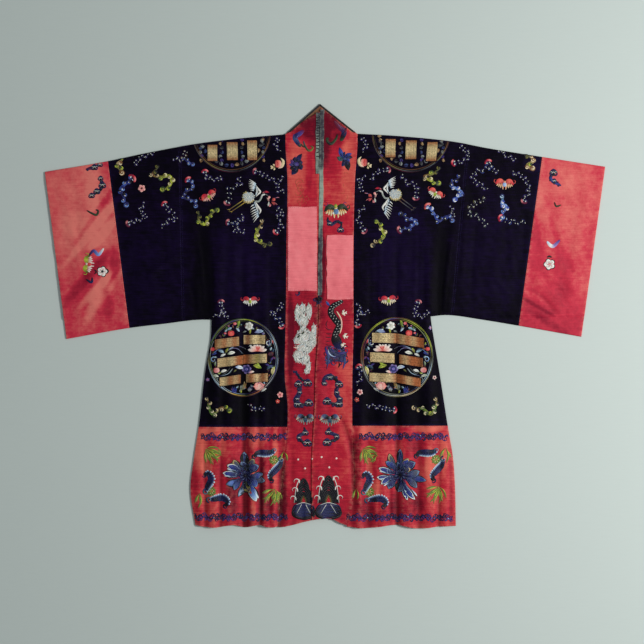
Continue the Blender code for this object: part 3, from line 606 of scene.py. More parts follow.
class NodeDesk:
    """Places nodes in one tree and joins them."""

    def __init__(self, tree: NodeTree) -> None:
        """Take the tree to work on."""
        self.tree = tree

    def feed(self, node: bpy.types.Node, inputs: dict) -> bpy.types.Node:
        """Give a node its inputs.

        Args:
            node: the node.
            inputs: a value, or a socket to join, for each named or numbered input.

        Returns:
            The same node.
        """
        for key, value in inputs.items():
            if isinstance(value, Socket):
                self.tree.links.new(value, node.inputs[key])
            else:
                node.inputs[key].default_value = value
        return node

    def add(self, kind: str, inputs: dict | None = None, **settings: object) -> bpy.types.Node:
        """Place a node.

        Args:
            kind: the node's type.
            inputs: as for feed.
            settings: the node's own properties.

        Returns:
            The new node.
        """
        node = self.tree.nodes.new(kind)
        for name, value in settings.items():
            setattr(node, name, value)
        return self.feed(node, inputs or {})

    def math(self, operation: str, *values: object) -> Socket:
        """Do one sum on sockets or numbers."""
        return self.add("ShaderNodeMath", dict(enumerate(values)), operation=operation).outputs[0]

    def xyz(self, x: object, y: object, z: object) -> Socket:
        """Join three numbers or sockets into a vector."""
        return self.add("ShaderNodeCombineXYZ", {0: x, 1: y, 2: z}).outputs[0]

    def noise(self, place: Socket, scale: object, detail: float, rough: float) -> Socket:
        """Soft noise at each place, from 0 to 1."""
        inputs = {"Vector": place, "Scale": scale, "Detail": detail, "Roughness": rough}
        return self.add("ShaderNodeTexNoise", inputs).outputs[0]

    def attribute(self, name: str, output: str = "Fac") -> Socket:
        """Read one of a piece's own attributes."""
        return self.add("ShaderNodeAttribute", attribute_name=name).outputs[output]

    def ramp(self, factor: Socket, stops: Sequence[tuple[float, Rgb]]) -> Socket:
        """Turn a factor into a colour.

        Args:
            factor: the socket that picks the colour.
            stops: places from 0 to 1, each with its seen colour.

        Returns:
            The colour's socket.
        """
        node = self.add("ShaderNodeValToRGB", {0: factor})
        elements = node.color_ramp.elements
        while len(elements) < len(stops):
            elements.new(1.0)
        for element, (place, rgb) in zip(elements, stops):
            element.position = place
            element.color = (*linear(rgb), 1)
        return node.outputs[0]

    def blend(self, mode: str, share: object, first: object, second: object) -> Socket:
        """Mix two colours in a mode, by a share."""
        inputs = {0: share, 6: first, 7: second}
        return self.add("ShaderNodeMix", inputs, data_type="RGBA", blend_type=mode).outputs[2]

    def lit(self, colour: object, light: Socket) -> Socket:
        """Lighten or darken a colour."""
        grey = self.add("ShaderNodeCombineColor", {0: light, 1: light, 2: light}).outputs[0]
        return self.blend("MULTIPLY", 1.0, colour, grey)

    def effect(self, group: NodeTree, **inputs: object) -> dict[str, Socket]:
        """Put a shared effect into a material, and return its values."""
        return self.add("ShaderNodeGroup", inputs, node_tree=group).outputs

    def bump(self, height: Socket, distance: float) -> Socket:
        """Turn a height into a normal."""
        inputs = {"Height": height, "Distance": distance, "Strength": 1.0}
        return self.add("ShaderNodeBump", inputs).outputs[0]


class GroupDesk(NodeDesk):
    """A desk on a new node group, with both of its ends."""

    def __init__(self, kind: str, name: str, inputs: dict[str, str | float], outputs: dict[str, str]) -> None:
        """Start the group.

        Args:
            kind: the tree's type.
            name: the group's name.
            inputs: the type of each input, or the number that it starts from.
            outputs: the type of each output.
        """
        super().__init__(bpy.data.node_groups.new(name, kind))
        for end, sockets in (("INPUT", inputs), ("OUTPUT", outputs)):
            for label, value in sockets.items():
                typed = value if isinstance(value, str) else "Float"
                new = self.tree.interface.new_socket(label, in_out=end, socket_type=f"NodeSocket{typed}")
                if typed is not value:
                    new.default_value = value
        self.given = self.add("NodeGroupInput").outputs
        self.end = self.add("NodeGroupOutput")

    def close(self, **values: Socket) -> NodeTree:
        """Send each value to the output of its name, and return the tree."""
        self.feed(self.end, values)
        return self.tree


class Effects:
    """The shader effects that several finishes share."""

    def __init__(self) -> None:
        """Build each group once."""
        self.weave = self.make_weave()
        self.mottle = self.make_mottle()
        self.fray = self.make_fray()

    def start(self, name: str, outputs: Sequence[str], **sizes: float) -> GroupDesk:
        """Start an effect that reads a place in space and some sizes."""
        inputs = {"Place": "Vector", **sizes}
        return GroupDesk("ShaderNodeTree", name, inputs, dict.fromkeys(outputs, "Float"))

    def make_weave(self) -> NodeTree:
        """Make crossing threads.

        Returns:
            The group: the threads' height, and the uneven streaks of thicker ones.
        """
        desk = self.start("weave", ("Height", "Streak"), Pitch=0.001, Slub=0.03)
        place = desk.add("ShaderNodeSeparateXYZ", {0: desk.given["Place"]}).outputs
        turn = desk.math("DIVIDE", 2 * math.pi, desk.given["Pitch"])
        warp, weft = (desk.math("SINE", desk.math("MULTIPLY", place[k], turn)) for k in (0, 1))
        stretched = {0: desk.given["Place"], 1: (18.0, 300.0, 18.0)}
        stretch = desk.add("ShaderNodeVectorMath", stretched, operation="MULTIPLY").outputs[0]
        slub = desk.noise(stretch, 1.0, 3.0, 0.6)
        rough = desk.math("MULTIPLY", slub, desk.given["Slub"])
        height = desk.math("MULTIPLY_ADD", desk.math("MULTIPLY", warp, weft), 0.5, rough)
        return desk.close(Height=height, Streak=slub)

    def make_mottle(self) -> NodeTree:
        """Make uneven fading and old stains.

        Returns:
            The group: a value from 0 to 1.
        """
        desk = self.start("mottle", ("Value",), Size=0.05, Contrast=1.0)
        noise = desk.noise(desk.given["Place"], desk.math("DIVIDE", 1.0, desk.given["Size"]), 5.0, 0.62)
        centred = desk.math("SUBTRACT", noise, 0.5)
        return desk.close(Value=desk.math("MULTIPLY_ADD", centred, desk.given["Contrast"], 0.5))

    def make_fray(self) -> NodeTree:
        """Make the pale rubbing of an edge, and the paling of a fold's crown, which is rubbing wear and a
        painted highlight together.

        Returns:
            The group: a mask.
        """
        desk = self.start("fray", ("Mask",), Worn=0.0, Amount=0.5)
        noise = desk.noise(desk.given["Place"], 90.0, 4.0, 0.7)
        patchy = desk.add("ShaderNodeMapRange", {0: noise, 1: 0.42, 2: 0.66, 3: 0.0, 4: 1.0}).outputs[0]
        mask = desk.math("MULTIPLY", patchy, desk.given["Worn"])
        return desk.close(Mask=desk.math("MULTIPLY", mask, desk.given["Amount"]))


@dataclass(frozen=True)
class Finish:
    """What every finish has: a name, and a material made of its own nodes."""

    name: str

    def material(self, effects: Effects) -> Material:
        """Make the material.

        Args:
            effects: the shared effects.

        Returns:
            The material.
        """
        material = bpy.data.materials.new(self.name)
        material.use_nodes = True
        desk = NodeDesk(material.node_tree)
        place = desk.add("ShaderNodeTexCoord").outputs["Object"]
        desk.feed(material.node_tree.nodes["Principled BSDF"], self.surface(desk, effects, place))
        return material

    def surface(self, desk: NodeDesk, effects: Effects, place: Socket) -> dict[str, object]:
        """What feeds the Principled shader, by its input; each finish gives its own."""
        raise NotImplementedError(self.name)


@dataclass(frozen=True)
class SilkFinish(Finish):
    """Woven silk whose colour fades from deep through middle to pale."""

    deep: Rgb
    middle: Rgb
    pale: Rgb
    # Pale colour of rubbed edges, also painted on fold crowns as a highlight
    worn: Rgb
    roughness: float = 0.5
    sheen: float = 0.15
    gloss: float = 0.4
    pitch: float = 0.0011
    streak: float = 0.16
    stain: float = 0.5
    stain_size: float = 0.05
    # How much the colour darkens in fold hollows: painted shade
    shade: float = 0.55
    weave_depth: float = 0.00012
    fine_stain: float = 0.011
    deep_at: float = 0.08
    pale_at: float = 0.92
    # How far fold crowns pale: rubbing wear together with a painted highlight
    crown_wear: float = 0.55
    edge_wear: float = 0.6
    rough_spread: float = 0.16
    sheen_roughness: float = 0.4

    def surface(self, desk: NodeDesk, effects: Effects, place: Socket) -> dict[str, object]:
        """Build the cloth's colour, gloss and weave.

        Args:
            desk: the desk of the material's nodes.
            effects: the shared effects.
            place: the piece's own coordinates.

        Returns:
            Values and sockets by the Principled shader's input.
        """
        tone, hollow, rim = (desk.attribute(name) for name in ("tone", "hollow", "rim"))
        weave = desk.effect(effects.weave, Place=place, Pitch=self.pitch, Slub=0.5)
        broad = desk.effect(effects.mottle, Place=place, Size=self.stain_size, Contrast=self.stain)[0]
        fine = desk.effect(effects.mottle, Place=place, Size=self.fine_stain, Contrast=self.stain * 0.7)[0]
        mixed = desk.math("ADD", desk.math("MULTIPLY_ADD", tone, 0.5, broad), fine)
        streak = desk.math("SUBTRACT", weave["Streak"], 0.5)
        fade_and_painted_light = desk.math("SUBTRACT", desk.math("MULTIPLY_ADD", streak, 3 * self.streak, mixed), 0.5)
        stops = ((self.deep_at, self.deep), (0.5, self.middle), (self.pale_at, self.pale))
        # The tone brings painted satin highlights and painted fold shadows into the colour, besides the
        # fading
        dye_and_painted_light = desk.ramp(fade_and_painted_light, stops)
        # Fold crowns pale: rubbing wear together with a painted highlight on the ridges
        crown = desk.math("MULTIPLY", desk.math("MAXIMUM", hollow, 0.0), self.crown_wear)
        worn = desk.math("MAXIMUM", rim, crown)
        fray = desk.effect(effects.fray, Place=place, Worn=worn, Amount=self.edge_wear)
        dye_and_painted_light = desk.blend("MIX", fray[0], dye_and_painted_light, (*linear(self.worn), 1))
        light = desk.math("MULTIPLY_ADD", streak, 2 * self.streak, 1.0)
        # Painted shade: the colour darkens in fold hollows and creases
        painted_fold_shade = desk.math("MULTIPLY", desk.math("MINIMUM", hollow, 0.0), self.shade)
        light = desk.math("MULTIPLY", light, desk.math("ADD", painted_fold_shade, 1.0))
        smoothest = self.roughness - self.rough_spread / 2
        return {
            "Base Color": desk.lit(dye_and_painted_light, light),
            "Roughness": desk.math("MULTIPLY_ADD", fine, self.rough_spread, smoothest),
            "Normal": desk.bump(weave["Height"], self.weave_depth),
            "Specular IOR Level": self.gloss,
            "Sheen Weight": self.sheen,
            "Sheen Roughness": self.sheen_roughness,
            "Sheen Tint": (*linear(self.pale), 1),
        }


@dataclass(frozen=True)
class ThreadFinish(Finish):
    """Laid threads, coloured by the "thread" attribute, with fine ridges across them."""

    roughness: float
    metallic: float
    pitch: float
    depth: float
    spread: float
    fleck: float = 0.004
    gloss: float = 0.25

    def surface(self, desk: NodeDesk, effects: Effects, place: Socket) -> dict[str, object]:
        """Build the threads' colour and ridges.

        Args:
            desk: the desk of the material's nodes.
            effects: the shared effects.
            place: the piece's own coordinates.

        Returns:
            Values and sockets by the Principled shader's input.
        """
        uneven = desk.effect(effects.mottle, Place=place, Size=self.fleck, Contrast=self.spread)[0]
        turn = desk.math("MULTIPLY", desk.attribute("along"), 2 * math.pi / self.pitch)
        return {
            "Base Color": desk.lit(desk.attribute("thread", "Color"), desk.math("ADD", uneven, 0.5)),
            "Normal": desk.bump(desk.math("SINE", turn), self.depth),
            "Roughness": self.roughness,
            "Metallic": self.metallic,
            "Specular IOR Level": self.gloss,
        }


@dataclass(frozen=True)
class FloorFinish(Finish):
    """The plain pale surface that the robe lies on."""

    colour: Rgb = (196, 207, 203)
    cell: float = 0.004
    streak: float = 0.05
    roughness: float = 0.9
    gloss: float = 0.2

    def surface(self, desk: NodeDesk, effects: Effects, place: Socket) -> dict[str, object]:
        """Build the floor's faint weave.

        Args:
            desk: the desk of the material's nodes.
            effects: the shared effects.
            place: the piece's own coordinates.

        Returns:
            Values and sockets by the Principled shader's input.
        """
        weave = desk.effect(effects.weave, Place=place, Pitch=self.cell, Slub=0.4)
        light = desk.math("MULTIPLY_ADD", weave["Streak"], self.streak, 1 - self.streak / 2)
        colour = desk.lit((*linear(self.colour), 1), light)
        return {"Base Color": colour, "Roughness": self.roughness, "Specular IOR Level": self.gloss}


class Slot(Enum):
    """The material slots."""

    NAVY = "navy_silk"
    CORAL = "coral_silk"
    PINK = "pink_silk"
    GOLD = "gold_thread"
    SAGE = "sage_ribbon"
    TAN = "tan_lining"
    BLACK = "black_piping"


FINISHES = {
    Slot.NAVY: SilkFinish(
        "navy_silk", (1, 1, 4), (6, 2, 16), (20, 7, 44), (36, 22, 60),
        roughness=0.55, sheen=0.0, gloss=0.05, streak=0.24, stain=0.6, shade=0.7,
    ),
    Slot.CORAL: SilkFinish(
        "coral_silk", (104, 2, 30), (184, 30, 52), (220, 100, 86), (236, 150, 128),
        roughness=0.45, sheen=0.0, gloss=0.12, streak=0.15, stain=0.6, stain_size=0.06, shade=0.75,
    ),
    Slot.PINK: SilkFinish(
        "pink_silk", (218, 92, 104), (244, 122, 130), (250, 148, 150), (250, 168, 170),
        roughness=0.55, sheen=0.1, pitch=0.0021, streak=0.1, stain=0.5, weave_depth=0.00022,
    ),
    Slot.SAGE: SilkFinish(
        "sage_ribbon", (44, 42, 54), (112, 128, 118), (150, 166, 152), (170, 182, 170),
        roughness=0.5, pitch=0.0018, stain=1.2, stain_size=0.012, weave_depth=0.0002,
    ),
    Slot.TAN: SilkFinish(
        "tan_lining", (120, 78, 50), (170, 118, 82), (198, 150, 112), (206, 164, 130),
        roughness=0.7, pitch=0.0014, stain=0.8,
    ),
    Slot.BLACK: SilkFinish(
        "black_piping", (8, 7, 10), (22, 20, 26), (44, 52, 54), (60, 66, 66),
        roughness=0.6, pitch=0.0016, stain=0.8, weave_depth=0.0002,
    ),
}
CUFF_SILK = replace(
    FINISHES[Slot.CORAL], name="cuff_silk",
    deep=(136, 12, 42), middle=(200, 48, 70), pale=(228, 122, 112), streak=0.07,
)
SILK_THREAD = ThreadFinish("silk_thread", 0.42, 0.0, 0.0009, 0.00008, 0.7)
GOLD_THREAD = ThreadFinish("gold_thread", 0.42, 0.45, 0.0014, 0.00010, 2.4)


def edge_shares(length: float, cell: float) -> Array:
    """Grid lines across a length, with a few close to each end, where the edge is rolled.

    Args:
        length: what the lines divide, in metres.
        cell: the size of a cell between them.

    Returns:
        The lines' places, as shares of the length.
    """
    ends = np.array(EDGE_LINES) / length
    middle = np.linspace(ends[-1], 1 - ends[-1], max(2, round(length / cell) + 1))
    return np.concatenate((ends[:-1], middle, 1 - ends[-2::-1]))


def joined_shares(first: Array, second: Array) -> Array:
    """Shares of a first stretch from 0 to 1 and of a second one from 1 to 2."""
    return np.concatenate((first, 1 + second[1:]))


def rolled(depth: Array, wall: float) -> Array:
    """How far a face gives way at its rolled edge.

    Args:
        depth: how far inside the edge each point lies.
        wall: thickness of the cloth.

    Returns:
        The drop of the top face, which is also the rise of the underside.
    """
    radius = EDGE_ROLL * wall / 2
    away = np.clip(1 - depth / radius, 0, 1)
    return radius * (1 - np.sqrt(1 - away**2))


def grid_quads(rows: int, columns: int, keep: Array | None = None, wrap: bool = False) -> Array:
    """The cells of a grid as rings of four point numbers.

    Args:
        rows: rows of points.
        columns: points in a row.
        keep: which cells are cloth.
        wrap: whether each row closes on itself.

    Returns:
        The rings, one a line.
    """
    i, j = np.meshgrid(np.arange(rows - 1), np.arange(columns if wrap else columns - 1), indexing="ij")
    following = (j + 1) % columns
    low, high = i * columns, (i + 1) * columns
    quads = np.stack((low + j, low + following, high + following, high + j), -1)
    return quads[keep] if keep is not None else quads.reshape(-1, 4)


def open_edges(quads: Array) -> Array:
    """Find the edges round an open sheet.

    Args:
        quads: the point numbers round each face.

    Returns:
        The directed edges that only one face has.
    """
    edges = np.concatenate([quads[:, [k, (k + 1) % 4]] for k in range(4)])
    forward = {tuple(edge) for edge in edges.tolist()}
    return np.array([edge for edge in forward if edge[::-1] not in forward])


@dataclass
class Body:
    """Points and rings of one piece, with the part of it that faces up and what it measures flat."""

    points: Array
    rings: list[Sequence[int]]
    upper: Array
    width: float
    length: float
    area: float
    rim: Array


def grid_size(points: Array, keep: Array | None = None, wrap: bool = False) -> tuple[float, float, float]:
    """What a grid of cloth measures when it is pressed flat.

    Args:
        points: rows of points.
        keep: which cells are cloth.
        wrap: whether each row closes on itself.

    Returns:
        Its width along the rows, its length across them, and its area.
    """
    closed = np.concatenate((points, points[:, :1]), 1) if wrap else points
    across = np.linalg.norm(np.diff(closed, axis=1), axis=2)
    down = np.linalg.norm(np.diff(closed, axis=0), axis=2)
    diagonals = closed[1:, 1:] - closed[:-1, :-1], closed[1:, :-1] - closed[:-1, 1:]
    cells = np.linalg.norm(np.cross(*diagonals), axis=2) / 2
    keep = np.ones(cells.shape, bool) if keep is None else keep
    in_row, in_column = np.zeros(across.shape, bool), np.zeros(down.shape, bool)
    in_row[:-1] |= keep
    in_row[1:] |= keep
    in_column[:, :-1] |= keep
    in_column[:, 1:] |= keep
    width, length = (across * in_row).sum(1).max(), (down * in_column).sum(0).max()
    return float(width), float(length), float((cells * keep).sum())


def closed_shell(
    top: Array, low: Array, quads: Array, shown: Array, depth: Array, size: tuple[float, float, float]
) -> Body:
    """Join two like grids of points along their open edges.

    Args:
        top: points of the face that shows, its whole grid in one list.
        low: the same points on the other face.
        quads: the grid's cells.
        shown: which cells face up.
        depth: how far each point lies inside the piece's edge.
        size: what the piece measures flat.

    Returns:
        The closed piece.
    """
    a, b, c = (top[quads[shown][:, k], :2] for k in (0, 1, 2))
    if ((b - a)[:, 0] * (c - b)[:, 1] - (b - a)[:, 1] * (c - b)[:, 0]).sum() < 0:
        quads = quads[:, ::-1]
    border, count = open_edges(quads), len(top)
    sides = np.stack((border[:, 1], border[:, 0], border[:, 0] + count, border[:, 1] + count), -1)
    rings = np.concatenate((quads, quads[:, ::-1] + count, sides))
    rim = np.exp(-np.concatenate((depth, depth)) / RIM_REACH)
    return Body(np.concatenate((top, low)), rings.tolist(), quads[shown], *size, rim)


def sheet_body(under: Array, wall: Array | float, keep: Array | None = None) -> Body:
    """A closed shell between a grid of points and the same grid raised by its wall.

    Args:
        under: rows of points of the underside.
        wall: the thickness, one value or one for each point.
        keep: which cells of the grid are cloth.

    Returns:
        The shell, its edges rolled.
    """
    rows, columns = under.shape[:2]
    used, flat = np.unique(grid_quads(rows, columns, keep), return_inverse=True)
    quads = flat.reshape(-1, 4)
    low = under.reshape(-1, 3)[used]
    wall = np.broadcast_to(wall, (rows, columns)).reshape(-1)[used]
    border = open_edges(quads)
    finder = KDTree(len(border))
    for k, point in enumerate(low[border[:, 0]]):
        finder.insert((point[0], point[1], 0), k)
    finder.balance()
    depth = np.array([finder.find((x, y, 0))[2] for x, y in low[:, :2].tolist()])
    drop = np.minimum(rolled(depth, float(wall.max())), EDGE_MOST * wall)
    top = low.copy()
    top[:, 2] += wall - drop
    low[:, 2] += drop
    return closed_shell(top, low, quads, np.ones(len(quads), bool), depth, grid_size(under, keep))


def tube_body(outer: Array, inner: Array, lines: Array, length: float, upper: Array) -> Body:
    """A closed wall between two nested tubes that are open at both ends.

    Args:
        outer: rings of points of the outer face.
        inner: the same rings on the inner face.
        lines: how far along the tube each ring is, as a share.
        length: the tube's length.
        upper: which points of a ring are on the side that shows.

    Returns:
        The wall, its two rims rolled.
    """
    rows, columns = outer.shape[:2]
    depth = np.minimum(lines, 1 - lines) * length
    share = (rolled(depth, WALL) / WALL)[:, None, None]
    faces = [face.reshape(-1, 3) for face in (lerp(outer, inner, share), lerp(inner, outer, share))]
    quads = grid_quads(rows, columns, wrap=True)
    shown = upper[quads % columns].all(1)
    return closed_shell(*faces, quads, shown, np.repeat(depth, columns), grid_size(outer, wrap=True))


def make_mesh(name: str, points: Array, rings: list[Sequence[int]], material: Material) -> Mesh:
    """Make a smooth mesh.

    Args:
        name: its name.
        points: its points.
        rings: the point numbers round each face.
        material: its material.

    Returns:
        The mesh.
    """
    mesh = bpy.data.meshes.new(name)
    mesh.from_pydata(points.tolist(), [], rings)
    mesh.materials.append(material)
    mesh.shade_smooth()
    return mesh


def put_in_scene(data: bpy.types.ID) -> Piece:
    """Show a mesh, a lamp or a camera as an object of its own name, at the origin.

    Args:
        data: what is shown.

    Returns:
        The object.
    """
    piece = bpy.data.objects.new(data.name, data)
    bpy.context.scene.collection.objects.link(piece)
    return piece


def plain_mesh(live: Piece) -> Mesh:
    """Turn a live object into a plain mesh, and remove the object.

    Args:
        live: the object, with its modifiers.

    Returns:
        The mesh that the modifiers made.
    """
    made = bpy.data.meshes.new_from_object(live.evaluated_get(bpy.context.evaluated_depsgraph_get()))
    bpy.data.objects.remove(live)
    return made


def set_values(mesh: Mesh, **values: Array) -> None:
    """Write attributes of a mesh.

    Args:
        mesh: the mesh.
        values: a number, or a red, green and blue, for each point, by the attribute's name.
    """
    for name, value in values.items():
        if value.ndim == 1:
            mesh.attributes.new(name, "FLOAT", "POINT").data.foreach_set("value", value.astype(np.float32))
            continue
        colours = np.concatenate((value, np.ones((len(value), 1))), 1).astype(np.float32)
        mesh.attributes.new(name, "FLOAT_COLOR", "POINT").data.foreach_set("color", colours.ravel())


class Workroom:
    """Holds the materials and the cloth already made, and adds each new piece."""

    # Heights above the floor from which cloth is looked for
    above = 0.1
    cloth_height = 0.008

    def __init__(self) -> None:
        """Make the materials."""
        self.effects = Effects()
        self.silks = {slot: finish.material(self.effects) for slot, finish in FINISHES.items()}
        self.cuff_silk, self.silk_thread, self.gold_thread = (
            finish.material(self.effects) for finish in (CUFF_SILK, SILK_THREAD, GOLD_THREAD)
        )
        self.grounds: dict[str, BVHTree] = {}
        self.cloth: dict[str, tuple[Piece, Body]] = {}
        self.rests: dict[str, Sequence[str]] = {}

    def add_cloth(self, node: str, slot: Slot, body: Body, *rests_on: str) -> Piece:
        """Make a cloth piece that stands for a solid of the same name.

        Args:
            node: the solid.
            slot: which material it takes.
            body: its points and faces.
            rests_on: the nodes that it lies on.

        Returns:
            The piece.
        """
        mesh = make_mesh(f"cloth_{node}", body.points, body.rings, self.silks[slot])
        x, y = body.points[:, 0], body.points[:, 1]
        # The tone and hollow attributes carry painted satin highlights, painted fold shade and painted ridge
        # highlights, besides the silk's fading
        set_values(mesh, tone=PLAN.tone(x, y), hollow=PLAN.hollow(x, y), rim=body.rim)
        piece = put_in_scene(mesh)
        self.adopt(piece, slot, node)
        self.grounds[node] = BVHTree.FromPolygons(body.points.tolist(), body.upper.tolist())
        self.cloth[node] = (piece, body)
        self.rests[node] = rests_on
        LOG.info("%s: %d faces", piece.name, len(body.rings))
        return piece

    def adopt(self, piece: Piece, slot: Slot, node: str) -> None:
        """Make a piece part of the robe.

        Args:
            piece: the piece.
            slot: not used.
            node: the solid that it stands for.
        """
        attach(piece, "root")
        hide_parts(node)

    def height(self, ground: str, x: Array, y: Array) -> Array:
        """Height of a cloth piece's upper face.

        Args:
            ground: the piece's node.
            x, y: places in the plan.

        Returns:
            The heights, taken from the nearest point where a place is just off the piece.
        """
        tree, heights = self.grounds[ground], np.empty(x.size)
        for k, (px, py) in enumerate(zip(x.ravel().tolist(), y.ravel().tolist())):
            hit = tree.ray_cast((px, py, self.above), (0, 0, -1))[0]
            if hit is None:
                hit = tree.find_nearest((px, py, self.cloth_height))[0]
            heights[k] = hit.z
        return heights.reshape(x.shape)

    def declare_sheets(self, sewn_on: Sequence[dict[str, Objects]]) -> None:
        """Log the size that each cloth piece was cut to.

        Args:
            sewn_on: for each kind of trim, what is sewn on each piece, by its node.
        """
        for node, (piece, body) in self.cloth.items():
            [self.cloth[name][0].name for name in self.rests[node]]
            min(body.area, body.width * body.length)
            [part for kind in sewn_on for part in kind.get(node, [])]
            LOG.info("%s: cut %.3f x %.3f m, %.4f m2", piece.name, body.width, body.length, body.area)


@dataclass
class Panels:
    """Fronts, backs and hem borders, each cut as one sheet on the robe's plan."""

    room: Workroom
    cell: float = 0.0042
    back_cell: float = 0.030
    wing_start: dict[str, float] = by_side(-0.322, 0.307)
    upper_rows: float = 0.52
    lower_rows: float = 0.31
    hem_rows: float = 0.28
    band_foot_y: float = 0.510

    def underarm_edge(self, side: str, x: Array) -> Array:
        """Lower edge of the upper rows: level under the body, then the sleeve's own edge."""
        beyond = SIDES[side] * (x - PLAN.side_seam[side](PLAN.underarm[side])) > 0
        return np.where(beyond, PLAN.sleeve_low[side](x), PLAN.underarm[side])

    def body_grid(
        self, side: str, inner: Callable[[Array], Array], top: Callable[[Array], Array], cell: float
    ) -> tuple[Array, Array, Array]:
        """Plan of one side of the body with the start of its sleeve.

        Args:
            side: left or right.
            inner: where the inner edge is at a height in the plan.
            top: where the upper edge is.
            cell: size of a grid cell.

        Returns:
            The grid's x and y, and which of its cells are cloth.
        """
        outer_x, seam, side_seam = self.wing_start[side], PLAN.sleeve_seam[side], PLAN.side_seam[side]
        body = edge_shares(abs(outer_x - PLAN.neck_point[side][0]), cell)
        wing = edge_shares(abs(seam.high_x - outer_x), cell)
        rows = joined_shares(edge_shares(self.upper_rows, cell), edge_shares(self.lower_rows, cell))
        u, v = np.meshgrid(joined_shares(body, wing), rows)
        upper = np.minimum(v, 1)
        x_top = lerp(inner(top(np.array(outer_x))), outer_x, np.minimum(u, 1))
        y_body = lerp(top(x_top), self.underarm_edge(side, x_top), upper)
        y_body = lerp(y_body, PLAN.hem_seam[side] + GAP / 2, np.clip(v - 1, 0, 1))
        share = np.clip(u - 1, 0, 1)
        guide = lerp(outer_x, seam.high_x, share)
        low_guide = lerp(side_seam(PLAN.underarm[side]), seam.low_x, share)
        y = np.where(u <= 1, y_body, lerp(top(guide), self.underarm_edge(side, low_guide), upper))
        end = PLAN.cross(seam, side, y) - SIDES[side] * GAP / 2
        x = np.where(u <= 1, lerp(inner(y), side_seam(y), u), lerp(side_seam(y), end, share))
        return x, y, (u[1:, 1:] <= 1) | (v[1:, 1:] <= 1)

    def hem_grid(
        self, side: str, inner: Callable[[Array], Array], bottom: Callable[[Array], Array], cell: float
    ) -> tuple[Array, Array]:
        """Plan of one side of the border below the hem seam.

        Args:
            side: left or right.
            inner: where the inner edge is at a height in the plan.
            bottom: where the lower edge is.
            cell: size of a grid cell.

        Returns:
            The grid's x and y.
        """
        seam = PLAN.hem_seam[side]
        start, end = inner(np.array(seam)), PLAN.side_seam[side](seam)
        u, v = np.meshgrid(edge_shares(abs(end - start), cell), edge_shares(self.hem_rows, cell))
        y = lerp(seam - GAP / 2, bottom(lerp(start, end, u)), v)
        return lerp(inner(y), PLAN.side_seam[side](y), u), y

    def backs(self, side: str) -> None:
        """Make the back panel and the back of the hem border.

        Args:
            side: left or right.
        """

        def middle(y: Array) -> Array:
            """The back's middle seam."""
            return PLAN.centre + SIDES[side] * GAP / 2 + 0 * y

        def straight(x: Array) -> Array:
            """The back's straight lower edge."""
            return PLAN.back_hem + 0 * x

        x, y, keep = self.body_grid(side, middle, PLAN.back_top, self.back_cell)
        self.room.add_cloth(f"back_{side}", Slot.NAVY, sheet_body(np.stack((x, y, 0 * x), -1), WALL, keep))
        x, y = self.hem_grid(side, middle, straight, self.back_cell)
        self.room.add_cloth(f"hem_back_{side}", Slot.CORAL, sheet_body(np.stack((x, y, 0 * x), -1), WALL))

    def fronts(self, side: str) -> None:
        """Make the front panel and the front of the hem border.

        Args:
            side: left or right.
        """

        def beside(y: Array) -> Array:
            """Just outside the neckband."""
            return PLAN.outer(side, np.minimum(y, self.band_foot_y)) + SIDES[side] * GAP / 2

        x, y, keep = self.body_grid(side, beside, PLAN.top_edge, self.cell)
        body = sheet_body(np.stack((x, y, PLAN.underside(x, y)), -1), WALL, keep)
        self.room.add_cloth(f"front_{side}", Slot.NAVY, body, f"back_{side}")
        x, y = self.hem_grid(side, beside, PLAN.hem_edge, self.cell * 0.8)
        body = sheet_body(np.stack((x, y, PLAN.underside(x, y)), -1), WALL)
        self.room.add_cloth(f"hem_front_{side}", Slot.CORAL, body, f"hem_back_{side}")

    def build(self) -> None:
        """Make the eight panels."""
        for make in (self.backs, self.fronts):
            for side in SIDES:
                make(side)


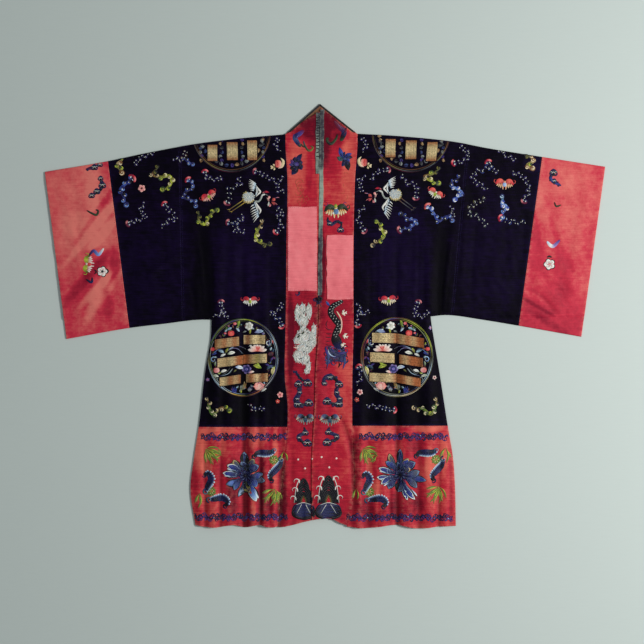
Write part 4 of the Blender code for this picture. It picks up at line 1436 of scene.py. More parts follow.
@dataclass
class Sleeves:
    """Sleeves and cuff bands: tubes that lie flat, open at both ends."""

    room: Workroom
    cell: float = 0.0044
    back_cell: float = 0.030
    fold_points: int = 7
    inset: float = (LAYER + WALL) / 2

    def ring_shares(self, width: float) -> tuple[Array, Array, Array]:
        """Where the points of one ring are.

        Args:
            width: the sleeve's flat width.

        Returns:
            For each point its distance from the low edge, the turn of a fold from 0 to
            pi, and whether it is on the upper side.
        """
        back = np.linspace(self.inset, width - self.inset, round(width / self.back_cell) + 1)
        front = np.linspace(width - self.inset, self.inset, round(width / self.cell) + 1)
        turn = np.linspace(0, np.pi, self.fold_points)[1:-1]
        away = np.concatenate((back, width + 0 * turn, front, 0 * turn))
        angle = np.concatenate((0 * back, turn, 0 * front + np.pi, turn[::-1]))
        upper = np.concatenate((0 * back, 0 * turn, 1 + 0 * front, 0 * turn)) > 0
        return away, angle, upper

    def tube(self, side: str, start: CrossLine, end: CrossLine, gaps: Pair) -> Body:
        """One tube between two lines across the sleeve.

        Args:
            side: left or right.
            start: the inner line.
            end: the outer line.
            gaps: whether it stands back by half a gap at its start and its end.

        Returns:
            The tube.
        """
        length = abs(end.low_x - start.low_x)
        lines = edge_shares(length, self.cell)
        trim = SIDES[side] * GAP / 2
        low_x = lerp(start.low_x + trim * gaps[0], end.low_x - trim * gaps[1], lines)
        high_x = lerp(start.high_x + trim * gaps[0], end.high_x - trim * gaps[1], lines)
        low = np.stack((low_x, PLAN.sleeve_low[side](low_x)), -1)[:, None]
        high = np.stack((high_x, PLAN.top_edge(high_x)), -1)[:, None]
        width = float(np.linalg.norm(high - low, axis=2).mean())
        away, angle, upper = self.ring_shares(width)
        inset, faces = self.inset, []
        for depth in (0.0, WALL):
            bend = (inset - depth) * np.sin(angle)
            reach = np.where(away >= width, width - inset + bend, np.where(away <= 0, inset - bend, away))
            place = low + (high - low) * (reach / width)[None, :, None]
            x, y = place[..., 0], place[..., 1]
            top = PLAN.underside(x, y) + WALL
            faces.append(np.stack((x, y, top / 2 - (top / 2 - depth) * np.cos(angle)[None]), -1))
        return tube_body(*faces, lines, length, upper)

    def build(self) -> None:
        """Make both sleeves and both cuffs."""
        for side in SIDES:
            seam, cuff, end = PLAN.sleeve_seam[side], PLAN.cuff_seam[side], PLAN.cuff_end[side]
            self.room.add_cloth(f"sleeve_{side}", Slot.NAVY, self.tube(side, seam, cuff, (1, 1)))
            band = self.room.add_cloth(f"cuff_{side}", Slot.CORAL, self.tube(side, cuff, end, (1, 0)))
            band.data.materials[0] = self.room.cuff_silk


@dataclass
class Covers:
    """Where trim lies over the panels, so that nothing is sewn there."""

    boxes: list[tuple[Pair, Pair, float]] = field(default_factory=list)
    spare: float = 0.0012

    def add(self, start: Pair, end: Pair, half: float) -> None:
        """Keep a strip about a line clear."""
        self.boxes.append((start, end, half))

    def __call__(self, x: Array, y: Array) -> Array:
        """Say which places are covered.

        Args:
            x, y: places in the plan.

        Returns:
            True where trim lies.
        """
        hidden = np.zeros(np.shape(x), bool)
        for (x1, y1), (x2, y2), half in self.boxes:
            run, climb = x2 - x1, y2 - y1
            length = math.hypot(run, climb)
            along = ((x - x1) * run + (y - y1) * climb) / length
            across = np.abs(run * (y - y1) - climb * (x - x1)) / length
            within = (along > -self.spare) & (along < length + self.spare)
            hidden |= within & (across < half + self.spare)
        return hidden


@dataclass
class Neckband:
    """The band round the neck and down both fronts, with the facing and piping at its peak."""

    room: Workroom
    cell: float = 0.0038
    flat_cell: float = 0.006
    ribbon_cell: float = 0.0022
    band_width: float = 0.095
    hem_rows: float = 0.28
    neck_width: float = 0.2
    tip_inset: float = 0.0008
    piping_width: float = 0.0048
    ragged: float = 0.0011
    ribbon_width: float = 0.0115
    top_row: dict[str, float] = by_side(0.592, 0.602)
    patch_box: dict[str, tuple[float, float, float, float]] = by_side(
        (-0.1075, -0.0235, 0.073, 0.3165), (0.0050, 0.0815, 0.048, 0.2348)
    )
    ribbon_top: dict[str, float] = by_side(0.589, 0.598)
    ribbon_inset: dict[str, float] = by_side(0.0001, -0.0012)
    ribbon_end: dict[str, float] = by_side(0.412, 0.060)
    lowest_y: float = -0.6
    patch_ripple: float = 0.0002
    ribbon_ripple: float = 0.00025

    def half(self, side: str) -> Body:
        """One half of the band, from the collar's peak to the hem.

        Args:
            side: left or right.

        Returns:
            The half.
        """
        top, seam, lowest = self.top_row[side], PLAN.hem_seam[side], np.array(self.lowest_y)
        rows = joined_shares(edge_shares(top - seam, self.cell), edge_shares(self.hem_rows, self.cell))
        u, v = np.meshgrid(edge_shares(self.band_width, self.cell), rows)
        foot = PLAN.hem_edge(lerp(PLAN.inner(side, lowest), PLAN.outer(side, lowest), u))
        y = np.where(v <= 1, lerp(top, seam, v), lerp(seam, foot, np.clip(v - 1, 0, 1)))
        x = lerp(PLAN.inner(side, y), PLAN.outer(side, y) - SIDES[side] * GAP / 2, u)
        lap = PLAN.lap_lift(x, y) if side == "right" else 0.0
        return sheet_body(np.stack((x, y, PLAN.underside(x, y) + PLAN.neck_lift(y) + lap), -1), BAND_WALL)

    def triangle(self, foot: float, height: float, wall: float) -> Body:
        """The flat three-cornered sheet between a line across the neck and the collar's peak.

        Args:
            foot: where the line is.
            height: how high the sheet lies.
            wall: its thickness.

        Returns:
            The sheet.
        """
        tip = PLAN.peak_y - self.tip_inset
        cell = self.flat_cell
        u, v = np.meshgrid(edge_shares(self.neck_width, cell), edge_shares(tip - foot, cell))
        y = lerp(tip, foot, v)
        x = lerp(PLAN.peak_edge("left", y), PLAN.peak_edge("right", y), u)
        return sheet_body(np.stack((x, y, height + 0 * x), -1), wall)

    def piping(self, side: str) -> Body:
        """The rolled strip along one slanted side of the peak.

        Args:
            side: left or right.

        Returns:
            The strip.
        """
        foot = PLAN.facing_foot_y
        run = abs(float(PLAN.peak_edge(side, foot)) - PLAN.centre)
        slant = math.hypot(run, PLAN.peak_y - foot)
        u, v = np.meshgrid(np.linspace(0, 1, 9), np.linspace(0, 1, 40))
        outer_y = lerp(foot, PLAN.peak_y, v)
        outer_x = PLAN.peak_edge(side, outer_y)
        inner_y = lerp(foot, PLAN.peak_y - self.piping_width * slant / run, v)
        reach = SIDES[side] * self.piping_width * slant / (PLAN.peak_y - foot)
        middle = PLAN.centre + SIDES[side] * GAP / 2
        x = lerp(outer_x, lerp(outer_x[:1] - reach, PLAN.centre, v), u)
        x = np.maximum(x, middle) if side == "right" else np.minimum(x, middle)
        wall = TRIM_WALL * (0.15 + 0.85 * np.sqrt(np.clip(1 - (2 * u - 1) ** 2, 0, 1)))
        z = LAYER + FACING_WALL + GAP + 0 * x
        return sheet_body(np.stack((x, lerp(outer_y, inner_y, u), z), -1), wall)

    def patch(self, side: str) -> Body:
        """One pink patch, its edges turned under and the right one's a little uneven.

        Args:
            side: left or right.

        Returns:
            The patch.
        """
        x1, x2, y1, y2 = self.patch_box[side]
        u, v = np.meshgrid(edge_shares(x2 - x1, self.cell), edge_shares(y2 - y1, self.cell))
        x, y = lerp(x1, x2, u), lerp(y1, y2, v)
        if side == "right":
            x = x + self.ragged * wave(y, 0.0083, y, 0.021, 2) * (1 - u)
        y = y + 0.0007 * np.sin(x / 0.0101 + 1.0) * np.cos(np.pi * v)
        return self.on_band(side, x, y, self.patch_ripple)

    def on_band(self, side: str, x: Array, y: Array, ripple: float) -> Body:
        """A thin sheet that lies on one half of the band.

        Args:
            side: left or right.
            x, y: its grid in the plan.
            ripple: how unevenly it lies.

        Returns:
            The sheet.
        """
        z = self.room.height(f"neckband_{side}", x, y) + GAP
        z = z + ripple * (1 + wave(y, 0.0064, x, 0.012, 1.5))
        return sheet_body(np.stack((x, y, z), -1), TRIM_WALL)

    def ribbon(self, side: str, covers: Covers) -> Body:
        """One ribbon along the opening, its edges a little wavy.

        Args:
            side: left or right.
            covers: where to note that it lies.

        Returns:
            The ribbon.
        """
        top, end, width, sign = self.ribbon_top[side], self.ribbon_end[side], self.ribbon_width, SIDES[side]
        top_x, end_x = (float(PLAN.inner(side, np.array(y))) for y in (top, end))
        covers.add((top_x + sign * width / 2, top), (end_x + sign * width / 2, end), width / 2)
        u, v = np.meshgrid(edge_shares(width, self.ribbon_cell), edge_shares(top - end, self.cell))
        y = lerp(top, end, v)
        sway = 0.0007 * wave(y, 0.0137, y, 0.041, 1.2) + 0.0004 * np.sin(y / 0.0052)
        x = lerp(top_x, end_x, v) + sign * (width * u + self.ribbon_inset[side])
        return self.on_band(side, x + sway * u * sign, y, self.ribbon_ripple)

    def build(self, covers: Covers) -> Objects:
        """Make the band's pieces from the neck outwards.

        Args:
            covers: where to note what lies over the band.

        Returns:
            The two strips of piping.
        """
        room, pipings = self.room, []
        room.add_cloth("neckband_back", Slot.CORAL, self.triangle(PLAN.neck_seam_y, 0.0, WALL))
        facing = self.triangle(PLAN.facing_foot_y, LAYER, FACING_WALL)
        room.add_cloth("neck_facing", Slot.TAN, facing, "neckband_back")
        for side in SIDES:
            band = f"neckband_{side}"
            room.add_cloth(band, Slot.CORAL, self.half(side), f"back_{side}")
            room.add_cloth(f"pink_patch_{side}", Slot.PINK, self.patch(side), band)
            x1, x2, y1, y2 = self.patch_box[side]
            covers.add(((x1 + x2) / 2, y1), ((x1 + x2) / 2, y2), (x2 - x1) / 2)
            room.add_cloth(f"ribbon_{side}", Slot.SAGE, self.ribbon(side, covers), band)
            body = self.piping(side)
            mesh = make_mesh(f"piping_{side}", body.points, body.rings, room.silks[Slot.BLACK])
            pipings.append(put_in_scene(mesh))
            room.adopt(pipings[-1], Slot.BLACK, f"neck_piping_{side}")
        return pipings


THREADS = {
    "ink": (9, 7, 18), "navy": (26, 28, 84), "blue": (52, 72, 158), "slate": (58, 78, 122),
    "steel": (112, 136, 164), "sky": (112, 148, 210), "ice": (178, 208, 230), "white": (234, 234, 226),
    "cream": (228, 214, 178), "silver": (156, 164, 158), "grey": (84, 88, 92), "olive": (120, 114, 50),
    "lime": (182, 196, 64), "leaf": (96, 130, 52), "moss": (50, 66, 38), "teal": (40, 84, 90),
    "violet": (72, 52, 132), "lilac": (146, 126, 190), "plum": (98, 18, 52), "red": (196, 28, 52),
    "coral": (226, 98, 84), "rust": (166, 98, 58), "straw": (216, 198, 152), "pink": (232, 142, 144),
    "blush": (240, 196, 182), "gold": (190, 166, 122), "brown": (116, 76, 42), "amber": (214, 176, 76),
}


def thread(name: str) -> Array:
    """A thread's linear colour."""
    return np.array(linear(THREADS[name]))


def shades(names: str, share: Array) -> Array:
    """Colours along a band.

    Args:
        names: thread names from its root to its tip, with spaces between.
        share: places along it, from 0 to 1.

    Returns:
        The linear colour at each place.
    """
    stops = np.array([thread(name) for name in names.split()])
    at = np.linspace(0, 1, len(stops)) if len(stops) > 1 else np.array([0.5])
    return np.stack([np.interp(share, at, stops[:, k]) for k in range(3)], -1)


class Weight(Enum):
    """How the width of a band of stitches changes from its root to its tip."""

    EVEN = "even"
    LEAF = "leaf"
    PETAL = "petal"
    TAPER = "taper"
    DISC = "disc"
    HORN = "horn"

    def widths(self, share: Array) -> Array:
        """Width at each share of the band.

        Args:
            share: places from its root to its tip, from 0 to 1.

        Returns:
            The widths, 1 at its widest.
        """
        swell = np.clip(np.sin(np.pi * share), 0, 1)
        shape = {
            Weight.EVEN: np.minimum(1, 0.35 + 9 * np.minimum(share, 1 - share)),
            Weight.LEAF: swell**0.8,
            Weight.PETAL: np.clip(np.sin(np.pi * share**1.7), 0, 1) ** 0.75,
            Weight.HORN: 0.3 + 0.7 * swell**0.5,
            Weight.TAPER: np.minimum(1, 0.4 + 8 * share) * (1 - 0.88 * share**1.4),
            Weight.DISC: np.sqrt(np.clip(1 - (2 * share - 1) ** 2, 0, 1)),
        }[self]
        return np.maximum(shape, 0.06)


EVEN, LEAF, PETAL, TAPER, DISC, HORN = Weight


def smooth_path(points: Sequence[Pair], step: float) -> Array:
    """A smooth line through points.

    Args:
        points: at least two places.
        step: how far apart the line's own points are.

    Returns:
        The line's points.
    """
    known = np.array(points, float)
    padded = np.concatenate((2 * known[:1] - known[1:2], known, 2 * known[-1:] - known[-2:-1]))
    length = np.linalg.norm(np.diff(known, axis=0), axis=1).sum()
    at = np.linspace(0, len(known) - 1, max(5, int(length / step) + 2))
    k = np.minimum(at.astype(int), len(known) - 2)
    t = (at - k)[:, None]
    a, b, c, d = (padded[k + n] for n in range(4))
    return b + t / 2 * (c - a + t * (2 * a - 5 * b + 4 * c - d + t * (3 * (b - c) + d - a)))


def headings(line: Array) -> Array:
    """Which way a line goes at each of its points, in degrees."""
    slopes = np.gradient(line, axis=0)
    return np.degrees(np.arctan2(slopes[:, 1], slopes[:, 0]))


def run_along(path: Array) -> Array:
    """How far along a line each of its points is."""
    return np.concatenate(([0], np.cumsum(np.linalg.norm(np.diff(path, axis=0), axis=1))))


class Trees:
    """The geometry trees that lay bands and set stitches along lines."""

    def __init__(self) -> None:
        """Build both trees."""
        self.band = self.make_band()
        self.stitch = self.make_stitch()

    def start(self, name: str, **sizes: str | float) -> GroupDesk:
        """Start a tree with lines, sizes and a material as its inputs."""
        inputs = {"Lines": "Geometry", **sizes, "Material": "Material"}
        return GroupDesk("GeometryNodeTree", name, inputs, {"Sewn": "Geometry"})

    def finish(self, desk: GroupDesk, made: Socket) -> NodeTree:
        """End a tree in Realize Instances and Set Material.

        Args:
            desk: its desk.
            made: what its nodes make.

        Returns:
            The tree.
        """
        real = desk.add("GeometryNodeRealizeInstances", {0: made}).outputs[0]
        dress = {"Geometry": real, "Material": desk.given["Material"]}
        return desk.close(Sewn=desk.add("GeometryNodeSetMaterial", dress).outputs[0])

    def make_band(self) -> NodeTree:
        """Make a domed strip along each line, as wide as the line's half_width attribute.

        Returns:
            The tree.
        """
        desk = self.start("satin_band", Roundness=1.0)
        curve = desk.add("GeometryNodeMeshToCurve", {0: desk.given["Lines"]}).outputs[0]
        upright = desk.add("GeometryNodeSetCurveNormal", {0: curve}, mode="Z_UP").outputs[0]
        named = {"Name": "half_width"}
        width = desk.add("GeometryNodeInputNamedAttribute", named, data_type="FLOAT").outputs[0]
        half_turn = {"Resolution": 5, "Radius": 1.0, "Start Angle": 0.0, "Sweep Angle": math.pi}
        arc = desk.add("GeometryNodeCurveArc", half_turn).outputs[0]
        scale = desk.xyz(1.0, desk.math("MULTIPLY", desk.given["Roundness"], -1.0), 1.0)
        profile = desk.add("GeometryNodeTransform", {"Geometry": arc, "Scale": scale}).outputs[0]
        sweep = {"Curve": upright, "Profile Curve": profile, "Scale": width}
        return self.finish(desk, desk.add("GeometryNodeCurveToMesh", sweep).outputs[0])

    def uneven(self, desk: GroupDesk, low: object, high: object) -> Socket:
        """A random number for each stitch between two limits, in a float's own pair of sockets."""
        inputs = {2: low, 3: high, "Seed": desk.given["Seed"]}
        return desk.add("FunctionNodeRandomValue", inputs, data_type="FLOAT").outputs[1]

    def make_stitch(self) -> NodeTree:
        """Make a row of short stitches along each line, uneven in length and slant.

        Returns:
            The tree.
        """
        desk = self.start("stitch_row", Spacing=0.005, Length=0.0026, Width=0.0007, Slant=0.1, Seed="Int")
        given = desk.given
        curve = desk.add("GeometryNodeMeshToCurve", {0: given["Lines"]}).outputs[0]
        spaced = {"Curve": curve, "Length": given["Spacing"]}
        points = desk.add("GeometryNodeCurveToPoints", spaced, mode="LENGTH").outputs
        ball = desk.add("GeometryNodeMeshUVSphere", {"Segments": 6, "Rings": 4, "Radius": 0.5}).outputs[0]
        size = desk.xyz(given["Length"], given["Width"], given["Width"])
        stitch = desk.add("GeometryNodeTransform", {"Geometry": ball, "Scale": size}).outputs[0]
        tangent = {"Vector": points["Tangent"]}
        facing = desk.add("FunctionNodeAlignRotationToVector", tangent, axis="X").outputs[0]
        slant = self.uneven(desk, desk.math("MULTIPLY", given["Slant"], -1.0), given["Slant"])
        turn = {"Rotation": facing, "Rotate By": desk.xyz(0.0, 0.0, slant)}
        turned = desk.add("FunctionNodeRotateRotation", turn, rotation_space="LOCAL").outputs[0]
        spread = self.uneven(desk, 0.7, 1.2)
        placed = {"Points": points[0], "Instance": stitch, "Rotation": turned, "Scale": spread}
        return self.finish(desk, desk.add("GeometryNodeInstanceOnPoints", placed).outputs[0])


@dataclass
class Traces:
    """What each point of sewing carries: its half width, thread colour, layer and place along its line."""

    half_width: Array
    thread: Array
    layer: Array
    along: Array


@dataclass
class Sewn:
    """Points, faces and attributes of sewing, before it is laid on the cloth."""

    points: Array
    rings: list[Sequence[int]]
    traces: Traces

    @staticmethod
    def read(mesh: Mesh) -> "Sewn":
        """Take a mesh's arrays and remove the mesh.

        Args:
            mesh: what a tree has made.

        Returns:
            Its arrays, with its faces up.
        """
        count = len(mesh.vertices)
        points, thread = np.empty(count * 3), np.empty(count * 4)
        mesh.vertices.foreach_get("co", points)
        mesh.attributes["thread"].data.foreach_get("color", thread)
        values = {name: np.empty(count) for name in ("half_width", "layer", "along")}
        for name, value in values.items():
            mesh.attributes[name].data.foreach_get("value", value)
        turn = 1 if sum(face.normal.z for face in mesh.polygons) >= 0 else -1
        rings = [tuple(face.vertices)[::turn] for face in mesh.polygons]
        bpy.data.meshes.remove(mesh)
        return Sewn(points.reshape(-1, 3), rings, Traces(thread=thread.reshape(-1, 4)[:, :3], **values))

    def joined(self, other: "Sewn") -> "Sewn":
        """This sewing and another as one.

        Args:
            other: the sewing that comes after.

        Returns:
            Both.
        """
        rings = [tuple(k + len(self.points) for k in ring) for ring in other.rings]
        mine, others = vars(self.traces), vars(other.traces)
        both = {name: np.concatenate((mine[name], others[name])) for name in mine}
        return Sewn(np.concatenate((self.points, other.points)), self.rings + rings, Traces(**both))

    def show(self, name: str, material: Material) -> Piece:
        """Show it as a piece, with its colours.

        Args:
            name: the piece's name.
            material: its material.

        Returns:
            The piece.
        """
        mesh = make_mesh(name, self.points, self.rings, material)
        set_values(mesh, thread=self.traces.thread, along=self.traces.along)
        LOG.info("%s: %d faces", name, len(self.rings))
        return put_in_scene(mesh)


@dataclass
class Lines:
    """Loose lines in the plan for a geometry tree."""

    points: Array
    edges: Array
    traces: Traces

    def grow(self, tree: NodeTree, material: Material, **inputs: float) -> Sewn:
        """Run a tree over the lines.

        Args:
            tree: the tree.
            material: what the result is made of.
            inputs: values for the tree's named inputs.

        Returns:
            The points, faces and attributes of what it makes.
        """
        mesh = bpy.data.meshes.new("lines")
        flat = np.concatenate((self.points, np.zeros((len(self.points), 1))), 1)
        mesh.from_pydata(flat.tolist(), self.edges.tolist(), [])
        set_values(mesh, **vars(self.traces))
        carrier = put_in_scene(mesh)
        modifier = carrier.modifiers.new("sewing", "NODES")
        modifier.node_group = tree
        values = {"Material": material, **inputs}
        for item in tree.interface.items_tree:
            if item.name in values and item.in_out == "INPUT":
                modifier[item.identifier] = values[item.name]
        made = plain_mesh(carrier)
        bpy.data.meshes.remove(mesh)
        return Sewn.read(made)


def lines_of(rows: Sequence[tuple[Array, float, Array]]) -> Lines:
    """Gather plain lines for a geometry tree.

    Args:
        rows: each line's points in the plan, half width and colour, one or one a point.

    Returns:
        The lines together.
    """
    counts = [len(path) for path, width, colour in rows]
    first = np.arange(sum(counts) - 1)
    edges = np.delete(np.stack((first, first + 1), -1), np.cumsum(counts)[:-1] - 1, 0)
    half = np.concatenate([np.full(len(path), width) for path, width, colour in rows])
    colours = np.concatenate([np.broadcast_to(colour, (len(path), 3)) for path, width, colour in rows])
    along = np.concatenate([run_along(path) for path, width, colour in rows])
    points = np.concatenate([path for path, width, colour in rows])
    return Lines(points, edges, Traces(half, colours, 0 * half, along))


@dataclass(frozen=True)
class Bar:
    """A bar of couched gold thread about its middle line, with the colours along it."""

    name: str
    x1: float
    y1: float
    x2: float
    y2: float
    width: float
    zones: str

    @property
    def length(self) -> float:
        """Length of the middle line."""
        return math.hypot(self.x2 - self.x1, self.y2 - self.y1)

    def place(self, along: Array, across: Array) -> tuple[Array, Array]:
        """Places in the plan.

        Args:
            along: shares of the bar's length, from 0 to 1.
            across: shares of its width, from -0.5 to 0.5.

        Returns:
            Their x and y.
        """
        x, y = lerp(self.x1, self.x2, along), lerp(self.y1, self.y2, along)
        upright = abs(self.x2 - self.x1) < self.width / 2
        return (x + across * self.width, y) if upright else (x, y + across * self.width)


def bars(*rows: tuple) -> tuple[Bar, ...]:
    """Bars from rows of a name, x1, y1, x2, y2 and width in tenths of a mm, and threads."""
    return tuple(Bar(name, *(size / TENTH_MM for size in sizes), zones) for name, *sizes, zones in rows)


BARS = bars(
    ("left_1_outer", -3193, -816, -2485, -725, 265, "rust gold rust straw rust gold"),
    ("left_1_inner", -2361, -683, -1728, -679, 260, "straw rust straw straw gold straw"),
    ("left_2_outer", -3118, -1362, -2382, -1266, 260, "straw gold gold straw rust rust"),
    ("left_2_inner", -2374, -1256, -1682, -1219, 260, "rust rust gold olive straw straw"),
    ("left_3_outer", -3051, -1910, -2440, -1816, 250, "gold straw rust gold rust"),
    ("left_3_inner", -2290, -1802, -1650, -1773, 240, "gold rust straw rust gold"),
    ("right_1_inner", 1360, -622, 2074, -643, 280, "straw gold straw straw gold rust"),
    ("right_1_outer", 2082, -646, 2865, -786, 280, "rust gold rust gold rust rust"),
    ("right_2_inner", 1299, -1185, 2015, -1222, 275, "gold straw straw gold straw"),
    ("right_2_outer", 2146, -1241, 2825, -1349, 260, "rust gold rust rust brown"),
    ("right_3_inner", 1279, -1765, 2074, -1798, 250, "gold straw gold straw rust"),
    ("right_3_outer", 2082, -1802, 2770, -1929, 246, "rust rust gold rust rust"),
    ("shoulder_left_1", -3261, 4960, -3261, 4490, 276, "rust gold straw straw gold rust"),
    ("shoulder_left_2", -2690, 5040, -2680, 4517, 310, "rust gold straw straw gold rust"),
    ("shoulder_left_3", -2115, 5090, -2105, 4515, 276, "rust gold straw straw gold rust"),
    ("shoulder_right_1", 1902, 5130, 1890, 4600, 290, "rust gold straw straw gold rust"),
    ("shoulder_right_2", 2500, 5090, 2480, 4546, 310, "rust gold straw straw gold rust"),
    ("shoulder_right_3", 3120, 5040, 3070, 4490, 295, "rust gold straw straw gold rust"),
)


@dataclass
class GoldBars:
    """The medallions' bars: gold thread laid side by side on a padded bed and stitched down."""

    room: Workroom
    trees: Trees
    bed: float = 0.0006
    sink: float = 0.00006
    pitch: float = 0.0013
    cord_half: float = 0.00063
    cord_height: float = 0.00052
    couch_every: float = 0.0042
    couch_end: float = 0.47
    cord_end: float = 0.012
    cell: float = 0.004

    def cords(self, bar: Bar, number: int) -> Sewn:
        """The gold threads that run from end to end.

        Args:
            bar: the bar.
            number: its place in the row of bars, which sets how its threads vary.

        Returns:
            The threads, flat on z = 0.
        """
        count = round(bar.width / self.pitch)
        along = np.linspace(self.cord_end, 1 - self.cord_end, max(6, round(bar.length / self.cell)))
        rows = []
        for k in range(count):
            path = np.stack(bar.place(along, (k + 0.5) / count - 0.5 + 0 * along), -1)
            shift = 0.07 * math.sin(1.9 * k + number)
            light = 1 + 0.16 * np.sin(9 * along + 2.3 * k + number) + 0.1 * math.sin(5.1 * k)
            colour = shades(bar.zones, np.clip(along + shift, 0, 1)) * light[:, None]
            rows.append((path, self.cord_half, colour))
        sewn = lines_of(rows).grow(self.trees.band, self.room.gold_thread, Roundness=1.0)
        sewn.points[:, 2] *= self.cord_height / self.cord_half
        return sewn

    def couching(self, bar: Bar) -> Sewn:
        """Rows of small stitches over the gold threads, set like bricks.

        Args:
            bar: the bar.

        Returns:
            The stitches, on top of flat threads.
        """
        rows = []
        count = round(bar.length / self.couch_every)
        for k in range(count):
            start = -self.couch_end if k % 2 else -self.couch_end + self.pitch / bar.width
            across = np.linspace(start, self.couch_end, 8)
            path = np.stack(bar.place((k + 0.5) / count + 0 * across, across), -1)
            rows.append((path, 0.0, thread("brown")))
        sizes = {"Spacing": 2 * self.pitch, "Length": 0.0016, "Width": 0.0005, "Slant": 0.15}
        sewn = lines_of(rows).grow(self.trees.stitch, self.room.gold_thread, Seed=7, **sizes)
        sewn.points[:, 2] += self.cord_height
        return sewn

    def bed_of(self, bar: Bar, ground: str) -> Sewn:
        """The padded bed under the threads.

        Args:
            bar: the bar.
            ground: the node of the cloth that it lies on.

        Returns:
            The bed, on the cloth.
        """
        across = edge_shares(bar.width, self.cell) - 0.5
        along, across = np.meshgrid(edge_shares(bar.length, self.cell), across)
        x, y = bar.place(along, across)
        body = sheet_body(np.stack((x, y, self.room.height(ground, x, y) + GAP), -1), self.bed)
        brown, none = np.broadcast_to(thread("brown"), (len(body.points), 3)), np.zeros(len(body.points))
        return Sewn(body.points, body.rings, Traces(none, brown, none, body.points[:, 0]))

    def build(self, covers: Covers) -> dict[str, Objects]:
        """Make every bar.

        Args:
            covers: where to note that the bars lie.

        Returns:
            The bars on each front, by its node.
        """
        made = {"front_left": [], "front_right": []}
        for number, bar in enumerate(BARS):
            ground = "front_left" if "left" in bar.name else "front_right"
            top = self.cords(bar, number).joined(self.couching(bar))
            base = self.room.height(ground, top.points[:, 0], top.points[:, 1])
            top.points[:, 2] += base + GAP + self.bed - self.sink
            piece = self.bed_of(bar, ground).joined(top).show(f"gold_bar_{bar.name}", self.room.gold_thread)
            self.room.adopt(piece, Slot.GOLD, f"bar_{bar.name}")
            covers.add((bar.x1, bar.y1), (bar.x2, bar.y2), bar.width / 2)
            made[ground].append(piece)
        return made


@dataclass
class KnotButton:
    """The knotted cord button at the end of the long ribbon."""

    room: Workroom
    x: float = -0.0145
    y: float = 0.0500
    half: tuple[float, float, float] = (0.0078, 0.0068, 0.0042)
    cord: float = 0.0015
    clearance: float = 0.0008
    points: int = 96
    turns: int = 3
    lobes: int = 5
    waist: float = 0.62

    def build(self) -> None:
        """Wind the knot as one cord that weaves over and under itself."""
        turn = np.linspace(0, 2 * np.pi, self.points + 1)[:-1]
        reach = self.waist + (1 - self.waist) * np.cos(self.lobes * turn)
        round_it, weave = self.turns * turn, np.sin(self.lobes * turn + 0.6)
        wound = np.stack((reach * np.cos(round_it), reach * np.sin(round_it), weave), -1)
        path = wound * (np.array(self.half) - self.cord)
        seat = float(PLAN.underside(np.array([self.x]), np.array([self.y]))[0])
        path += (self.x, self.y, seat + BAND_WALL + self.clearance + self.half[2])
        data = bpy.data.curves.new("knot", "CURVE")
        data.dimensions = "3D"
        data.bevel_depth = self.cord
        data.bevel_resolution = 2
        spline = data.splines.new("POLY")
        spline.points.add(len(path) - 1)
        spline.points.foreach_set("co", np.column_stack((path, np.ones(len(path)))).ravel())
        spline.use_cyclic_u = True
        mesh = plain_mesh(put_in_scene(data))
        mesh.name = "knot_of_cord"
        mesh.materials.clear()
        mesh.materials.append(self.room.silks[Slot.BLACK])
        mesh.shade_smooth()
        self.room.adopt(put_in_scene(mesh), Slot.BLACK, "knot_button")
        LOG.info("knot_of_cord: %d faces", len(mesh.polygons))


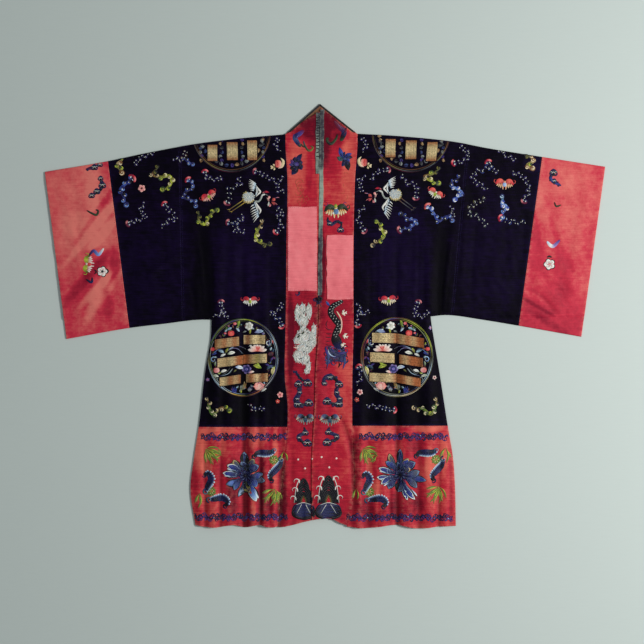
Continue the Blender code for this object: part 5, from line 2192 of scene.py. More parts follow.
@dataclass
class Seams:
    """The hand stitching beside the seams, round the patches and across the left ribbon."""

    room: Workroom
    trees: Trees
    inset: float = 0.0030
    step: float = 0.006
    patch_inset: float = 0.002
    stitch = {"Spacing": 0.0054, "Length": 0.0030, "Width": 0.0008, "Slant": 0.12}
    patch_end: float = 0.02
    band_low: float = -0.575
    band_high: float = 0.50
    end_gap: float = 0.01
    # Heights of the marks across the left ribbon, in mm, and their places and sizes beside the band's edge
    marks: tuple[int, ...] = (574, 567, 559, 551, 544, 536, 529, 521, 513, 504, 494, 485, 474, 462)
    mark_inset: float = 0.0065
    mark_left: float = 0.0042
    mark_right: float = 0.0040
    mark_slant: float = 0.0014
    mark_half: float = 0.0014
    # The dark line along the ribbon
    line_top: float = 0.58
    line_end: float = 0.43
    line_inset: float = 0.0018
    line_sway: float = 0.0004
    line_half: float = 0.0009

    def side_rows(self, side: str, sign: float) -> list[tuple[str, Array, Array, str]]:
        """Rows of stitches beside the seams of one side.

        Args:
            side: left or right.
            sign: which way it is from the middle.

        Returns:
            For each row what it lies on, its x and y, and its thread.
        """
        seam, inset = PLAN.hem_seam[side], self.inset
        start = float(PLAN.outer(side, np.array(seam))) * sign + self.step
        x = np.arange(start, float(PLAN.side_seam[side](seam)) * sign - self.step, self.step) * sign
        found = [
            (f"hem_front_{side}", x, seam - inset + 0 * x, "plum"),
            (f"front_{side}", x, seam + inset + 0 * x, "navy"),
        ]
        for line, low, high, thread_name in (
            (PLAN.sleeve_seam[side], "front", "sleeve", "navy"),
            (PLAN.cuff_seam[side], "sleeve", "cuff", "plum"),
        ):
            foot = PLAN.sleeve_low[side](line.low_x) + self.end_gap
            top = PLAN.top_edge(np.array(line.high_x)) - self.end_gap
            y = np.arange(foot, top, self.step)
            x = PLAN.cross(line, side, y)
            found.append((f"{low}_{side}", x - sign * inset, y, "navy"))
            found.append((f"{high}_{side}", x + sign * inset, y, thread_name))
        y = np.arange(self.band_low, self.band_high, self.step)
        found.append((f"neckband_{side}", PLAN.outer(side, y) - sign * inset, y, "plum"))
        x1, x2, y1, y2 = Neckband(self.room).patch_box[side]
        share, off = np.linspace(self.patch_end, 1 - self.patch_end, 40), self.patch_inset
        for k in range(2):
            x, y = lerp(x1, x2, share), lerp(y1, y2, share)
            colour = "plum" if side == "left" else "coral"
            found.append((f"pink_patch_{side}", x, 0 * x + (y1 + off, y2 - off)[k], colour))
            found.append((f"pink_patch_{side}", 0 * y + (x1 + off, x2 - off)[k], y, colour))
        return found

    def build(self) -> dict[str, Objects]:
        """Sew every row.

        Returns:
            What lies on each piece, by its node.
        """
        by_ground: dict[str, list] = {}
        for side, sign in SIDES.items():
            for ground, x, y, name in self.side_rows(side, sign):
                by_ground.setdefault(ground, []).append((np.stack((x, y), -1), 0.0, thread(name)))
        made = {}
        for number, (ground, rows) in enumerate(by_ground.items()):
            sewn = lines_of(rows).grow(self.trees.stitch, self.room.silk_thread, Seed=number, **self.stitch)
            made[ground] = self.lay(sewn, ground, "stitching")
        made["ribbon_left"] = self.ribbon_marks()
        return made

    def lay(self, sewn: Sewn, ground: str, kind: str) -> Objects:
        """Lay flat sewing on a cloth piece and show it.

        Args:
            sewn: the sewing.
            ground: the cloth's node.
            kind: what it is.

        Returns:
            Its one piece.
        """
        sewn.points[:, 2] += self.room.height(ground, sewn.points[:, 0], sewn.points[:, 1])
        piece = sewn.show(f"{kind}_{ground}", self.room.silk_thread)
        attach(piece, "root")
        return [piece]

    def ribbon_marks(self) -> Objects:
        """The short dark bars of thread across the left ribbon, and the dark line along it.

        Returns:
            Their one piece.
        """
        rows = []
        for k, mark in enumerate(self.marks):
            y = mark / MM
            x = float(PLAN.inner("left", np.array(y))) - self.mark_inset
            slant = self.mark_slant * math.sin(2.2 * k)
            bar = np.linspace((x - self.mark_left, y - slant), (x + self.mark_right, y + slant), 5)
            rows.append((bar, self.mark_half, thread("ink")))
        y = np.linspace(self.line_top, self.line_end, 24)
        x = PLAN.inner("left", y) - self.line_inset + self.line_sway * np.sin(y / 0.006)
        rows.append((np.stack((x, y), -1), self.line_half, thread("ink")))
        sewn = lines_of(rows).grow(self.trees.band, self.room.silk_thread, Roundness=0.4)
        return self.lay(sewn, "ribbon_left", "marks")


@dataclass
class Needlework:
    """Collects bands of stitches and sews them on the panels that they cross."""

    room: Workroom
    trees: Trees
    covered: Covers
    layer_step: float = 0.00022
    dome_most: float = 0.00055
    dome_share: float = 0.55
    sunk: float = 0.00012
    margin: float = 0.0016
    flank: float = 0.05
    edge_rise: float = 4
    strokes: list[Array] = field(default_factory=list)

    def add(self, points: Array, half: Array, colours: Array, layer: float) -> None:
        """Take in a band: its points in metres, their half widths and colours, and the bands under it."""
        number, layers = (np.full(len(points), float(value)) for value in (len(self.strokes), layer))
        self.strokes.append(np.column_stack((points, half, layers, run_along(points), number, colours)))

    def sew(self) -> dict[str, Objects]:
        """Sew every band.

        Returns:
            The embroidery on each panel, by the panel's node.
        """
        every = np.concatenate(self.strokes)
        x, y, stroke = every[:, 0], every[:, 1], every[:, 5]
        place = np.where(self.covered(x, y), -1, PLAN.panel_at(x, y, self.margin))
        first = np.arange(len(every) - 1)
        joined = (stroke[1:] == stroke[:-1]) & (place[1:] == place[:-1]) & (place[1:] >= 0)
        made = {}
        for k, panel in enumerate(Panel):
            edges = first[joined & (place[1:] == k)]
            if not len(edges):
                continue
            used, flat = np.unique(np.stack((edges, edges + 1), -1), return_inverse=True)
            rows = every[used]
            traces = Traces(rows[:, 2], rows[:, 6:], rows[:, 3], rows[:, 4])
            lines = Lines(rows[:, :2], flat.reshape(-1, 2), traces)
            sewn = lines.grow(self.trees.band, self.room.silk_thread, Roundness=1.0)
            self.drape(sewn, panel.value)
            piece = sewn.show(f"embroidery_{panel.value}", self.room.silk_thread)
            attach(piece, "root")
            made[panel.value] = [piece]
        return made

    def drape(self, sewn: Sewn, ground: str) -> None:
        """Lay domed bands on a cloth piece.

        Args:
            sewn: the bands, flat on z = 0.
            ground: the cloth's node.
        """
        points, half = sewn.points, sewn.traces.half_width
        dome = points[:, 2] / np.maximum(half, 1e-6)
        height = np.minimum(self.dome_most, self.dome_share * half)
        base = self.room.height(ground, points[:, 0], points[:, 1])
        lift = sewn.traces.layer * self.layer_step * (dome > self.flank) - self.sunk
        points[:, 2] = base + lift + self.sunk * np.minimum(1, dome * self.edge_rise) + dome * height


@dataclass(frozen=True)
class Needle:
    """Draws bands of stitches, in millimetres, about a place on the plan."""

    work: Needlework
    x: float = 0.0
    y: float = 0.0
    turn: float = 0.0
    size: float = 1.0
    flip: bool = False
    step: float = 2.5
    thinnest: float = 0.22

    def spots(self, points: Array) -> Array:
        """Find points on the plan.

        Args:
            points: places about the needle.

        Returns:
            Where they are on the plan.
        """
        points = np.array(points, float) * ((-1, 1) if self.flip else (1, 1))
        cos, sin = math.cos(math.radians(self.turn)), math.sin(math.radians(self.turn))
        return points @ np.array(((cos, sin), (-sin, cos))) * self.size + (self.x, self.y)

    def at(self, x: float, y: float, turn: float = 0.0, size: float = 1.0, flip: bool = False) -> "Needle":
        """Move to another place, counted from this one.

        Args:
            x, y: the place, in millimetres.
            turn: how far it turns, in degrees.
            size: how many times larger its work gets.
            flip: whether its work is mirrored.

        Returns:
            A needle about that place.
        """
        x, y = self.spots((x, y))
        turn = self.turn + (-turn if self.flip else turn)
        return replace(self, x=x, y=y, turn=turn, size=self.size * size, flip=self.flip != flip)

    def band(
        self, path: Sequence[Pair], half: float, threads: str, weight: Weight = LEAF, layer: float = 1
    ) -> None:
        """Sew one band.

        Args:
            path: places that its middle line goes through.
            half: half of its greatest width.
            threads: its thread names from root to tip.
            weight: how its width changes.
            layer: how many bands lie under it.
        """
        line = smooth_path(path, self.step / self.size)
        share = np.linspace(0, 1, len(line))
        width = np.maximum(half * self.size * weight.widths(share), self.thinnest) / MM
        self.work.add(self.spots(line) / MM, width, shades(threads, share), layer)

    def bands(self, *rows: tuple) -> None:
        """Sew several bands, each from a row of its path, half width, threads and so on."""
        for row in rows:
            self.band(*row)

    def disc(self, x: float, y: float, rx: float, threads: str, layer: float = 1, ry: float = 0) -> None:
        """Sew a round or oval patch about a place."""
        path = [(x - rx, y), (x - rx / 2, y), (x + rx / 2, y), (x + rx, y)]
        self.band(path, ry or rx, threads, DISC, layer)

    def curl(
        self, x: float, y: float, radius: float, start: float, turns: float, half: float,
        threads: str, layer: float = 1,
    ) -> None:
        """Sew a spiral that winds inwards.

        Args:
            x, y: its centre.
            radius: how far out it starts.
            start: the angle at which it starts, in degrees.
            turns: how many turns it makes, less than zero for clockwise.
            half: half of its band's width.
            threads: its thread names from outside to inside.
            layer: how many bands lie under it.
        """
        share = np.linspace(0, 1, max(5, int(abs(turns) * 8)))
        angle = math.radians(start) + share * turns * 2 * math.pi
        reach = radius * (1 - 0.68 * share)
        path = np.stack((x + reach * np.cos(angle), y + reach * np.sin(angle)), -1)
        self.band(path, half, threads, TAPER, layer)

    def ray(
        self, angle: float, near: float, far: float, half: float, threads: str,
        bend: float = 0.0, layer: float = 1, weight: Weight = PETAL,
    ) -> None:
        """Sew a petal or leaf that points away from the needle's place.

        Args:
            angle: where it points, in degrees.
            near, far: distances of its root and its tip.
            half: half of its width.
            threads: its thread names from root to tip.
            bend: how far its middle bows sideways.
            layer: how many bands lie under it.
            weight: how its width changes.
        """
        middle = ((near + far) / 2, bend)
        path = [(near, 0), middle, (far, bend * 0.2)]
        self.at(0, 0, angle).band(path, half, threads, weight, layer)

    def fan(self, start: float, end: float, count: int, reach: float, half: float, threads: str) -> None:
        """Sew leaves that spread from the needle's place.

        Args:
            start, end: the first and the last one's angle, in degrees.
            count: how many there are.
            reach: their length, a little less at both ends of the fan.
            half: half of their width.
            threads: their thread names from root to tip.
        """
        for k in range(count):
            share = k / max(1, count - 1)
            length = reach * (0.74 + 0.26 * math.sin(math.pi * share))
            bend = length * (0.14 if k % 2 else -0.1)
            self.ray(lerp(start, end, share), 0, length, half, threads, bend, 1 + 0.4 * (k % 2))


# The thread that lights each lobe of a cloud, and the one that rims it
LIGHTER = {
    "moss": "olive", "olive": "lime", "lime": "cream", "leaf": "cream", "navy": "blue", "blue": "sky",
    "sky": "white", "brown": "straw", "gold": "cream", "straw": "cream", "teal": "ice", "violet": "lilac",
    "plum": "pink", "ink": "white",
}
DARKER = {
    "olive": "moss", "lime": "olive", "leaf": "moss", "blue": "navy", "sky": "blue", "gold": "brown",
    "straw": "brown", "teal": "navy", "violet": "navy",
}


class CloudKind(Enum):
    """How a trail of cloud is sewn, by the share of its size from lobe to lobe."""

    FILLED = 0.84
    OUTLINE = 0.9


@dataclass(frozen=True)
class Cloud:
    """A trail of cloud: the places it goes through, a lobe's width, its threads and its cap's."""

    path: tuple[Pair, ...]
    size: float
    threads: str
    cap: str = ""
    kind: CloudKind = CloudKind.FILLED

    def sew(self, needle: Needle) -> None:
        """Sew its lobes one by one along the trail, and its cap.

        Args:
            needle: a needle at the plan's origin.
        """
        names, size = self.threads.split(), self.size
        line = smooth_path(self.path, size * 0.2)
        angles, steps = headings(line), run_along(line)
        count = max(2, round(steps[-1] / (size * self.kind.value)) + 1)
        if self.kind is CloudKind.FILLED:
            needle.band(self.path, size * 0.26, self.threads, HORN, 0)
        for k, along in enumerate(np.linspace(0, steps[-1], count)):
            n = int(np.argmin(np.abs(steps - along)))
            side = 1 if k % 2 else -1
            uneven = math.sin(2.4 * k + self.path[0][0] + self.path[0][1])
            name = names[min(len(names) - 1, int(len(names) * (k + 0.5) / count))]
            lobe = needle.at(*line[n], angles[n]).at(0, side * size * (0.2 + 0.06 * uneven), 30 * uneven)
            if self.kind is CloudKind.OUTLINE:
                self.open_lobe(lobe, name, side, uneven)
            else:
                self.full_lobe(lobe, name, side, 0.54 if k == count - 1 else 0.42 + 0.05 * uneven, uneven)
        if self.cap:
            self.sew_cap(needle.at(*line[0], angles[0]))

    def open_lobe(self, lobe: Needle, name: str, side: int, uneven: float) -> None:
        """Sew one lobe as an open curl with two pale dashes.

        Args:
            lobe: a needle at its middle, turned along the trail.
            name: its thread.
            side: 1 or -1, the side of the trail that it swells on.
            uneven: from -1 to 1, how it differs from the others.
        """
        size, body = self.size, "violet" if name == "grey" else name
        lobe.curl(0, 0, size * (0.48 + 0.08 * uneven), 100 * side, -0.95 * side, 0.9, f"{body} navy {body}")
        for x, y, reach, lean in ((0.05, 0.1 * side, 0.21, 50 * uneven), (0.44, -0.42 * side, 0.1, 120)):
            reach = (reach + 0.04 * uneven) * size
            dash = [(-reach, 0), (0, side * 0.8), (reach, 0)]
            lobe.at(x * size, y * size, lean).band(dash, 1.35, "white silver", layer=2)

    def full_lobe(self, lobe: Needle, name: str, side: int, share: float, uneven: float) -> None:
        """Sew one lobe as a disc with a lit curl and a dot.

        Args:
            lobe: a needle at its middle, turned along the trail.
            name: its body's thread.
            side: 1 or -1, the side of the trail that it swells on.
            share: its radius, as a share of the size.
            uneven: from -1 to 1, how its dot differs from the others.
        """
        radius, light = self.size * share, LIGHTER[name]
        lobe.disc(0, 0, radius, DARKER.get(name, "ink"), 1, radius * 0.9)
        lobe.curl(0, 0, radius * 0.78, 100 * side, -0.86 * side, self.size * 0.15, f"{light} {name}", 2)
        dot = "white" if name in ("blue", "sky", "navy") else light
        lobe.disc(self.size * 0.1 * side, 0, self.size * (0.1 + 0.03 * uneven), dot, 3)

    def sew_cap(self, end: Needle) -> None:
        """Sew the bright crescent that closes the trail, with two pale dashes under it.

        Args:
            end: a needle at the trail's start, turned along it.
        """
        size = max(self.size, 13.0)
        spread = ((0.06, -0.72), (-0.34, -0.44), (-0.5, 0.0), (-0.34, 0.44), (0.06, 0.72))
        arch = [(x * size, y * size) for x, y in spread]
        end.band(arch, size * 0.22, f"{self.cap} plum {self.cap} pink {self.cap}", EVEN, 3)
        for low, high in ((-0.5, -0.14), (0.1, 0.44)):
            end.band([(0, low * size), (1, high * size)], 1.3, "white ice", layer=4)


@dataclass(frozen=True)
class Scroll:
    """A thick dark scroll: its route, its rings as x, y and half width, and its threads."""

    path: tuple[Pair, ...]
    rings: tuple[tuple[float, float, float], ...]
    threads: str = "ink navy ink ink"
    half: float = 6.8

    def sew(self, needle: Needle) -> None:
        """Sew its trail with a violet edge, and open rings with pale curls.

        Args:
            needle: a needle at the plan's origin.
        """
        half = self.half
        needle.band([(x - 1.2, y + 1.2) for x, y in self.path], half, "plum navy plum", HORN, 0)
        needle.band(self.path, half, self.threads, HORN, 1)
        for k, (x, y) in enumerate(smooth_path(self.path, half * 1.5)[1:-1]):
            side = half * (0.6 if k % 2 else -0.6)
            needle.disc(x + side * 0.6, y + side, half * 0.72, "ink navy", 1.4)
        for x, y, reach in self.rings:
            for side in (-1, 1):
                lobe = needle.at(x + side * reach * 0.46, y, 0, 1.12, side > 0)
                lobe.curl(0, 0, reach * 0.62, 60, -0.9, reach * 0.28, "ink ink navy ink", 2)
                lobe.curl(0, 0, reach * 0.36, 150, -0.62, reach * 0.1, "silver white", 4)
            arch = [(x - reach * 0.8, y), (x, y + reach * 0.72), (x + reach * 0.8, y)]
            glint = [(x - 3, y + reach * 0.1), (x, y + reach * 0.25), (x + 3, y + reach * 0.1)]
            needle.bands((arch, reach * 0.28, "ink navy ink", EVEN, 2), (glint, 1.2, "white", LEAF, 4))


class Growth(Enum):
    """What grows round the medallions' bars."""

    ROSE = "rose"
    LEAF = "leaf"
    BERRY = "berry"
    COIL = "coil"
    BLADES = "blades"
    LOTUS = "side_lotus"


class Motif(Needle):
    """A needle that knows the robe's traditional motifs."""

    def bat(self, wings: str, body: str, accent: str) -> None:
        """Sew a bat with scalloped wings, 46 mm across.

        Args:
            wings, body, accent: the threads of its wings, its body and its edges.
        """
        for side in (False, True):
            half = self.at(0, 0, flip=side)
            half.bands(
                ([(1, 0), (7, 7.5), (15, 8.5), (23, 0)], 6.0, wings),
                ([(20, 4), (26, 5), (26, 11), (22, 12)], 1.3, wings, TAPER),
            )
            for root, tip, drop in ((3, 5, -8), (7, 10, -9), (11, 15, -7), (15, 20, -4)):
                half.band([(root, 5), (root + 2, 0), (tip, drop)], 2.0, accent, PETAL, 2)
            half.band([(1, -4), (4, -9), (3, -13)], 1.6, accent)
            half.disc(1.2, 7.2, 0.7, "ink", 4)
        self.disc(0, 0, 5.2, body, 3, 6)
        self.disc(0, 6.5, 2.9, accent, 3)

    def crescent(self, path: Sequence[Pair], inner: float) -> None:
        """Sew one wing of a great bat.

        Args:
            path: its middle line, from its hooked tip to the body.
            inner: 1 or -1, the side of the path that its pale scallops are on.
        """
        self.band(path, 9.6, "ink ink navy ink navy", HORN, 0)
        line = smooth_path(path, 1.0)
        angles = headings(line)
        for k in range(13):
            share = k / 12
            n = int(len(line) * lerp(0.16, 0.94, share))
            out = inner * 14.0 * math.sin(math.pi * (0.16 + 0.7 * share))
            spot = self.at(*line[n], angles[n])
            spot.bands(
                ([(-2, -2 * inner), (0, out * 0.5), (3, out)], 3.4, "ink ink navy slate ice white", PETAL, 2),
                ([(-2, 0), (-1, out * 0.7)], 0.8, "ink navy", LEAF, 3),
                ([(0.5, out * 0.3), (1.5, out * 0.7)], 0.6, "slate steel", LEAF, 3),
            )
            if k % 2:
                spot.band([(0, -inner * 3), (2, -inner * 8)], 0.9, "navy slate", LEAF, 3)
        self.at(*line[0]).curl(0, 0, 8, 90, -0.8 * inner, 3.0, "ink navy", 2)

    def great_bat(self, wings: Sequence[Sequence[Pair]], inner: Sequence[float]) -> None:
        """Sew a large bat about its green body.

        Args:
            wings: its wings' paths.
            inner: the inner side of each.
        """
        for path, side in zip(wings, inner):
            self.crescent(path, side)
            self.curl(*path[-1], 9, 90 * side, side, 2.6, "navy teal steel white", 4)
        for angle in range(0, 360, 40):
            self.ray(angle + 12, 1, 15, 3.6, "moss leaf olive", 2, 1)
        for angle in range(0, 360, 60):
            self.ray(angle, 1, 9, 1.6, "lime straw", 1, 2)
        self.disc(2, 1, 2, "coral")

    def wing(
        self, lead: Sequence[Pair], tips: Sequence[Pair], roots: Sequence[Pair], grey: Sequence[Pair]
    ) -> None:
        """Sew a crane's wing: flight feathers under grey coverts and a white leading edge.

        Args:
            lead: the leading edge, from the body.
            tips, roots: lines along the feathers' tips and roots, from the wing's tip to the body.
            grey: middle line of the coverts.
        """
        ends, starts = smooth_path(tips, 1.0), smooth_path(roots, 1.0)
        for k in range(7):
            tip, root = (line[int(k / 6 * (len(line) - 1))] for line in (ends, starts))
            path = [root, (root + tip) / 2 + (0, 1.0), tip]
            self.band(path, 2.0, "ice white white", TAPER, 1 + 0.5 * (k % 2))
        self.band(grey, 3.4, "ice white ice", layer=2)
        for off in (-2.4, 1.8):
            self.band([(x + off, y - off * 0.3) for x, y in grey], 0.8, "grey", layer=3)
        self.band(lead, 2.8, "white", layer=4)

    def crane(self, legs: str) -> None:
        """Sew a crane in flight, its wings up and down and its head to the right.

        Args:
            legs: its legs' threads.
        """
        for x, y in ((-10, -15), (-16, -9)):
            self.bands(
                ([(x, y), (x - 19, y - 13), (x - 40, y - 27)], 1.2, legs, EVEN),
                ([(x - 38, y - 26), (x - 45, y - 28), (x - 48, y - 25)], 1.0, legs, TAPER),
                ([(x - 38, y - 26), (x - 41, y - 32)], 1.0, legs, TAPER),
            )
        for k in range(11):
            self.ray(118 + 20 * k, 8, 21 - abs(k - 5) * 0.3, 2.9, "cream straw olive", 1.5, 1)
        self.wing([(20, 0), (28, 9), (33, 15), (27, 24), (21, 34)], [(1, 51), (0, 40), (1, 30), (4, 20)],
                  [(21, 37), (19, 28), (15, 18)], [(20, 4), (24, 16), (21, 30)])
        self.wing([(17, -10), (26, -26), (34, -39), (30, -50)], [(14, -74), (9, -58), (6, -44), (5, -30)],
                  [(29, -54), (25, -42), (15, -22)], [(16, -14), (23, -32), (28, -48)])
        self.disc(0, 0, 17, "olive silver grey", 3, 13)
        for k in range(46):
            angle, reach = GOLDEN_ANGLE * k, 2.45 * math.sqrt(k + 0.4)
            scale = self.at(1.05 * reach * math.cos(angle), 0.8 * reach * math.sin(angle), 20)
            names = ("white", "white ice", "ice white")[k % 3]
            scale.band([(-2.4, -0.8), (0, 0.9), (2.4, -0.8)], 1.45, names, layer=5)
        self.bands(
            ([(18, -12), (28, -13), (35, -5), (39, 5), (47, 8)], 2.6, "silver silver white", EVEN, 5),
            ([(47, 8), (54, 5), (61, 2)], 1.1, "silver grey", TAPER, 5),
            ([(40, 12), (49, 15), (60, 13)], 3.2, "pink plum red plum", LEAF, 6),
        )
        for x, y, angle, reach, half, threads in (
            (56, -8, 60, 12, 4, "blush pink"), (58, -12, -100, 15, 3, "white silver"),
            (66, -14, 40, 14, 5, "plum coral"), (66, -16, -30, 13, 5, "coral plum"),
            (64, -18, -120, 11, 4, "plum pink"), (74, -4, 10, 15, 1, "lilac pink"),
            (74, -16, -40, 11, 1, "plum pink"), (52, -2, -60, 13, 3, "blush plum"),
        ):
            self.at(x, y).ray(angle, 0, reach, half, threads, 1, 3)

    def blossom(self, petals: str, heart: str, radius: float = 9.0) -> None:
        """Sew a round flower of five notched petals.

        Args:
            petals, heart: the threads of its petals and its heart.
            radius: how far its petals reach.
        """
        for k in range(5):
            self.ray(90 + 72 * k, 1, radius, radius * 0.44, petals, 0, 1 + 0.3 * (k % 2))
            self.ray(126 + 72 * k, 1, radius * 0.62, radius * 0.2, petals, 0, 2)
        self.disc(0, 0, radius * 0.26, heart, 3)

    def peach(self) -> None:
        """Sew a peach, lit on one side, with its leaves."""
        self.disc(2, -3, 10, "plum coral blush", 1, 11)
        self.band([(10, 14), (17, 4), (13, -10), (2, -16)], 4.6, "cream straw blush", layer=2)
        self.band([(-2, 6), (2, -2), (0, -10)], 1.4, "red", layer=3)
        self.at(-8, -12).fan(120, 250, 4, 13, 3, "olive straw cream")

    def lotus(self, petals: Sequence[tuple[float, float, float, str]]) -> None:
        """Sew a large open lotus.

        Args:
            petals: for each its angle, length, half width and threads.
        """
        for k, (angle, reach, half, threads) in enumerate(petals):
            layer, bend = 1 + 1.7 * (k % 3), 7 * math.sin(2.1 * k)
            lit, body = "white" in threads, threads.replace(" white", "")
            dull = "ink moss olive gold" if k % 5 == 1 else "ink ink slate steel"
            rim = "ink navy ice white white" if lit else dull
            self.ray(angle, 4, reach, half * 0.94, "ink", bend, layer)
            self.ray(angle, 5, reach - 0.6, half * 0.94 - 0.8, rim, bend, layer + 0.3)
            self.ray(angle, 6, reach - 3.6, half * 0.94 - 2.4, body, bend, layer + 0.6)
            for side in (-0.45, -0.1, 0.25, 0.55):
                streak, far = self.at(0, 0, angle).at(0, side * half), reach * (0.86 - 0.3 * abs(side))
                streak.ray(0, 12, far, 0.8, "navy slate steel", bend, layer + 1.2, LEAF)
            if lit:
                self.ray(angle + 7, reach * 0.6, reach - 5, half * 0.2, "steel ice white", 0, layer + 1.6)
            for n in range(3):
                x, y = reach * (0.42 + 0.16 * n), bend * 0.8 + 3 * math.sin(k + 2 * n)
                self.at(0, 0, angle).disc(x, y, 0.7, "steel", layer + 1.8)
        for k in range(8):
            self.ray(45 * k, 0, 17, 5, "ink navy", 2, 6)
            self.ray(45 * k + 9, 4, 15, 0.9, "slate steel", 2, 7)
        self.disc(0, 0, 4, "ink", 8)

    def border(self, start: float, end: float, y: float) -> None:
        """Sew a running border of linked scrolls.

        Args:
            start, end: the x of both its ends.
            y: its height in the plan.
        """
        count = round((end - start) / 17)
        unit = (end - start) / count
        for k in range(count):
            turn = 180 * (k % 2) + 14 * math.sin(1.3 * k)
            here = self.at(start + unit * (k + 0.5), y + 2 * math.sin(2.1 * k), turn, flip=k % 3 == 1)
            main, second = (("navy", "ink"), ("ink", "violet"), ("violet", "ink"), ("ink", "navy"))[k % 4]
            link = [(-12, -7), (-6, 5), (2, 0), (9, 7), (13, 2)]
            here.band(link, 2.4, f"{main} {second} {main}", HORN, 1)
            here.curl(5, -4, 8.5, 120, 1.0, 1.7, f"{main} {second}", 2)
            here.curl(-6, 6, 7, -60, -0.9, 1.5, f"{second} {main}", 2)
            for angle, reach in ((35, 15), (200, 13), (118, 12), (-75, 12)):
                here.ray(angle, 2, reach, 1.5, f"{main} {second}", 2, 1, LEAF)
            here.disc(1, 1, 1.5, ("lilac", "navy", "ink", "ice", "plum", "ink", "ink")[k % 7], 4)

    def rock(self, half: float, height: float, sides: Sequence[bool]) -> None:
        """Sew a rounded rock of nested arches with white spray.

        Args:
            half: half of its width.
            height: how high it stands.
            sides: the sides on which spray rises, True for the left.
        """
        for foot, w, h, arches in (
            (0.42, 0.6, 0.58, "1 ink 0.82 ink 0.62 ink 0.44 ink 0.28 plum 0.12 red"),
            (0.0, 1.0, 0.74, "1 ink 0.86 ink 0.7 ink 0.56 ink 0.44 ink 0.34 moss 0.24 brown 0.1 red"),
        ):
            words = arches.split()
            for share, name in zip(map(float, words[::2]), words[1::2]):
                x, low, up = half * w * share, height * foot, height * (foot + h * (0.12 + 0.88 * share))
                rise = [(x, low)] + [
                    (x * out, lerp(low, up, high)) for out, high in ((0.98, 0.35), (0.8, 0.62), (0.42, 0.88))
                ]
                arch = [(-x, y) for x, y in rise] + [(0, up)] + rise[::-1]
                self.band(arch, half * (0.13 if name == "ink" else 0.07), name, EVEN, 1 if foot else 2)
        for side in sides:
            edge = self.at(0, 0, flip=side)
            points = ((0.5, 1), (0.84, 0.72), (1, 0.4), (1.14, 0))
            stem = [(half * out, height * up) for out, up in points]
            edge.band(stem, 1.3, "white silver", EVEN, 4)
            for up in (0.98, 0.62, 0.27):
                x, y = half * (1.16 - 0.6 * up), height * up
                hook = [(x - 2, y - 10), (x, y - 1), (x + 8, y + 2), (x + 14, y - 3), (x + 12, y - 9)]
                edge.band(hook, 1.9, "white white silver", TAPER, 4)

    def sea(self, width: float, depth: float) -> None:
        """Sew the half round of water under a rock.

        Args:
            width: its half width.
            depth: how deep it is.
        """
        for k in range(8):
            w, y = width * (1 - 0.1 * abs(k - 3)), -depth * (0.22 + 0.1 * k)
            row = [(-w, y - 3), (-w * 0.5, y + 2), (w * 0.5, y + 2), (w, y - 3)]
            self.band(row, depth * 0.12, ("ink navy ink", "ink navy ink ink")[k % 2], EVEN, 1)
        for k in range(13):
            angle = math.radians(194 + 12.7 * k)
            foot = (width * 0.92 * math.cos(angle), depth * 0.94 * math.sin(angle))
            self.band([(foot[0] * 0.16, -4 + foot[1] * 0.12), foot], 0.45, "navy slate navy", EVEN, 3)
        rim, crest = (
            [(-width, -depth * 0.5), (-width * out, -depth * low), (0, -depth * middle),
             (width * out, -depth * low), (width, -depth * 0.5)]
            for out, low, middle in ((0.8, 0.84, 1), (0.72, 0.14, 0))
        )
        self.band(rim, depth * 0.1, "ink", EVEN, 2)
        self.band(crest, depth * 0.07, "ink navy ink", EVEN, 2)
        self.band([(x * 0.94, y + 2) for x, y in crest[1:-1]], 1.1, "silver white silver", EVEN, 5)
        for side in (False, True):
            line = [(6, -3), (width * 0.34, -depth * 0.3), (width * 0.6, -depth * 0.66)]
            self.at(0, 0, flip=side).band(line, 1.0, "white silver", EVEN, 5)

    def ring(self, radii: Pair, threads: Sequence[str], end: float = 360.0) -> None:
        """Sew a medallion's frame of three parallel bands.

        Args:
            radii: half width and half height.
            threads: thread names of its middle, outer and inner band, round from the right.
            end: the angle at which the frame ends.
        """
        turn = np.radians(np.linspace(0, end, 61))
        for (inset, half), names in zip(((0.0, 1.25), (-2.8, 0.7), (4.2, 0.7)), threads):
            rx, ry = radii[0] - inset, radii[1] - inset
            self.band(np.stack((rx * np.cos(turn), ry * np.sin(turn)), -1), half, names, EVEN, 2)

    def grow(self, kind: Growth, reach: float, angle: float, threads: str) -> None:
        """Sew something that grows.

        Args:
            kind: what it is.
            reach: how large it is.
            angle: where it points, in degrees.
            threads: its thread names.
        """
        first, last = threads.split()[0], threads.split()[-1]
        if kind is Growth.ROSE:
            for k in range(6):
                self.ray(angle + 60 * k, 0.5, reach, reach * 0.4, threads, 0, 1 + 0.4 * (k % 2))
            self.disc(0, 0, reach * 0.3, last, 2)
            self.disc(0, 0, reach * 0.15, first, 3)
        elif kind is Growth.LOTUS:
            for k, lean in enumerate((-80, -54, -27, 0, 27, 54, 80)):
                far = reach * (0.7 + 0.3 * abs(lean) / 80)
                self.ray(angle + lean, 0, far, reach * 0.17, threads, 0, 1 + 0.4 * (k % 2))
            for lean in (-30, -8, 14):
                self.ray(angle + lean, 2, reach * 0.6, reach * 0.08, "red coral", 0, 3)
        elif kind is Growth.LEAF:
            self.ray(angle, -reach / 2, reach / 2, reach * 0.22, threads, reach * 0.08, 1, LEAF)
            self.ray(angle, -reach / 2, reach / 2.4, reach * 0.05, f"{last} {first}", reach * 0.08, 2, LEAF)
        elif kind is Growth.BERRY:
            self.disc(0, 0, reach, threads, 1, reach * 0.84)
            self.curl(0, 0, reach * 0.8, angle, 0.7, reach * 0.16, f"{last} {first}", 2)
        elif kind is Growth.COIL:
            self.curl(0, 0, reach, angle, 1.1, reach * 0.2, threads)
        else:
            for k in range(5):
                far = reach * (1 - 0.12 * abs(k - 2))
                self.ray(angle + 17 * (k - 2), 0, far, 1.3, threads, 1.5, 1 + 0.2 * k)


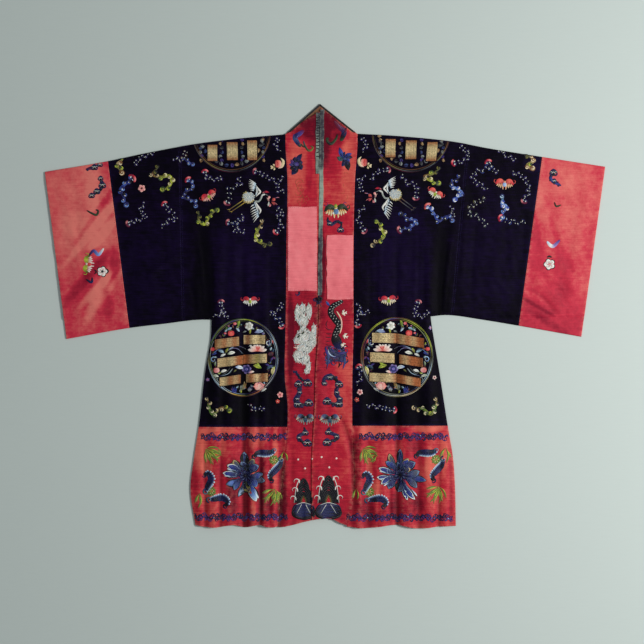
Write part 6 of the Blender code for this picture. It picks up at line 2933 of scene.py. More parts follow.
RING_LEFT = (
    "silver ice navy olive lime violet olive leaf navy olive silver ice amber moss rust silver violet ice",
    "navy silver navy moss leaf violet olive ice ink brown navy grey silver",
    "ice silver navy moss olive grey silver leaf silver ice navy plum silver ice",
)
RING_RIGHT = (
    "olive lime moss lime olive violet lime olive plum brown "
    "silver grey navy silver cream brown silver ice olive",
    "silver lime olive plum lime olive brown grey silver olive cream olive silver",
    "navy silver lime plum ink navy rust silver olive silver navy ice olive",
)
RING_SHOULDER = (
    "olive ink brown olive grey ink grey olive brown ink", "brown grey plum ink navy brown", "ink brown ink"
)
# What grows round the left medallion's bars: x, y, kind, reach, angle and threads. The right one mirrors it
GARDEN = (
    (17, 91, "rose", 12.5, 20, "olive white white"), (21, 75, "leaf", 14, 80, "olive lime"),
    (-35, 70, "berry", 9.5, 0, "red coral red"), (-52, 70, "berry", 3.6, 0, "red pink"),
    (-24, 98, "berry", 5, 0, "red pink"), (-42, 91, "berry", 2.6, 0, "violet pink"),
    (-12, 97, "leaf", 20, 80, "moss leaf lime"), (-40, 82, "leaf", 17, 25, "teal ice"),
    (-16, 80, "leaf", 15, -50, "silver ice"), (-48, 84, "leaf", 11, 60, "moss leaf"),
    (46, 74, "leaf", 26, 8, "violet ice"), (42, 80, "berry", 3, 0, "ice white"),
    (58, 68, "leaf", 14, -35, "navy lilac"), (4, 74, "leaf", 12, 20, "ink silver"),
    (-89, 24, "berry", 6.4, 0, "coral red"), (-84, 10, "leaf", 17, 20, "navy blue"),
    (-86, -6, "coil", 8.5, 40, "ice sky white"), (-80, -18, "leaf", 14, 80, "leaf silver"),
    (-47, 19, "leaf", 17, 60, "moss olive lime"), (-58, 6, "leaf", 17, 25, "silver white"),
    (-34, 12, "leaf", 23, 12, "leaf white white"), (-64, 17, "leaf", 18, -20, "teal ice"),
    (41, 18, "side_lotus", 28, 90, "coral blush white"), (21, 34, "leaf", 9, 20, "silver white"),
    (74, 41, "coil", 8, 60, "ice white sky"), (86, 46, "leaf", 14, 110, "plum coral"),
    (80, 10, "berry", 7.5, 0, "plum ink plum"), (83, -6, "leaf", 14, 60, "ink violet"),
    (88, 20, "leaf", 12, 70, "navy teal"), (-77, -37, "berry", 9, 30, "coral pink blush"),
    (-56, -40, "leaf", 19, 18, "silver white white"), (-11, -30, "leaf", 24, -12, "sky white ice"),
    (10, -34, "rose", 14, 10, "blue navy lilac"), (10, -34, "berry", 3.4, 0, "pink red"),
    (24, -43, "leaf", 17, 15, "pink blush white"), (41, -27, "leaf", 26, -20, "olive lime leaf"),
    (43, -22, "leaf", 18, 40, "leaf lime"), (-23, -39, "leaf", 11, 40, "moss olive"),
    (76, -29, "leaf", 20, 40, "ink teal violet"), (70, -22, "leaf", 14, -30, "navy violet"),
    (88, -39, "leaf", 26, 75, "olive straw lime"), (-80, -54, "leaf", 19, -10, "leaf white"),
    (-70, -64, "coil", 7, 0, "silver teal"), (-20, -104, "blades", 24, 118, "violet blue navy"),
    (-6, -96, "blades", 20, 60, "moss silver"), (4, -84, "leaf", 22, 60, "olive brown"),
    (20, -100, "blades", 16, 90, "ink silver violet"), (46, -83, "berry", 14, 0, "coral blush pink"),
    (36, -86, "leaf", 16, -20, "pink blush"), (58, -82, "leaf", 14, 40, "blush coral"),
    (34, -72, "leaf", 12, 30, "olive lime"), (60, -94, "leaf", 18, 30, "silver white"),
)
# Fine stems between the bars: route and threads
TENDRILS = (
    (((-40, 25), (-23, 32), (-6, 31), (8, 24)), "ice violet silver"),
    (((-46, 20), (-28, 27), (-14, 24), (-2, 12)), "silver lilac ice"),
    (((-84, 14), (-74, 22), (-62, 24), (-54, 18)), "sky navy"),
    (((-30, -32), (-42, -46), (-58, -52), (-68, -54)), "silver ice violet"),
    (((-36, -28), (-46, -40), (-54, -47), (-62, -48)), "ink silver"),
    (((4, -70), (0, -84), (-8, -98)), "gold olive"),
    (((70, 30), (80, 38), (82, 50), (76, 58)), "teal ice"),
)
OUTLINE = CloudKind.OUTLINE
# Each trail's route, size and threads, and its cap's thread and its kind where it has them
CLOUDS = (
    # The left sleeve and shoulder
    (((-586, 454), (-602, 438), (-586, 417)), 16, "olive gold olive gold"),
    (((-551, 440), (-539, 456), (-516, 466), (-502, 471)), 12, "grey violet", "", OUTLINE),
    (((-438, 456), (-415, 452), (-405, 475)), 12, "grey brown", "", OUTLINE),
    (((-410, 458), (-396, 447), (-385, 438)), 13, "navy blue"),
    (((-484, 431), (-500, 410), (-475, 403), (-449, 405), (-447, 382), (-468, 364)), 16,
     "moss brown olive lime lime olive"),
    (((-560, 398), (-576, 384), (-593, 366), (-583, 345), (-579, 322)), 17, "navy blue navy blue", "red"),
    (((-523, 327), (-535, 308), (-519, 287)), 11, "violet grey", "", OUTLINE),
    (((-569, 268), (-551, 274), (-536, 279)), 11, "violet grey", "plum", OUTLINE),
    (((-465, 324), (-457, 312), (-438, 297), (-434, 281), (-456, 276), (-468, 262)), 13,
     "violet grey", "red", OUTLINE),
    (((-396, 394), (-380, 375), (-405, 359), (-408, 343), (-382, 334), (-372, 321)), 14,
     "blue navy navy blue", "red"),
    (((-348, 417), (-345, 401), (-317, 396), (-304, 400)), 12, "grey violet", "red", OUTLINE),
    (((-366, 301), (-365, 276), (-348, 266), (-335, 290), (-314, 309)), 15, "moss olive lime olive olive"),
    (((-283, 329), (-276, 345), (-278, 368), (-248, 378), (-248, 396)), 14,
     "ink navy grey", "plum", OUTLINE),
    (((-202, 419), (-179, 410), (-151, 394)), 12, "violet grey", "plum", OUTLINE),
    (((-121, 401), (-136, 389), (-135, 365), (-124, 361)), 12, "grey violet", "", OUTLINE),
    (((-142, 244), (-124, 262), (-137, 284), (-122, 298), (-135, 308)), 13, "violet grey", "red", OUTLINE),
    (((-280, 271), (-263, 266), (-241, 289), (-248, 269), (-262, 248), (-238, 246)), 13,
     "blue violet grey", "plum", OUTLINE),
    (((-179, 274), (-193, 253), (-201, 227), (-184, 211), (-161, 206)), 16, "brown olive lime olive moss"),
    (((-135, 514), (-144, 495), (-135, 484)), 11, "grey violet", "", OUTLINE),
    # Round the left medallion
    (((-301, 40), (-300, 24), (-292, 12), (-317, 1)), 11, "violet grey", "plum", OUTLINE),
    (((-300, 10), (-292, 2), (-283, -3)), 9, "grey violet", "", OUTLINE),
    (((-126, -29), (-136, -7), (-156, 5), (-135, 17), (-126, 35)), 12, "blue violet", "red", OUTLINE),
    (((-340, -239), (-336, -262), (-325, -284), (-300, -266), (-276, -270)), 16,
     "brown leaf leaf brown olive"),
    (((-178, -272), (-190, -266), (-206, -270), (-217, -260)), 12, "grey blue plum", "", OUTLINE),
    # The right shoulder and sleeve
    (((108, 516), (120, 498), (113, 482)), 11, "grey violet", "", OUTLINE),
    (((182, 424), (157, 419), (136, 401)), 12, "violet grey", "plum", OUTLINE),
    (((117, 403), (99, 396), (102, 380), (107, 364)), 12, "grey violet", "", OUTLINE),
    (((331, 426), (311, 412), (288, 404), (309, 391), (327, 381)), 16, "moss olive brown lime olive"),
    (((263, 343), (265, 367), (258, 382), (235, 388), (227, 403)), 13, "grey violet", "plum", OUTLINE),
    (((389, 403), (362, 381), (384, 368), (398, 354), (375, 340)), 15, "navy navy sky blue sky"),
    (((298, 317), (315, 298), (329, 275), (351, 289), (370, 280)), 15, "sky blue navy blue", "coral"),
    (((365, 318), (370, 300), (372, 290)), 11, "violet grey", "", OUTLINE),
    (((218, 250), (245, 256), (265, 276), (241, 281), (221, 298)), 15, "navy blue navy", "plum"),
    (((113, 247), (101, 266), (96, 289), (110, 312)), 13, "violet grey", "plum", OUTLINE),
    (((152, 276), (164, 253), (171, 232), (157, 218), (137, 208)), 16, "olive lime olive brown"),
    (((374, 444), (406, 451), (416, 468), (395, 489)), 12, "violet grey", "red", OUTLINE),
    (((473, 445), (476, 431), (439, 419), (430, 396), (463, 372)), 14, "blue grey violet", "red", OUTLINE),
    (((476, 431), (496, 420)), 13, "blue violet", "", OUTLINE),
    (((506, 480), (522, 465), (546, 455)), 12, "grey violet", "", OUTLINE),
    (((586, 466), (607, 451), (586, 438), (598, 425)), 16, "moss gold olive gold"),
    (((577, 334), (591, 359), (587, 382), (574, 401), (550, 415)), 13, "grey violet", "plum", OUTLINE),
    (((463, 338), (436, 326), (415, 300), (448, 284), (465, 266)), 14, "olive moss", "", OUTLINE),
    (((517, 346), (512, 326), (525, 317), (510, 289)), 16, "teal sky sky blue"),
    (((510, 284), (536, 275), (572, 270)), 14, "blue navy", "red", OUTLINE),
    # Round the right medallion
    (((96, 36), (102, 7), (124, 13)), 12, "violet blue grey", "", OUTLINE),
    (((95, -26), (93, -8), (102, 7)), 11, "violet grey", "red", OUTLINE),
    (((270, 40), (264, 22), (259, 4), (285, -2), (296, 11)), 12, "grey violet", "plum", OUTLINE),
    (((324, -240), (320, -262), (306, -284), (282, -268), (258, -270)), 16, "brown leaf olive leaf brown"),
    (((200, -272), (172, -268), (148, -262), (128, -258)), 12, "blue grey", "red", OUTLINE),
    (((98, -147), (104, -168), (96, -192)), 13, "blue violet", "red", OUTLINE),
)
# Scrolls on the neckband and, at the end, on the cuffs: each one's route, rings, threads and half width
SCROLLS = (
    (((-93, -160), (-84, -163), (-78, -172), (-70, -182), (-60, -188), (-50, -195)), ((-50, -195, 14),),
     "navy ink ink", 3.8),
    (((-78, -200), (-73, -215), (-77, -230), (-85, -244), (-78, -257), (-48, -256)),
     ((-77, -198, 13), (-73, -222, 8), (-80, -241, 8), (-79, -257, 13), (-47, -253, 14))),
    (((-6, -199), (-1, -182), (14, -174), (30, -182), (41, -198)),
     ((41, -199, 13), (-1, -196, 9), (14, -179, 11)), "ink navy ink ink", 6.5),
    (((40, -204), (33, -215), (35, -230), (45, -244), (40, -257), (8, -250)),
     ((35, -222, 8), (43, -240, 8), (40, -256, 13), (6, -248, 14))),
    (((-60, -322), (-58, -338), (-76, -348), (-73, -360), (-53, -368)),
     ((-57, -339, 11), (-75, -353, 8), (-51, -369, 14)), "ink navy ink ink", 5),
    (((14, -322), (10, -336), (34, -346), (35, -356), (8, -366)),
     ((10, -337, 11), (34, -350, 9), (6, -367, 14)), "ink navy ink ink", 5),
    (((9, 286), (9, 272), (20, 265), (33, 273), (46, 270), (48, 258)), ((14, 267, 9), (45, 249, 11)),
     "ink navy ink ink", 4),
    (((-692, 424), (-672, 430), (-652, 438)), ((-668, 430, 11), (-652, 438, 9)), "navy plum grey navy", 4.5),
    (((-650, 396), (-645, 380), (-652, 364), (-676, 348)),
     ((-650, 398, 9), (-645, 378, 12), (-661, 360, 11), (-676, 348, 10)), "grey ink ink", 4.5),
    (((660, 416), (654, 398), (668, 386), (684, 378)), ((662, 414, 13), (664, 390, 9)), "ink blue navy", 5),
)
# Petals of the hem's flowers: angle, length, half width and threads
LOTUS_LEFT = (
    (93, 70, 15, "ink navy navy"), (124, 58, 15, "ink navy grey"), (150, 62, 13, "ink navy blue white"),
    (172, 66, 13, "ink navy blue white"), (-158, 60, 13, "navy blue sky"), (-128, 52, 13, "ink navy blue"),
    (64, 58, 13, "ink navy grey"), (36, 50, 15, "ink navy navy"), (10, 52, 13, "ink navy blue"),
    (-14, 60, 13, "ink navy grey"), (-44, 46, 15, "ink navy blue"), (-74, 50, 16, "ink ink navy"),
    (-66, 80, 17, "ink navy blue sky ice white"), (-110, 64, 10, "ink navy ice"),
    (108, 44, 13, "ink ink navy"), (48, 36, 13, "ink ink navy"),
)
LOTUS_RIGHT = (
    (90, 76, 11, "ink navy navy"), (116, 70, 12, "ink navy grey"), (138, 58, 13, "ink navy blue"),
    (162, 66, 12, "ink navy blue white"), (-176, 68, 12, "ink navy blue white"),
    (-154, 62, 12, "ink navy blue white"), (64, 54, 15, "ink navy blue"), (38, 58, 16, "ink navy navy"),
    (12, 58, 15, "ink navy grey"), (-12, 78, 12, "ink navy blue"), (-38, 62, 13, "ink navy grey"),
    (-58, 84, 12, "ink navy blue white"), (-74, 76, 11, "navy navy blue white"),
    (-98, 50, 17, "ink navy grey"), (-128, 52, 15, "ink navy navy"), (98, 40, 13, "ink ink navy"),
    (30, 36, 15, "ink ink navy"),
)
# Threads of the medallions' sprigs, of the tiger's fur and of the dragon's mane
SPRIGS = ("moss olive", "silver ice", "navy blue", "plum violet", "teal ice", "olive lime", "brown rust")
FUR = ("white", "silver", "white silver", "silver", "white ice", "silver", "white", "blush silver")
MANE = ("ink navy", "navy slate", "navy steel", "ink violet", "violet slate", "plum ink")


@dataclass
class Embroidery:
    """Places every motif on the robe."""

    work: Needlework

    def __post_init__(self) -> None:
        """Thread the needle at the plan's origin."""
        self.needle = Motif(self.work)

    def creatures(self) -> None:
        """Cranes, bats, peaches and small flowers."""
        needle = self.needle
        needle.at(-221, 345).crane("amber olive brown")
        needle.at(203, 353, -3, 1.0, True).crane("brown grey ink")
        for x, y, turn, size, wings, body, accent in (
            (-336, 346, 32, 1.0, "plum red coral", "lime leaf", "coral blush"),
            (319, 353, -28, 1.0, "plum coral red", "lime leaf", "straw white"),
            (520, 381, -3, 1.15, "plum coral red", "sky ice", "coral straw"),
            (-217, 42, 0, 1.0, "coral red plum", "leaf lime", "white white"),
            (184, 44, 4, 1.05, "coral red plum", "leaf lime", "white straw"),
            (32, 303, 2, 1.5, "ink moss ink", "teal sky", "amber cream"),
            (-57, -300, 0, 1.15, "ink ink slate cream", "teal navy", "ink silver"),
            (14, -302, 0, 1.25, "ink ink slate cream", "navy teal", "ink silver"),
            (-683, 150, 84, 1.15, "olive lime ink", "red coral", "blush white"),
        ):
            needle.at(x, y, turn, size).bat(wings, body, accent)
        for x, y, radius, petals, heart in (
            (-531, 370, 11, "rust pink blush", "ink"), (-130, -228, 9, "coral pink blush", "plum"),
            (-137, -247, 6, "red coral", "cream"), (101, -220, 9, "rust pink white", "plum"),
            (92, -242, 7, "plum coral", "cream"), (-645, 129, 15, "grey white white", "ink"),
            (650, 150, 16, "ink white white", "pink"), (-340, -184, 5, "plum lilac", "pink"),
            (317, -178, 6, "red white", "ink"), (306, -34, 6, "red sky", "white"),
        ):
            needle.at(x, y, x % 70).blossom(petals, heart, radius)
        for x, y, radius in ((-645, 129, 15), (650, 150, 16)):
            flower = needle.at(x, y, x % 70)
            for k in range(5):
                flower.ray(90 + 72 * k, 3, radius + 2, radius * 0.5, "ink", layer=0)
                flower.at(0, 0, 90 + 72 * k).curl(radius * 0.55, 0, 3.6, 120, 0.7, 0.8, "pink red", 4)
        for x, turn in ((4, 110), (60, -20)):
            needle.curl(x, 325, 9, turn, 0.9 if x < 30 else -0.9, 1.5, "plum violet")
        needle.at(31, 316).ray(90, -7, 9, 5, "moss lime olive", 0, 3)
        for x in (24, 40):
            needle.disc(x, 298, 3, "white", 5)
        needle.at(-138, 444).peach()
        needle.at(115, 448, flip=True).peach()

    def medallions(self) -> None:
        """The four round frames and what grows between their bars."""
        for x, y, radii, ring, flip in (
            (-237, -120, (100, 110), RING_LEFT, False), (208, -119, (102, 112), RING_RIGHT, True)
        ):
            self.needle.at(x, y).ring(radii, ring)
            middle = self.needle.at(x, y, flip=flip)
            for k in range(46):
                turn = math.radians(8 + 7.8 * k)
                rx, ry = (radius * (0.84 + 0.05 * math.sin(3.1 * k)) for radius in radii)
                sprig = middle.at(rx * math.cos(turn), ry * math.sin(turn), 63 * k)
                sprig.grow(Growth.LEAF, 8 + 3 * math.sin(k), 0, SPRIGS[k % 7])
                sprig.curl(0, 0, 5, 80 * k, 0.8, 0.7, SPRIGS[(k + 3) % 7])
            for dx, dy, kind, reach, angle, threads in GARDEN:
                middle.at(dx, dy).grow(Growth(kind), reach, angle, threads)
            for path, threads in TENDRILS:
                middle.band(path, 1.0, threads, TAPER, 3)
        for x in (-271, 249):
            middle = self.needle.at(x, 531)
            middle.at(0, 0, 180).ring((110, 111), RING_SHOULDER, 180)
            for k in range(19):
                angle = math.radians(186 + 9.4 * k)
                spot = middle.at(92 * math.cos(angle), 94 * math.sin(angle), 40 * k)
                threads = ("brown gold", "ink grey", "grey silver", "navy slate", "violet navy")[k % 5]
                spot.curl(0, 0, 6, 30 * k, 1.1, 1.3, threads, 2)
                spot.grow(Growth.LEAF, 13, 50 * k, threads)
            for column in (-88, -29, 31, 92):
                for k in range(6):
                    spot = middle.at(column + 3 * math.sin(2.0 * k + column), -20 - 12 * k, 70 * k)
                    names = ("grey silver", "violet navy", "brown gold", "ink grey", "navy slate")
                    threads = names[(k + column) % 5]
                    spot.curl(0, 0, 5.6, column, 0.9 if k % 2 else -0.9, 1.3, threads, 2)
                    spot.grow(Growth.LEAF, 10, 20 * k, threads)

    def collar(self) -> None:
        """The leaves and winged flowers beside the opening."""
        needle = self.needle
        for path, half, threads in (
            (((-61, 538), (-74, 527), (-87, 518), (-81, 504), (-70, 490)), 7.5,
             "plum violet navy slate navy moss"),
            (((-66, 533), (-80, 520), (-82, 512)), 1.6, "lilac violet"),
            (((-92, 527), (-89, 518), (-82, 508)), 2.6, "violet plum"),
            (((-62, 507), (-59, 495), (-50, 481), (-41, 480), (-35, 488), (-42, 493)), 3.2,
             "teal moss olive moss"),
            (((-70, 500), (-64, 492), (-58, 488)), 2.4, "moss ink"),
            (((27, 565), (42, 547), (55, 534), (51, 518), (45, 507)), 8, "plum plum navy ink moss"),
            (((33, 560), (46, 545), (53, 533)), 1.6, "lilac violet"),
            (((62, 546), (56, 530), (46, 514)), 4, "plum ink"),
            (((36, 526), (31, 512), (18, 499), (8, 504), (6, 514), (12, 513)), 4.6,
             "ink moss ink moss ink"),
        ):
            needle.band(path, half, threads, HORN if half > 3 else LEAF, 2)
        left, right = needle.at(-82, 440), needle.at(56, 456)
        for spot, angle, reach, half, threads in (
            (left, 62, 34, 9, "ink navy ink"), (left, 244, 34, 12, "ink ink navy"),
            (left, 140, 22, 8, "ink violet plum"), (left, 178, 22, 8, "ink navy violet"),
            (left, 10, 18, 10, "ink ink navy"), (left, 310, 22, 11, "ink ink navy"),
            (left, 100, 22, 10, "ink ink navy"), (left, 212, 24, 11, "ink ink"),
            (right, 112, 36, 8, "navy blue navy"), (right, 84, 20, 6, "ink navy"),
            (right, 34, 26, 7, "navy blue"), (right, 6, 24, 8, "ink navy ink"),
            (right, 166, 22, 9, "ink teal moss"), (right, -72, 36, 11, "navy ink ink"),
            (right, -110, 24, 8, "ink navy"), (right, -30, 18, 6, "navy blue"),
        ):
            spot.ray(angle, 0, reach, half * 0.86, threads, 3, 1, LEAF)
            spot.ray(angle + 8, 6, reach * 0.6, half * 0.4, "ink navy", 2, 1.5, PETAL)
            spot.ray(angle + 8, 8, reach * 0.7, 0.7, "navy steel", 3, 2, LEAF)
        left.disc(0, 0, 7, "slate violet navy", 3)
        right.disc(0, 0, 5, "navy slate", 3)
        for k in range(8):
            needle.curl(-76 + 4 * (k % 3), 385 - 9 * k, 15 - 1.4 * k, 60 * k, 0.9, 0.6, "rust brown")
            needle.curl(-58 + 6 * (k % 2), 350 - 12 * k, 7, 90 * k, -0.8, 0.5, "rust coral")
            needle.curl(60 - 8 * (k % 2), 410 - 16 * k, 8, 70 * k, 0.8, 0.5, "rust coral")
        needle.curl(-82, 66, 9, 60, -0.7, 3.4, "ink navy plum")
        knot = needle.at(-19.5, 46)
        for k, angle in enumerate((20, 66, 140, 170, 214, 262, 318, 344)):
            loop = knot.at(0, 0, angle, 0.56 + 0.22 * math.sin(2.6 * k))
            loop.band([(1, -1), (9, -5), (16.5, -1), (15, 5), (7, 4), (1, 1)], 2.6, "ink navy ink", EVEN, 4)
        for lean in (-4, 5):
            knot.band([(0, -4), (lean, -12), (lean * 2, -20)], 1.6, "ink teal", TAPER, 3)

    def tiger(self) -> None:
        """The white tiger: rows of fur about rounded masses, with dark stripes and eyes."""
        needle = self.needle
        for k, (x, y, rx, ry, lean) in enumerate((
            (-78, 8, 10, 27, 92), (-64, 16, 9, 24, 90), (-46, 14, 9, 24, 84), (-63, -14, 17, 18, 90),
            (-63, -34, 9, 12, 80), (-60, -62, 26, 27, 74), (-76, -72, 15, 18, 120), (-32, -46, 8, 26, 78),
            (-36, -74, 12, 20, 60), (-58, -92, 24, 20, 60), (-74, -116, 19, 20, 110),
            (-56, -126, 14, 16, 80), (-48, -146, 8, 18, 80), (-52, -160, 9, 8, 60),
        )):
            here = needle.at(x, y)
            here.disc(0, 0, rx * 0.88, "silver white silver", 0, ry * 0.88)
            count = int(rx * ry / 4.8)
            for n in range(count):
                spin, reach = n * GOLDEN_ANGLE, 0.94 * math.sqrt((n + 0.5) / count)
                turn = lean + 26 * math.sin(3.0 * n)
                hair = here.at(rx * reach * math.cos(spin), ry * reach * math.sin(spin), turn)
                hair.band([(-5, 0), (0, 1), (5, 0)], 0.95, FUR[(n + k) % 8], layer=1 + n % 3)
        for x, y, turn in (
            (-74, -52, 20), (-50, -50, -10), (-66, -30, 60), (-46, -72, 40), (-82, -86, 100),
            (-60, -104, 30), (-72, -2, 80), (-60, 10, 60), (-70, -124, 20), (-52, -88, -30),
            (-50, -136, 60),
        ):
            needle.at(x, y).ray(turn, -5, 6, 1.2, "grey ink", 1.5, 5, LEAF)
        for x, y in ((-77, -60), (-64, -49)):
            needle.at(x, y, 34).disc(0, 0, 4.8, "ink moss ink", 6, 2.9)
            needle.band([(x - 6, y + 4), (x, y + 6), (x + 6, y + 3)], 1.0, "ink", layer=6)
        needle.band([(-90, -80), (-81, -83), (-72, -80)], 2.2, "plum red", layer=6)
        needle.band([(-92, -90), (-84, -92), (-74, -90)], 1.8, "blush white", layer=6)

    def dragon(self) -> None:
        """The dark dragon: a scaled winding body, pale claws and a curly violet mane."""
        needle = self.needle
        body = (
            (52, 44), (36, 36), (21, 26), (17, 9), (29, -9),
            (41, -27), (33, -46), (28, -64), (37, -82), (56, -102),
        )
        needle.band(body, 10.5, "ink", HORN, 1)
        needle.band(((28, -54), (33, -72), (44, -94)), 15, "ink ink navy", HORN, 2)
        line = smooth_path(body, 4.7)
        angles = headings(line)
        for k in range(1, len(line) - 10):
            scale = needle.at(*line[k], angles[k])
            off = 3.6 * (-1) ** k
            scale.band([(1.4, off - 1.9), (-1.4, off + 1.9)], 1.15, "silver white", layer=4)
        needle.band(((34, 14), (46, -8), (48, -30), (43, -50)), 2.0, "cream blush cream", EVEN, 3)
        needle.band(((2, 44), (8, 36), (15, 28)), 4, "grey blue ink", layer=2)
        for x, y, turn in ((53, 8, 20), (56, -58, -10), (50, -84, -30)):
            claw = needle.at(x, y, turn)
            claw.disc(0, 0, 4.6, "cream white", 4)
            claw.fan(-70, 90, 5, 12, 1.8, "cream white")
        for path in (
            ((8, -12), (3, -24), (8, -34)), ((0, -32), (8, -38), (20, -40)),
            ((2, -50), (10, -52), (22, -50)), ((0, -60), (10, -62), (20, -61)),
            ((1, -72), (9, -73), (18, -72)), ((2, -82), (8, -84), (16, -84)),
        ):
            needle.band(path, 1.5, "ink plum", layer=1)
        for x, y, reach in ((22, -104, 18), (44, -112, 20), (28, -124, 20), (14, -118, 12), (50, -126, 12)):
            needle.disc(x, y, reach, "ink navy ink", 0, 9)
        for k in range(34):
            x, y = 32 + 28 * math.sin(2.4 * k), -114 + 22 * math.cos(1.7 * k)
            needle.curl(x, y, 8.5, 67 * k, 0.8 if k % 2 else -0.8, 1.8, MANE[k % 6], 1 + k % 3)
        for path, half, threads in (
            (((1, -88), (5, -104), (10, -120), (5, -154)), 4.5, "navy violet slate navy"),
            (((62, -104), (57, -120), (57, -136), (52, -154)), 3.6, "navy slate violet"),
            (((30, -104), (46, -108), (62, -104)), 4.2, "navy violet"),
            (((40, -132), (42, -142), (38, -150)), 2, "ink"),
            (((9, -96), (12, -108), (22, -116), (33, -117)), 1.8, "white ice lilac"),
        ):
            needle.band(path, half, threads, layer=4)

    def foot(self) -> None:
        """Dots, rocks and waves at the foot of the neckband."""
        for x, y in ((-78, -415), (-38, -413), (-58, -441), (-10, -408), (33, -412), (12, -438)):
            self.needle.disc(x, y, 3, "blush white")
        for x, y in ((-57, -306), (14, -308)):
            self.needle.at(x, y).fan(30, 150, 5, 13, 2.6, "teal blue sky white")
            self.needle.at(x, y).fan(60, 120, 2, 12, 1.2, "red blush")
        left, right = self.needle.at(-62, -542), self.needle.at(10, -542)
        left.rock(24, 70, (True,))
        left.sea(33, 44)
        right.rock(27, 78, (True, False))
        right.sea(37, 44)

    def hem(self) -> None:
        """Lotus, great bats, leaves and scroll borders of the hem."""
        needle = self.needle
        needle.at(-231, -463).lotus(LOTUS_LEFT)
        needle.at(217, -460).lotus(LOTUS_RIGHT)
        low = (
            ((-22, 45), (-10, 52), (-1, 36), (-10, 16), (-16, -2)),
            ((42, -44), (47, -30), (33, -20), (12, -22), (-6, -24)),
        )
        high = (
            ((-56, 8), (-48, 18), (-30, 21), (-12, 21), (2, 26)),
            ((-8, -62), (-10, -46), (4, -32), (16, -18), (22, 1)),
        )
        for x, y, wings, inner in (
            (-329, -507, low, (1, -1)), (129, -509, low, (1, -1)), (-148, -416, high, (-1, 1)),
            (321, -415, high, (-1, 1)),
        ):
            needle.at(x, y).great_bat(wings, inner)
        for x, y, start, end, count, reach in (
            (-346, -386, -86, 4, 8, 54), (-300, -402, 120, 210, 5, 28), (-146, -500, 200, 290, 6, 52),
            (-140, -506, 240, 300, 4, 40), (110, -384, -100, 0, 8, 52), (150, -400, 150, 250, 5, 34),
            (330, -494, 190, 300, 8, 52), (-362, -512, 244, 280, 3, 44), (90, -500, 250, 275, 2, 42),
            (350, -380, 240, 300, 3, 46), (-120, -392, 250, 290, 2, 40),
        ):
            needle.at(x, y).fan(start, end, count, reach, 2.7, "moss leaf olive")
            needle.at(x, y).fan(start + 9, end + 7, count, reach * 0.82, 1.5, "olive lime olive")
            needle.at(x, y).fan(start + 5, end + 3, count, reach * 0.9, 0.6, "lime straw")
        for start, end, y in ((-356, -112, -350), (-378, -112, -582), (102, 352, -349), (66, 366, -583)):
            needle.border(start, end, y)

    def cuffs(self) -> None:
        """Ribbons and curls on the cuffs."""
        for path, half, threads in (
            (((-690, 306), (-676, 298), (-662, 293), (-657, 304), (-664, 308)), 3.6, "ink moss ink"),
            (((-683, 176), (-670, 189), (-656, 178), (-641, 196)), 5, "ink violet sky white"),
            (((-692, 106), (-676, 98), (-674, 112)), 4, "ink navy ink"),
            (((643, 216), (654, 204), (664, 204), (680, 220)), 5.5, "ice white lilac violet"),
            (((664, 330), (670, 318), (684, 322)), 3, "ink moss"),
            (((-634, 138), (-628, 130), (-634, 122)), 2.5, "ink"),
            (((-668, 134), (-662, 128), (-668, 122)), 2.5, "ink"),
            (((643, 170), (650, 173), (657, 170)), 3, "ink"),
        ):
            self.needle.band(path, half, threads, HORN, 1)

    def sew(self) -> dict[str, Objects]:
        """Place the motifs and sew them.

        Returns:
            What lies on each panel, by the panel's name.
        """
        for kind, rows in ((Cloud, CLOUDS), (Scroll, SCROLLS)):
            for row in rows:
                kind(*row).sew(self.needle)
        for part in (
            self.creatures, self.medallions, self.collar, self.tiger, self.dragon, self.foot, self.hem,
            self.cuffs,
        ):
            part()
        return self.work.sew()


# The floor's corners, from above and against the clock
CORNERS = ((-1, -1), (1, -1), (1, 1), (-1, 1))


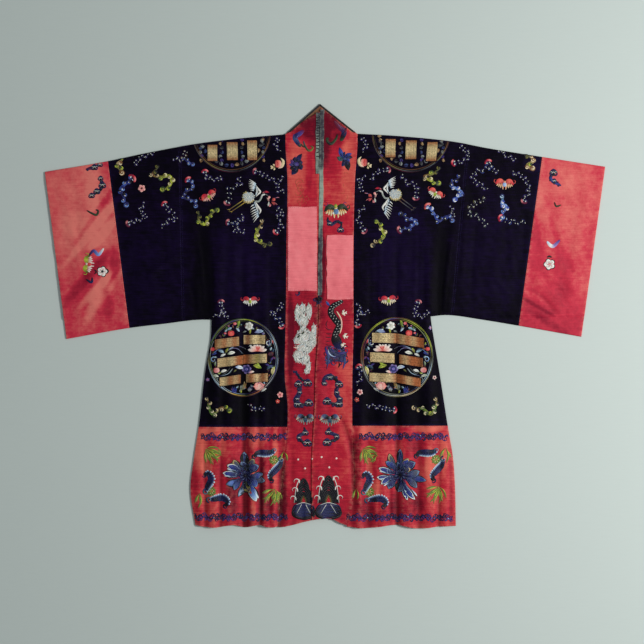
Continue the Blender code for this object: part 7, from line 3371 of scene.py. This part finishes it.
@dataclass(frozen=True)
class Stage:
    """The floor, the lights and the camera above the robe, in metres."""

    eye: tuple[float, float, float] = (-0.0087, -0.0172, 4.41)
    lens: float = 85.0
    floor_half: float = 6.0
    floor_drop: float = 0.0004
    key_power: float = 146.0
    key_size: float = 0.9
    key_place: tuple[float, float, float] = (3.2, 0.1, 2.9)
    key_tilt: float = 48.0
    key_turn: float = 92.0
    world_light: float = 0.32

    def floor(self, room: Workroom) -> None:
        """Lay the floor just below the robe.

        Args:
            room: where it is built.
        """
        half = self.floor_half
        corners = np.array([(x * half, y * half, -self.floor_drop) for x, y in CORNERS])
        material = FloorFinish("pale_floor").material(room.effects)
        put_in_scene(make_mesh("floor", corners, [[0, 1, 2, 3]], material))

    def lights(self) -> None:
        """One soft light from the upper right, and an even pale sky."""
        lamp = bpy.data.lights.new("key_light", "AREA")
        lamp.shape = "DISK"
        lamp.size = self.key_size
        lamp.energy = self.key_power
        lamp.color = (1.0, 0.985, 0.96)
        key = put_in_scene(lamp)
        key.location = self.key_place
        key.rotation_euler = (math.radians(self.key_tilt), 0, math.radians(self.key_turn))
        world = bpy.data.worlds.new("sky")
        world.use_nodes = True
        background = world.node_tree.nodes["Background"]
        background.inputs["Color"].default_value = (0.93, 0.97, 1.0, 1)
        background.inputs["Strength"].default_value = self.world_light
        bpy.context.scene.world = world

    def camera(self) -> None:
        """Look straight down, as the photograph looks straight at the robe."""
        view = put_in_scene(bpy.data.cameras.new("camera"))
        view.data.lens = self.lens
        view.location = self.eye
        bpy.context.scene.camera = view
        bpy.context.scene.view_settings.view_transform = "Standard"

    def build(self, room: Workroom) -> None:
        """Set up the floor, the lights and the camera.

        Args:
            room: where they are built.
        """
        self.floor(room)
        self.lights()
        self.camera()


def write_sizes() -> None:
    """Bring the scene up to date."""
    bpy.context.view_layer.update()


def main() -> None:
    """Build the robe piece by piece."""
    logging.basicConfig(level=logging.INFO, format="%(name)s: %(message)s")
    room = Workroom()
    Stage().build(room)
    Panels(room).build()
    Sleeves(room).build()
    covers = Covers()
    pipings = Neckband(room).build(covers)
    KnotButton(room).build()
    trees = Trees()
    gold = GoldBars(room, trees).build(covers)
    sewn = Embroidery(Needlework(room, trees, covers)).sew()
    stitches = Seams(room, trees).build()
    room.declare_sheets([gold, sewn, stitches, {"neck_facing": pipings}])
    write_sizes()


if __name__ == "__main__":
    main()
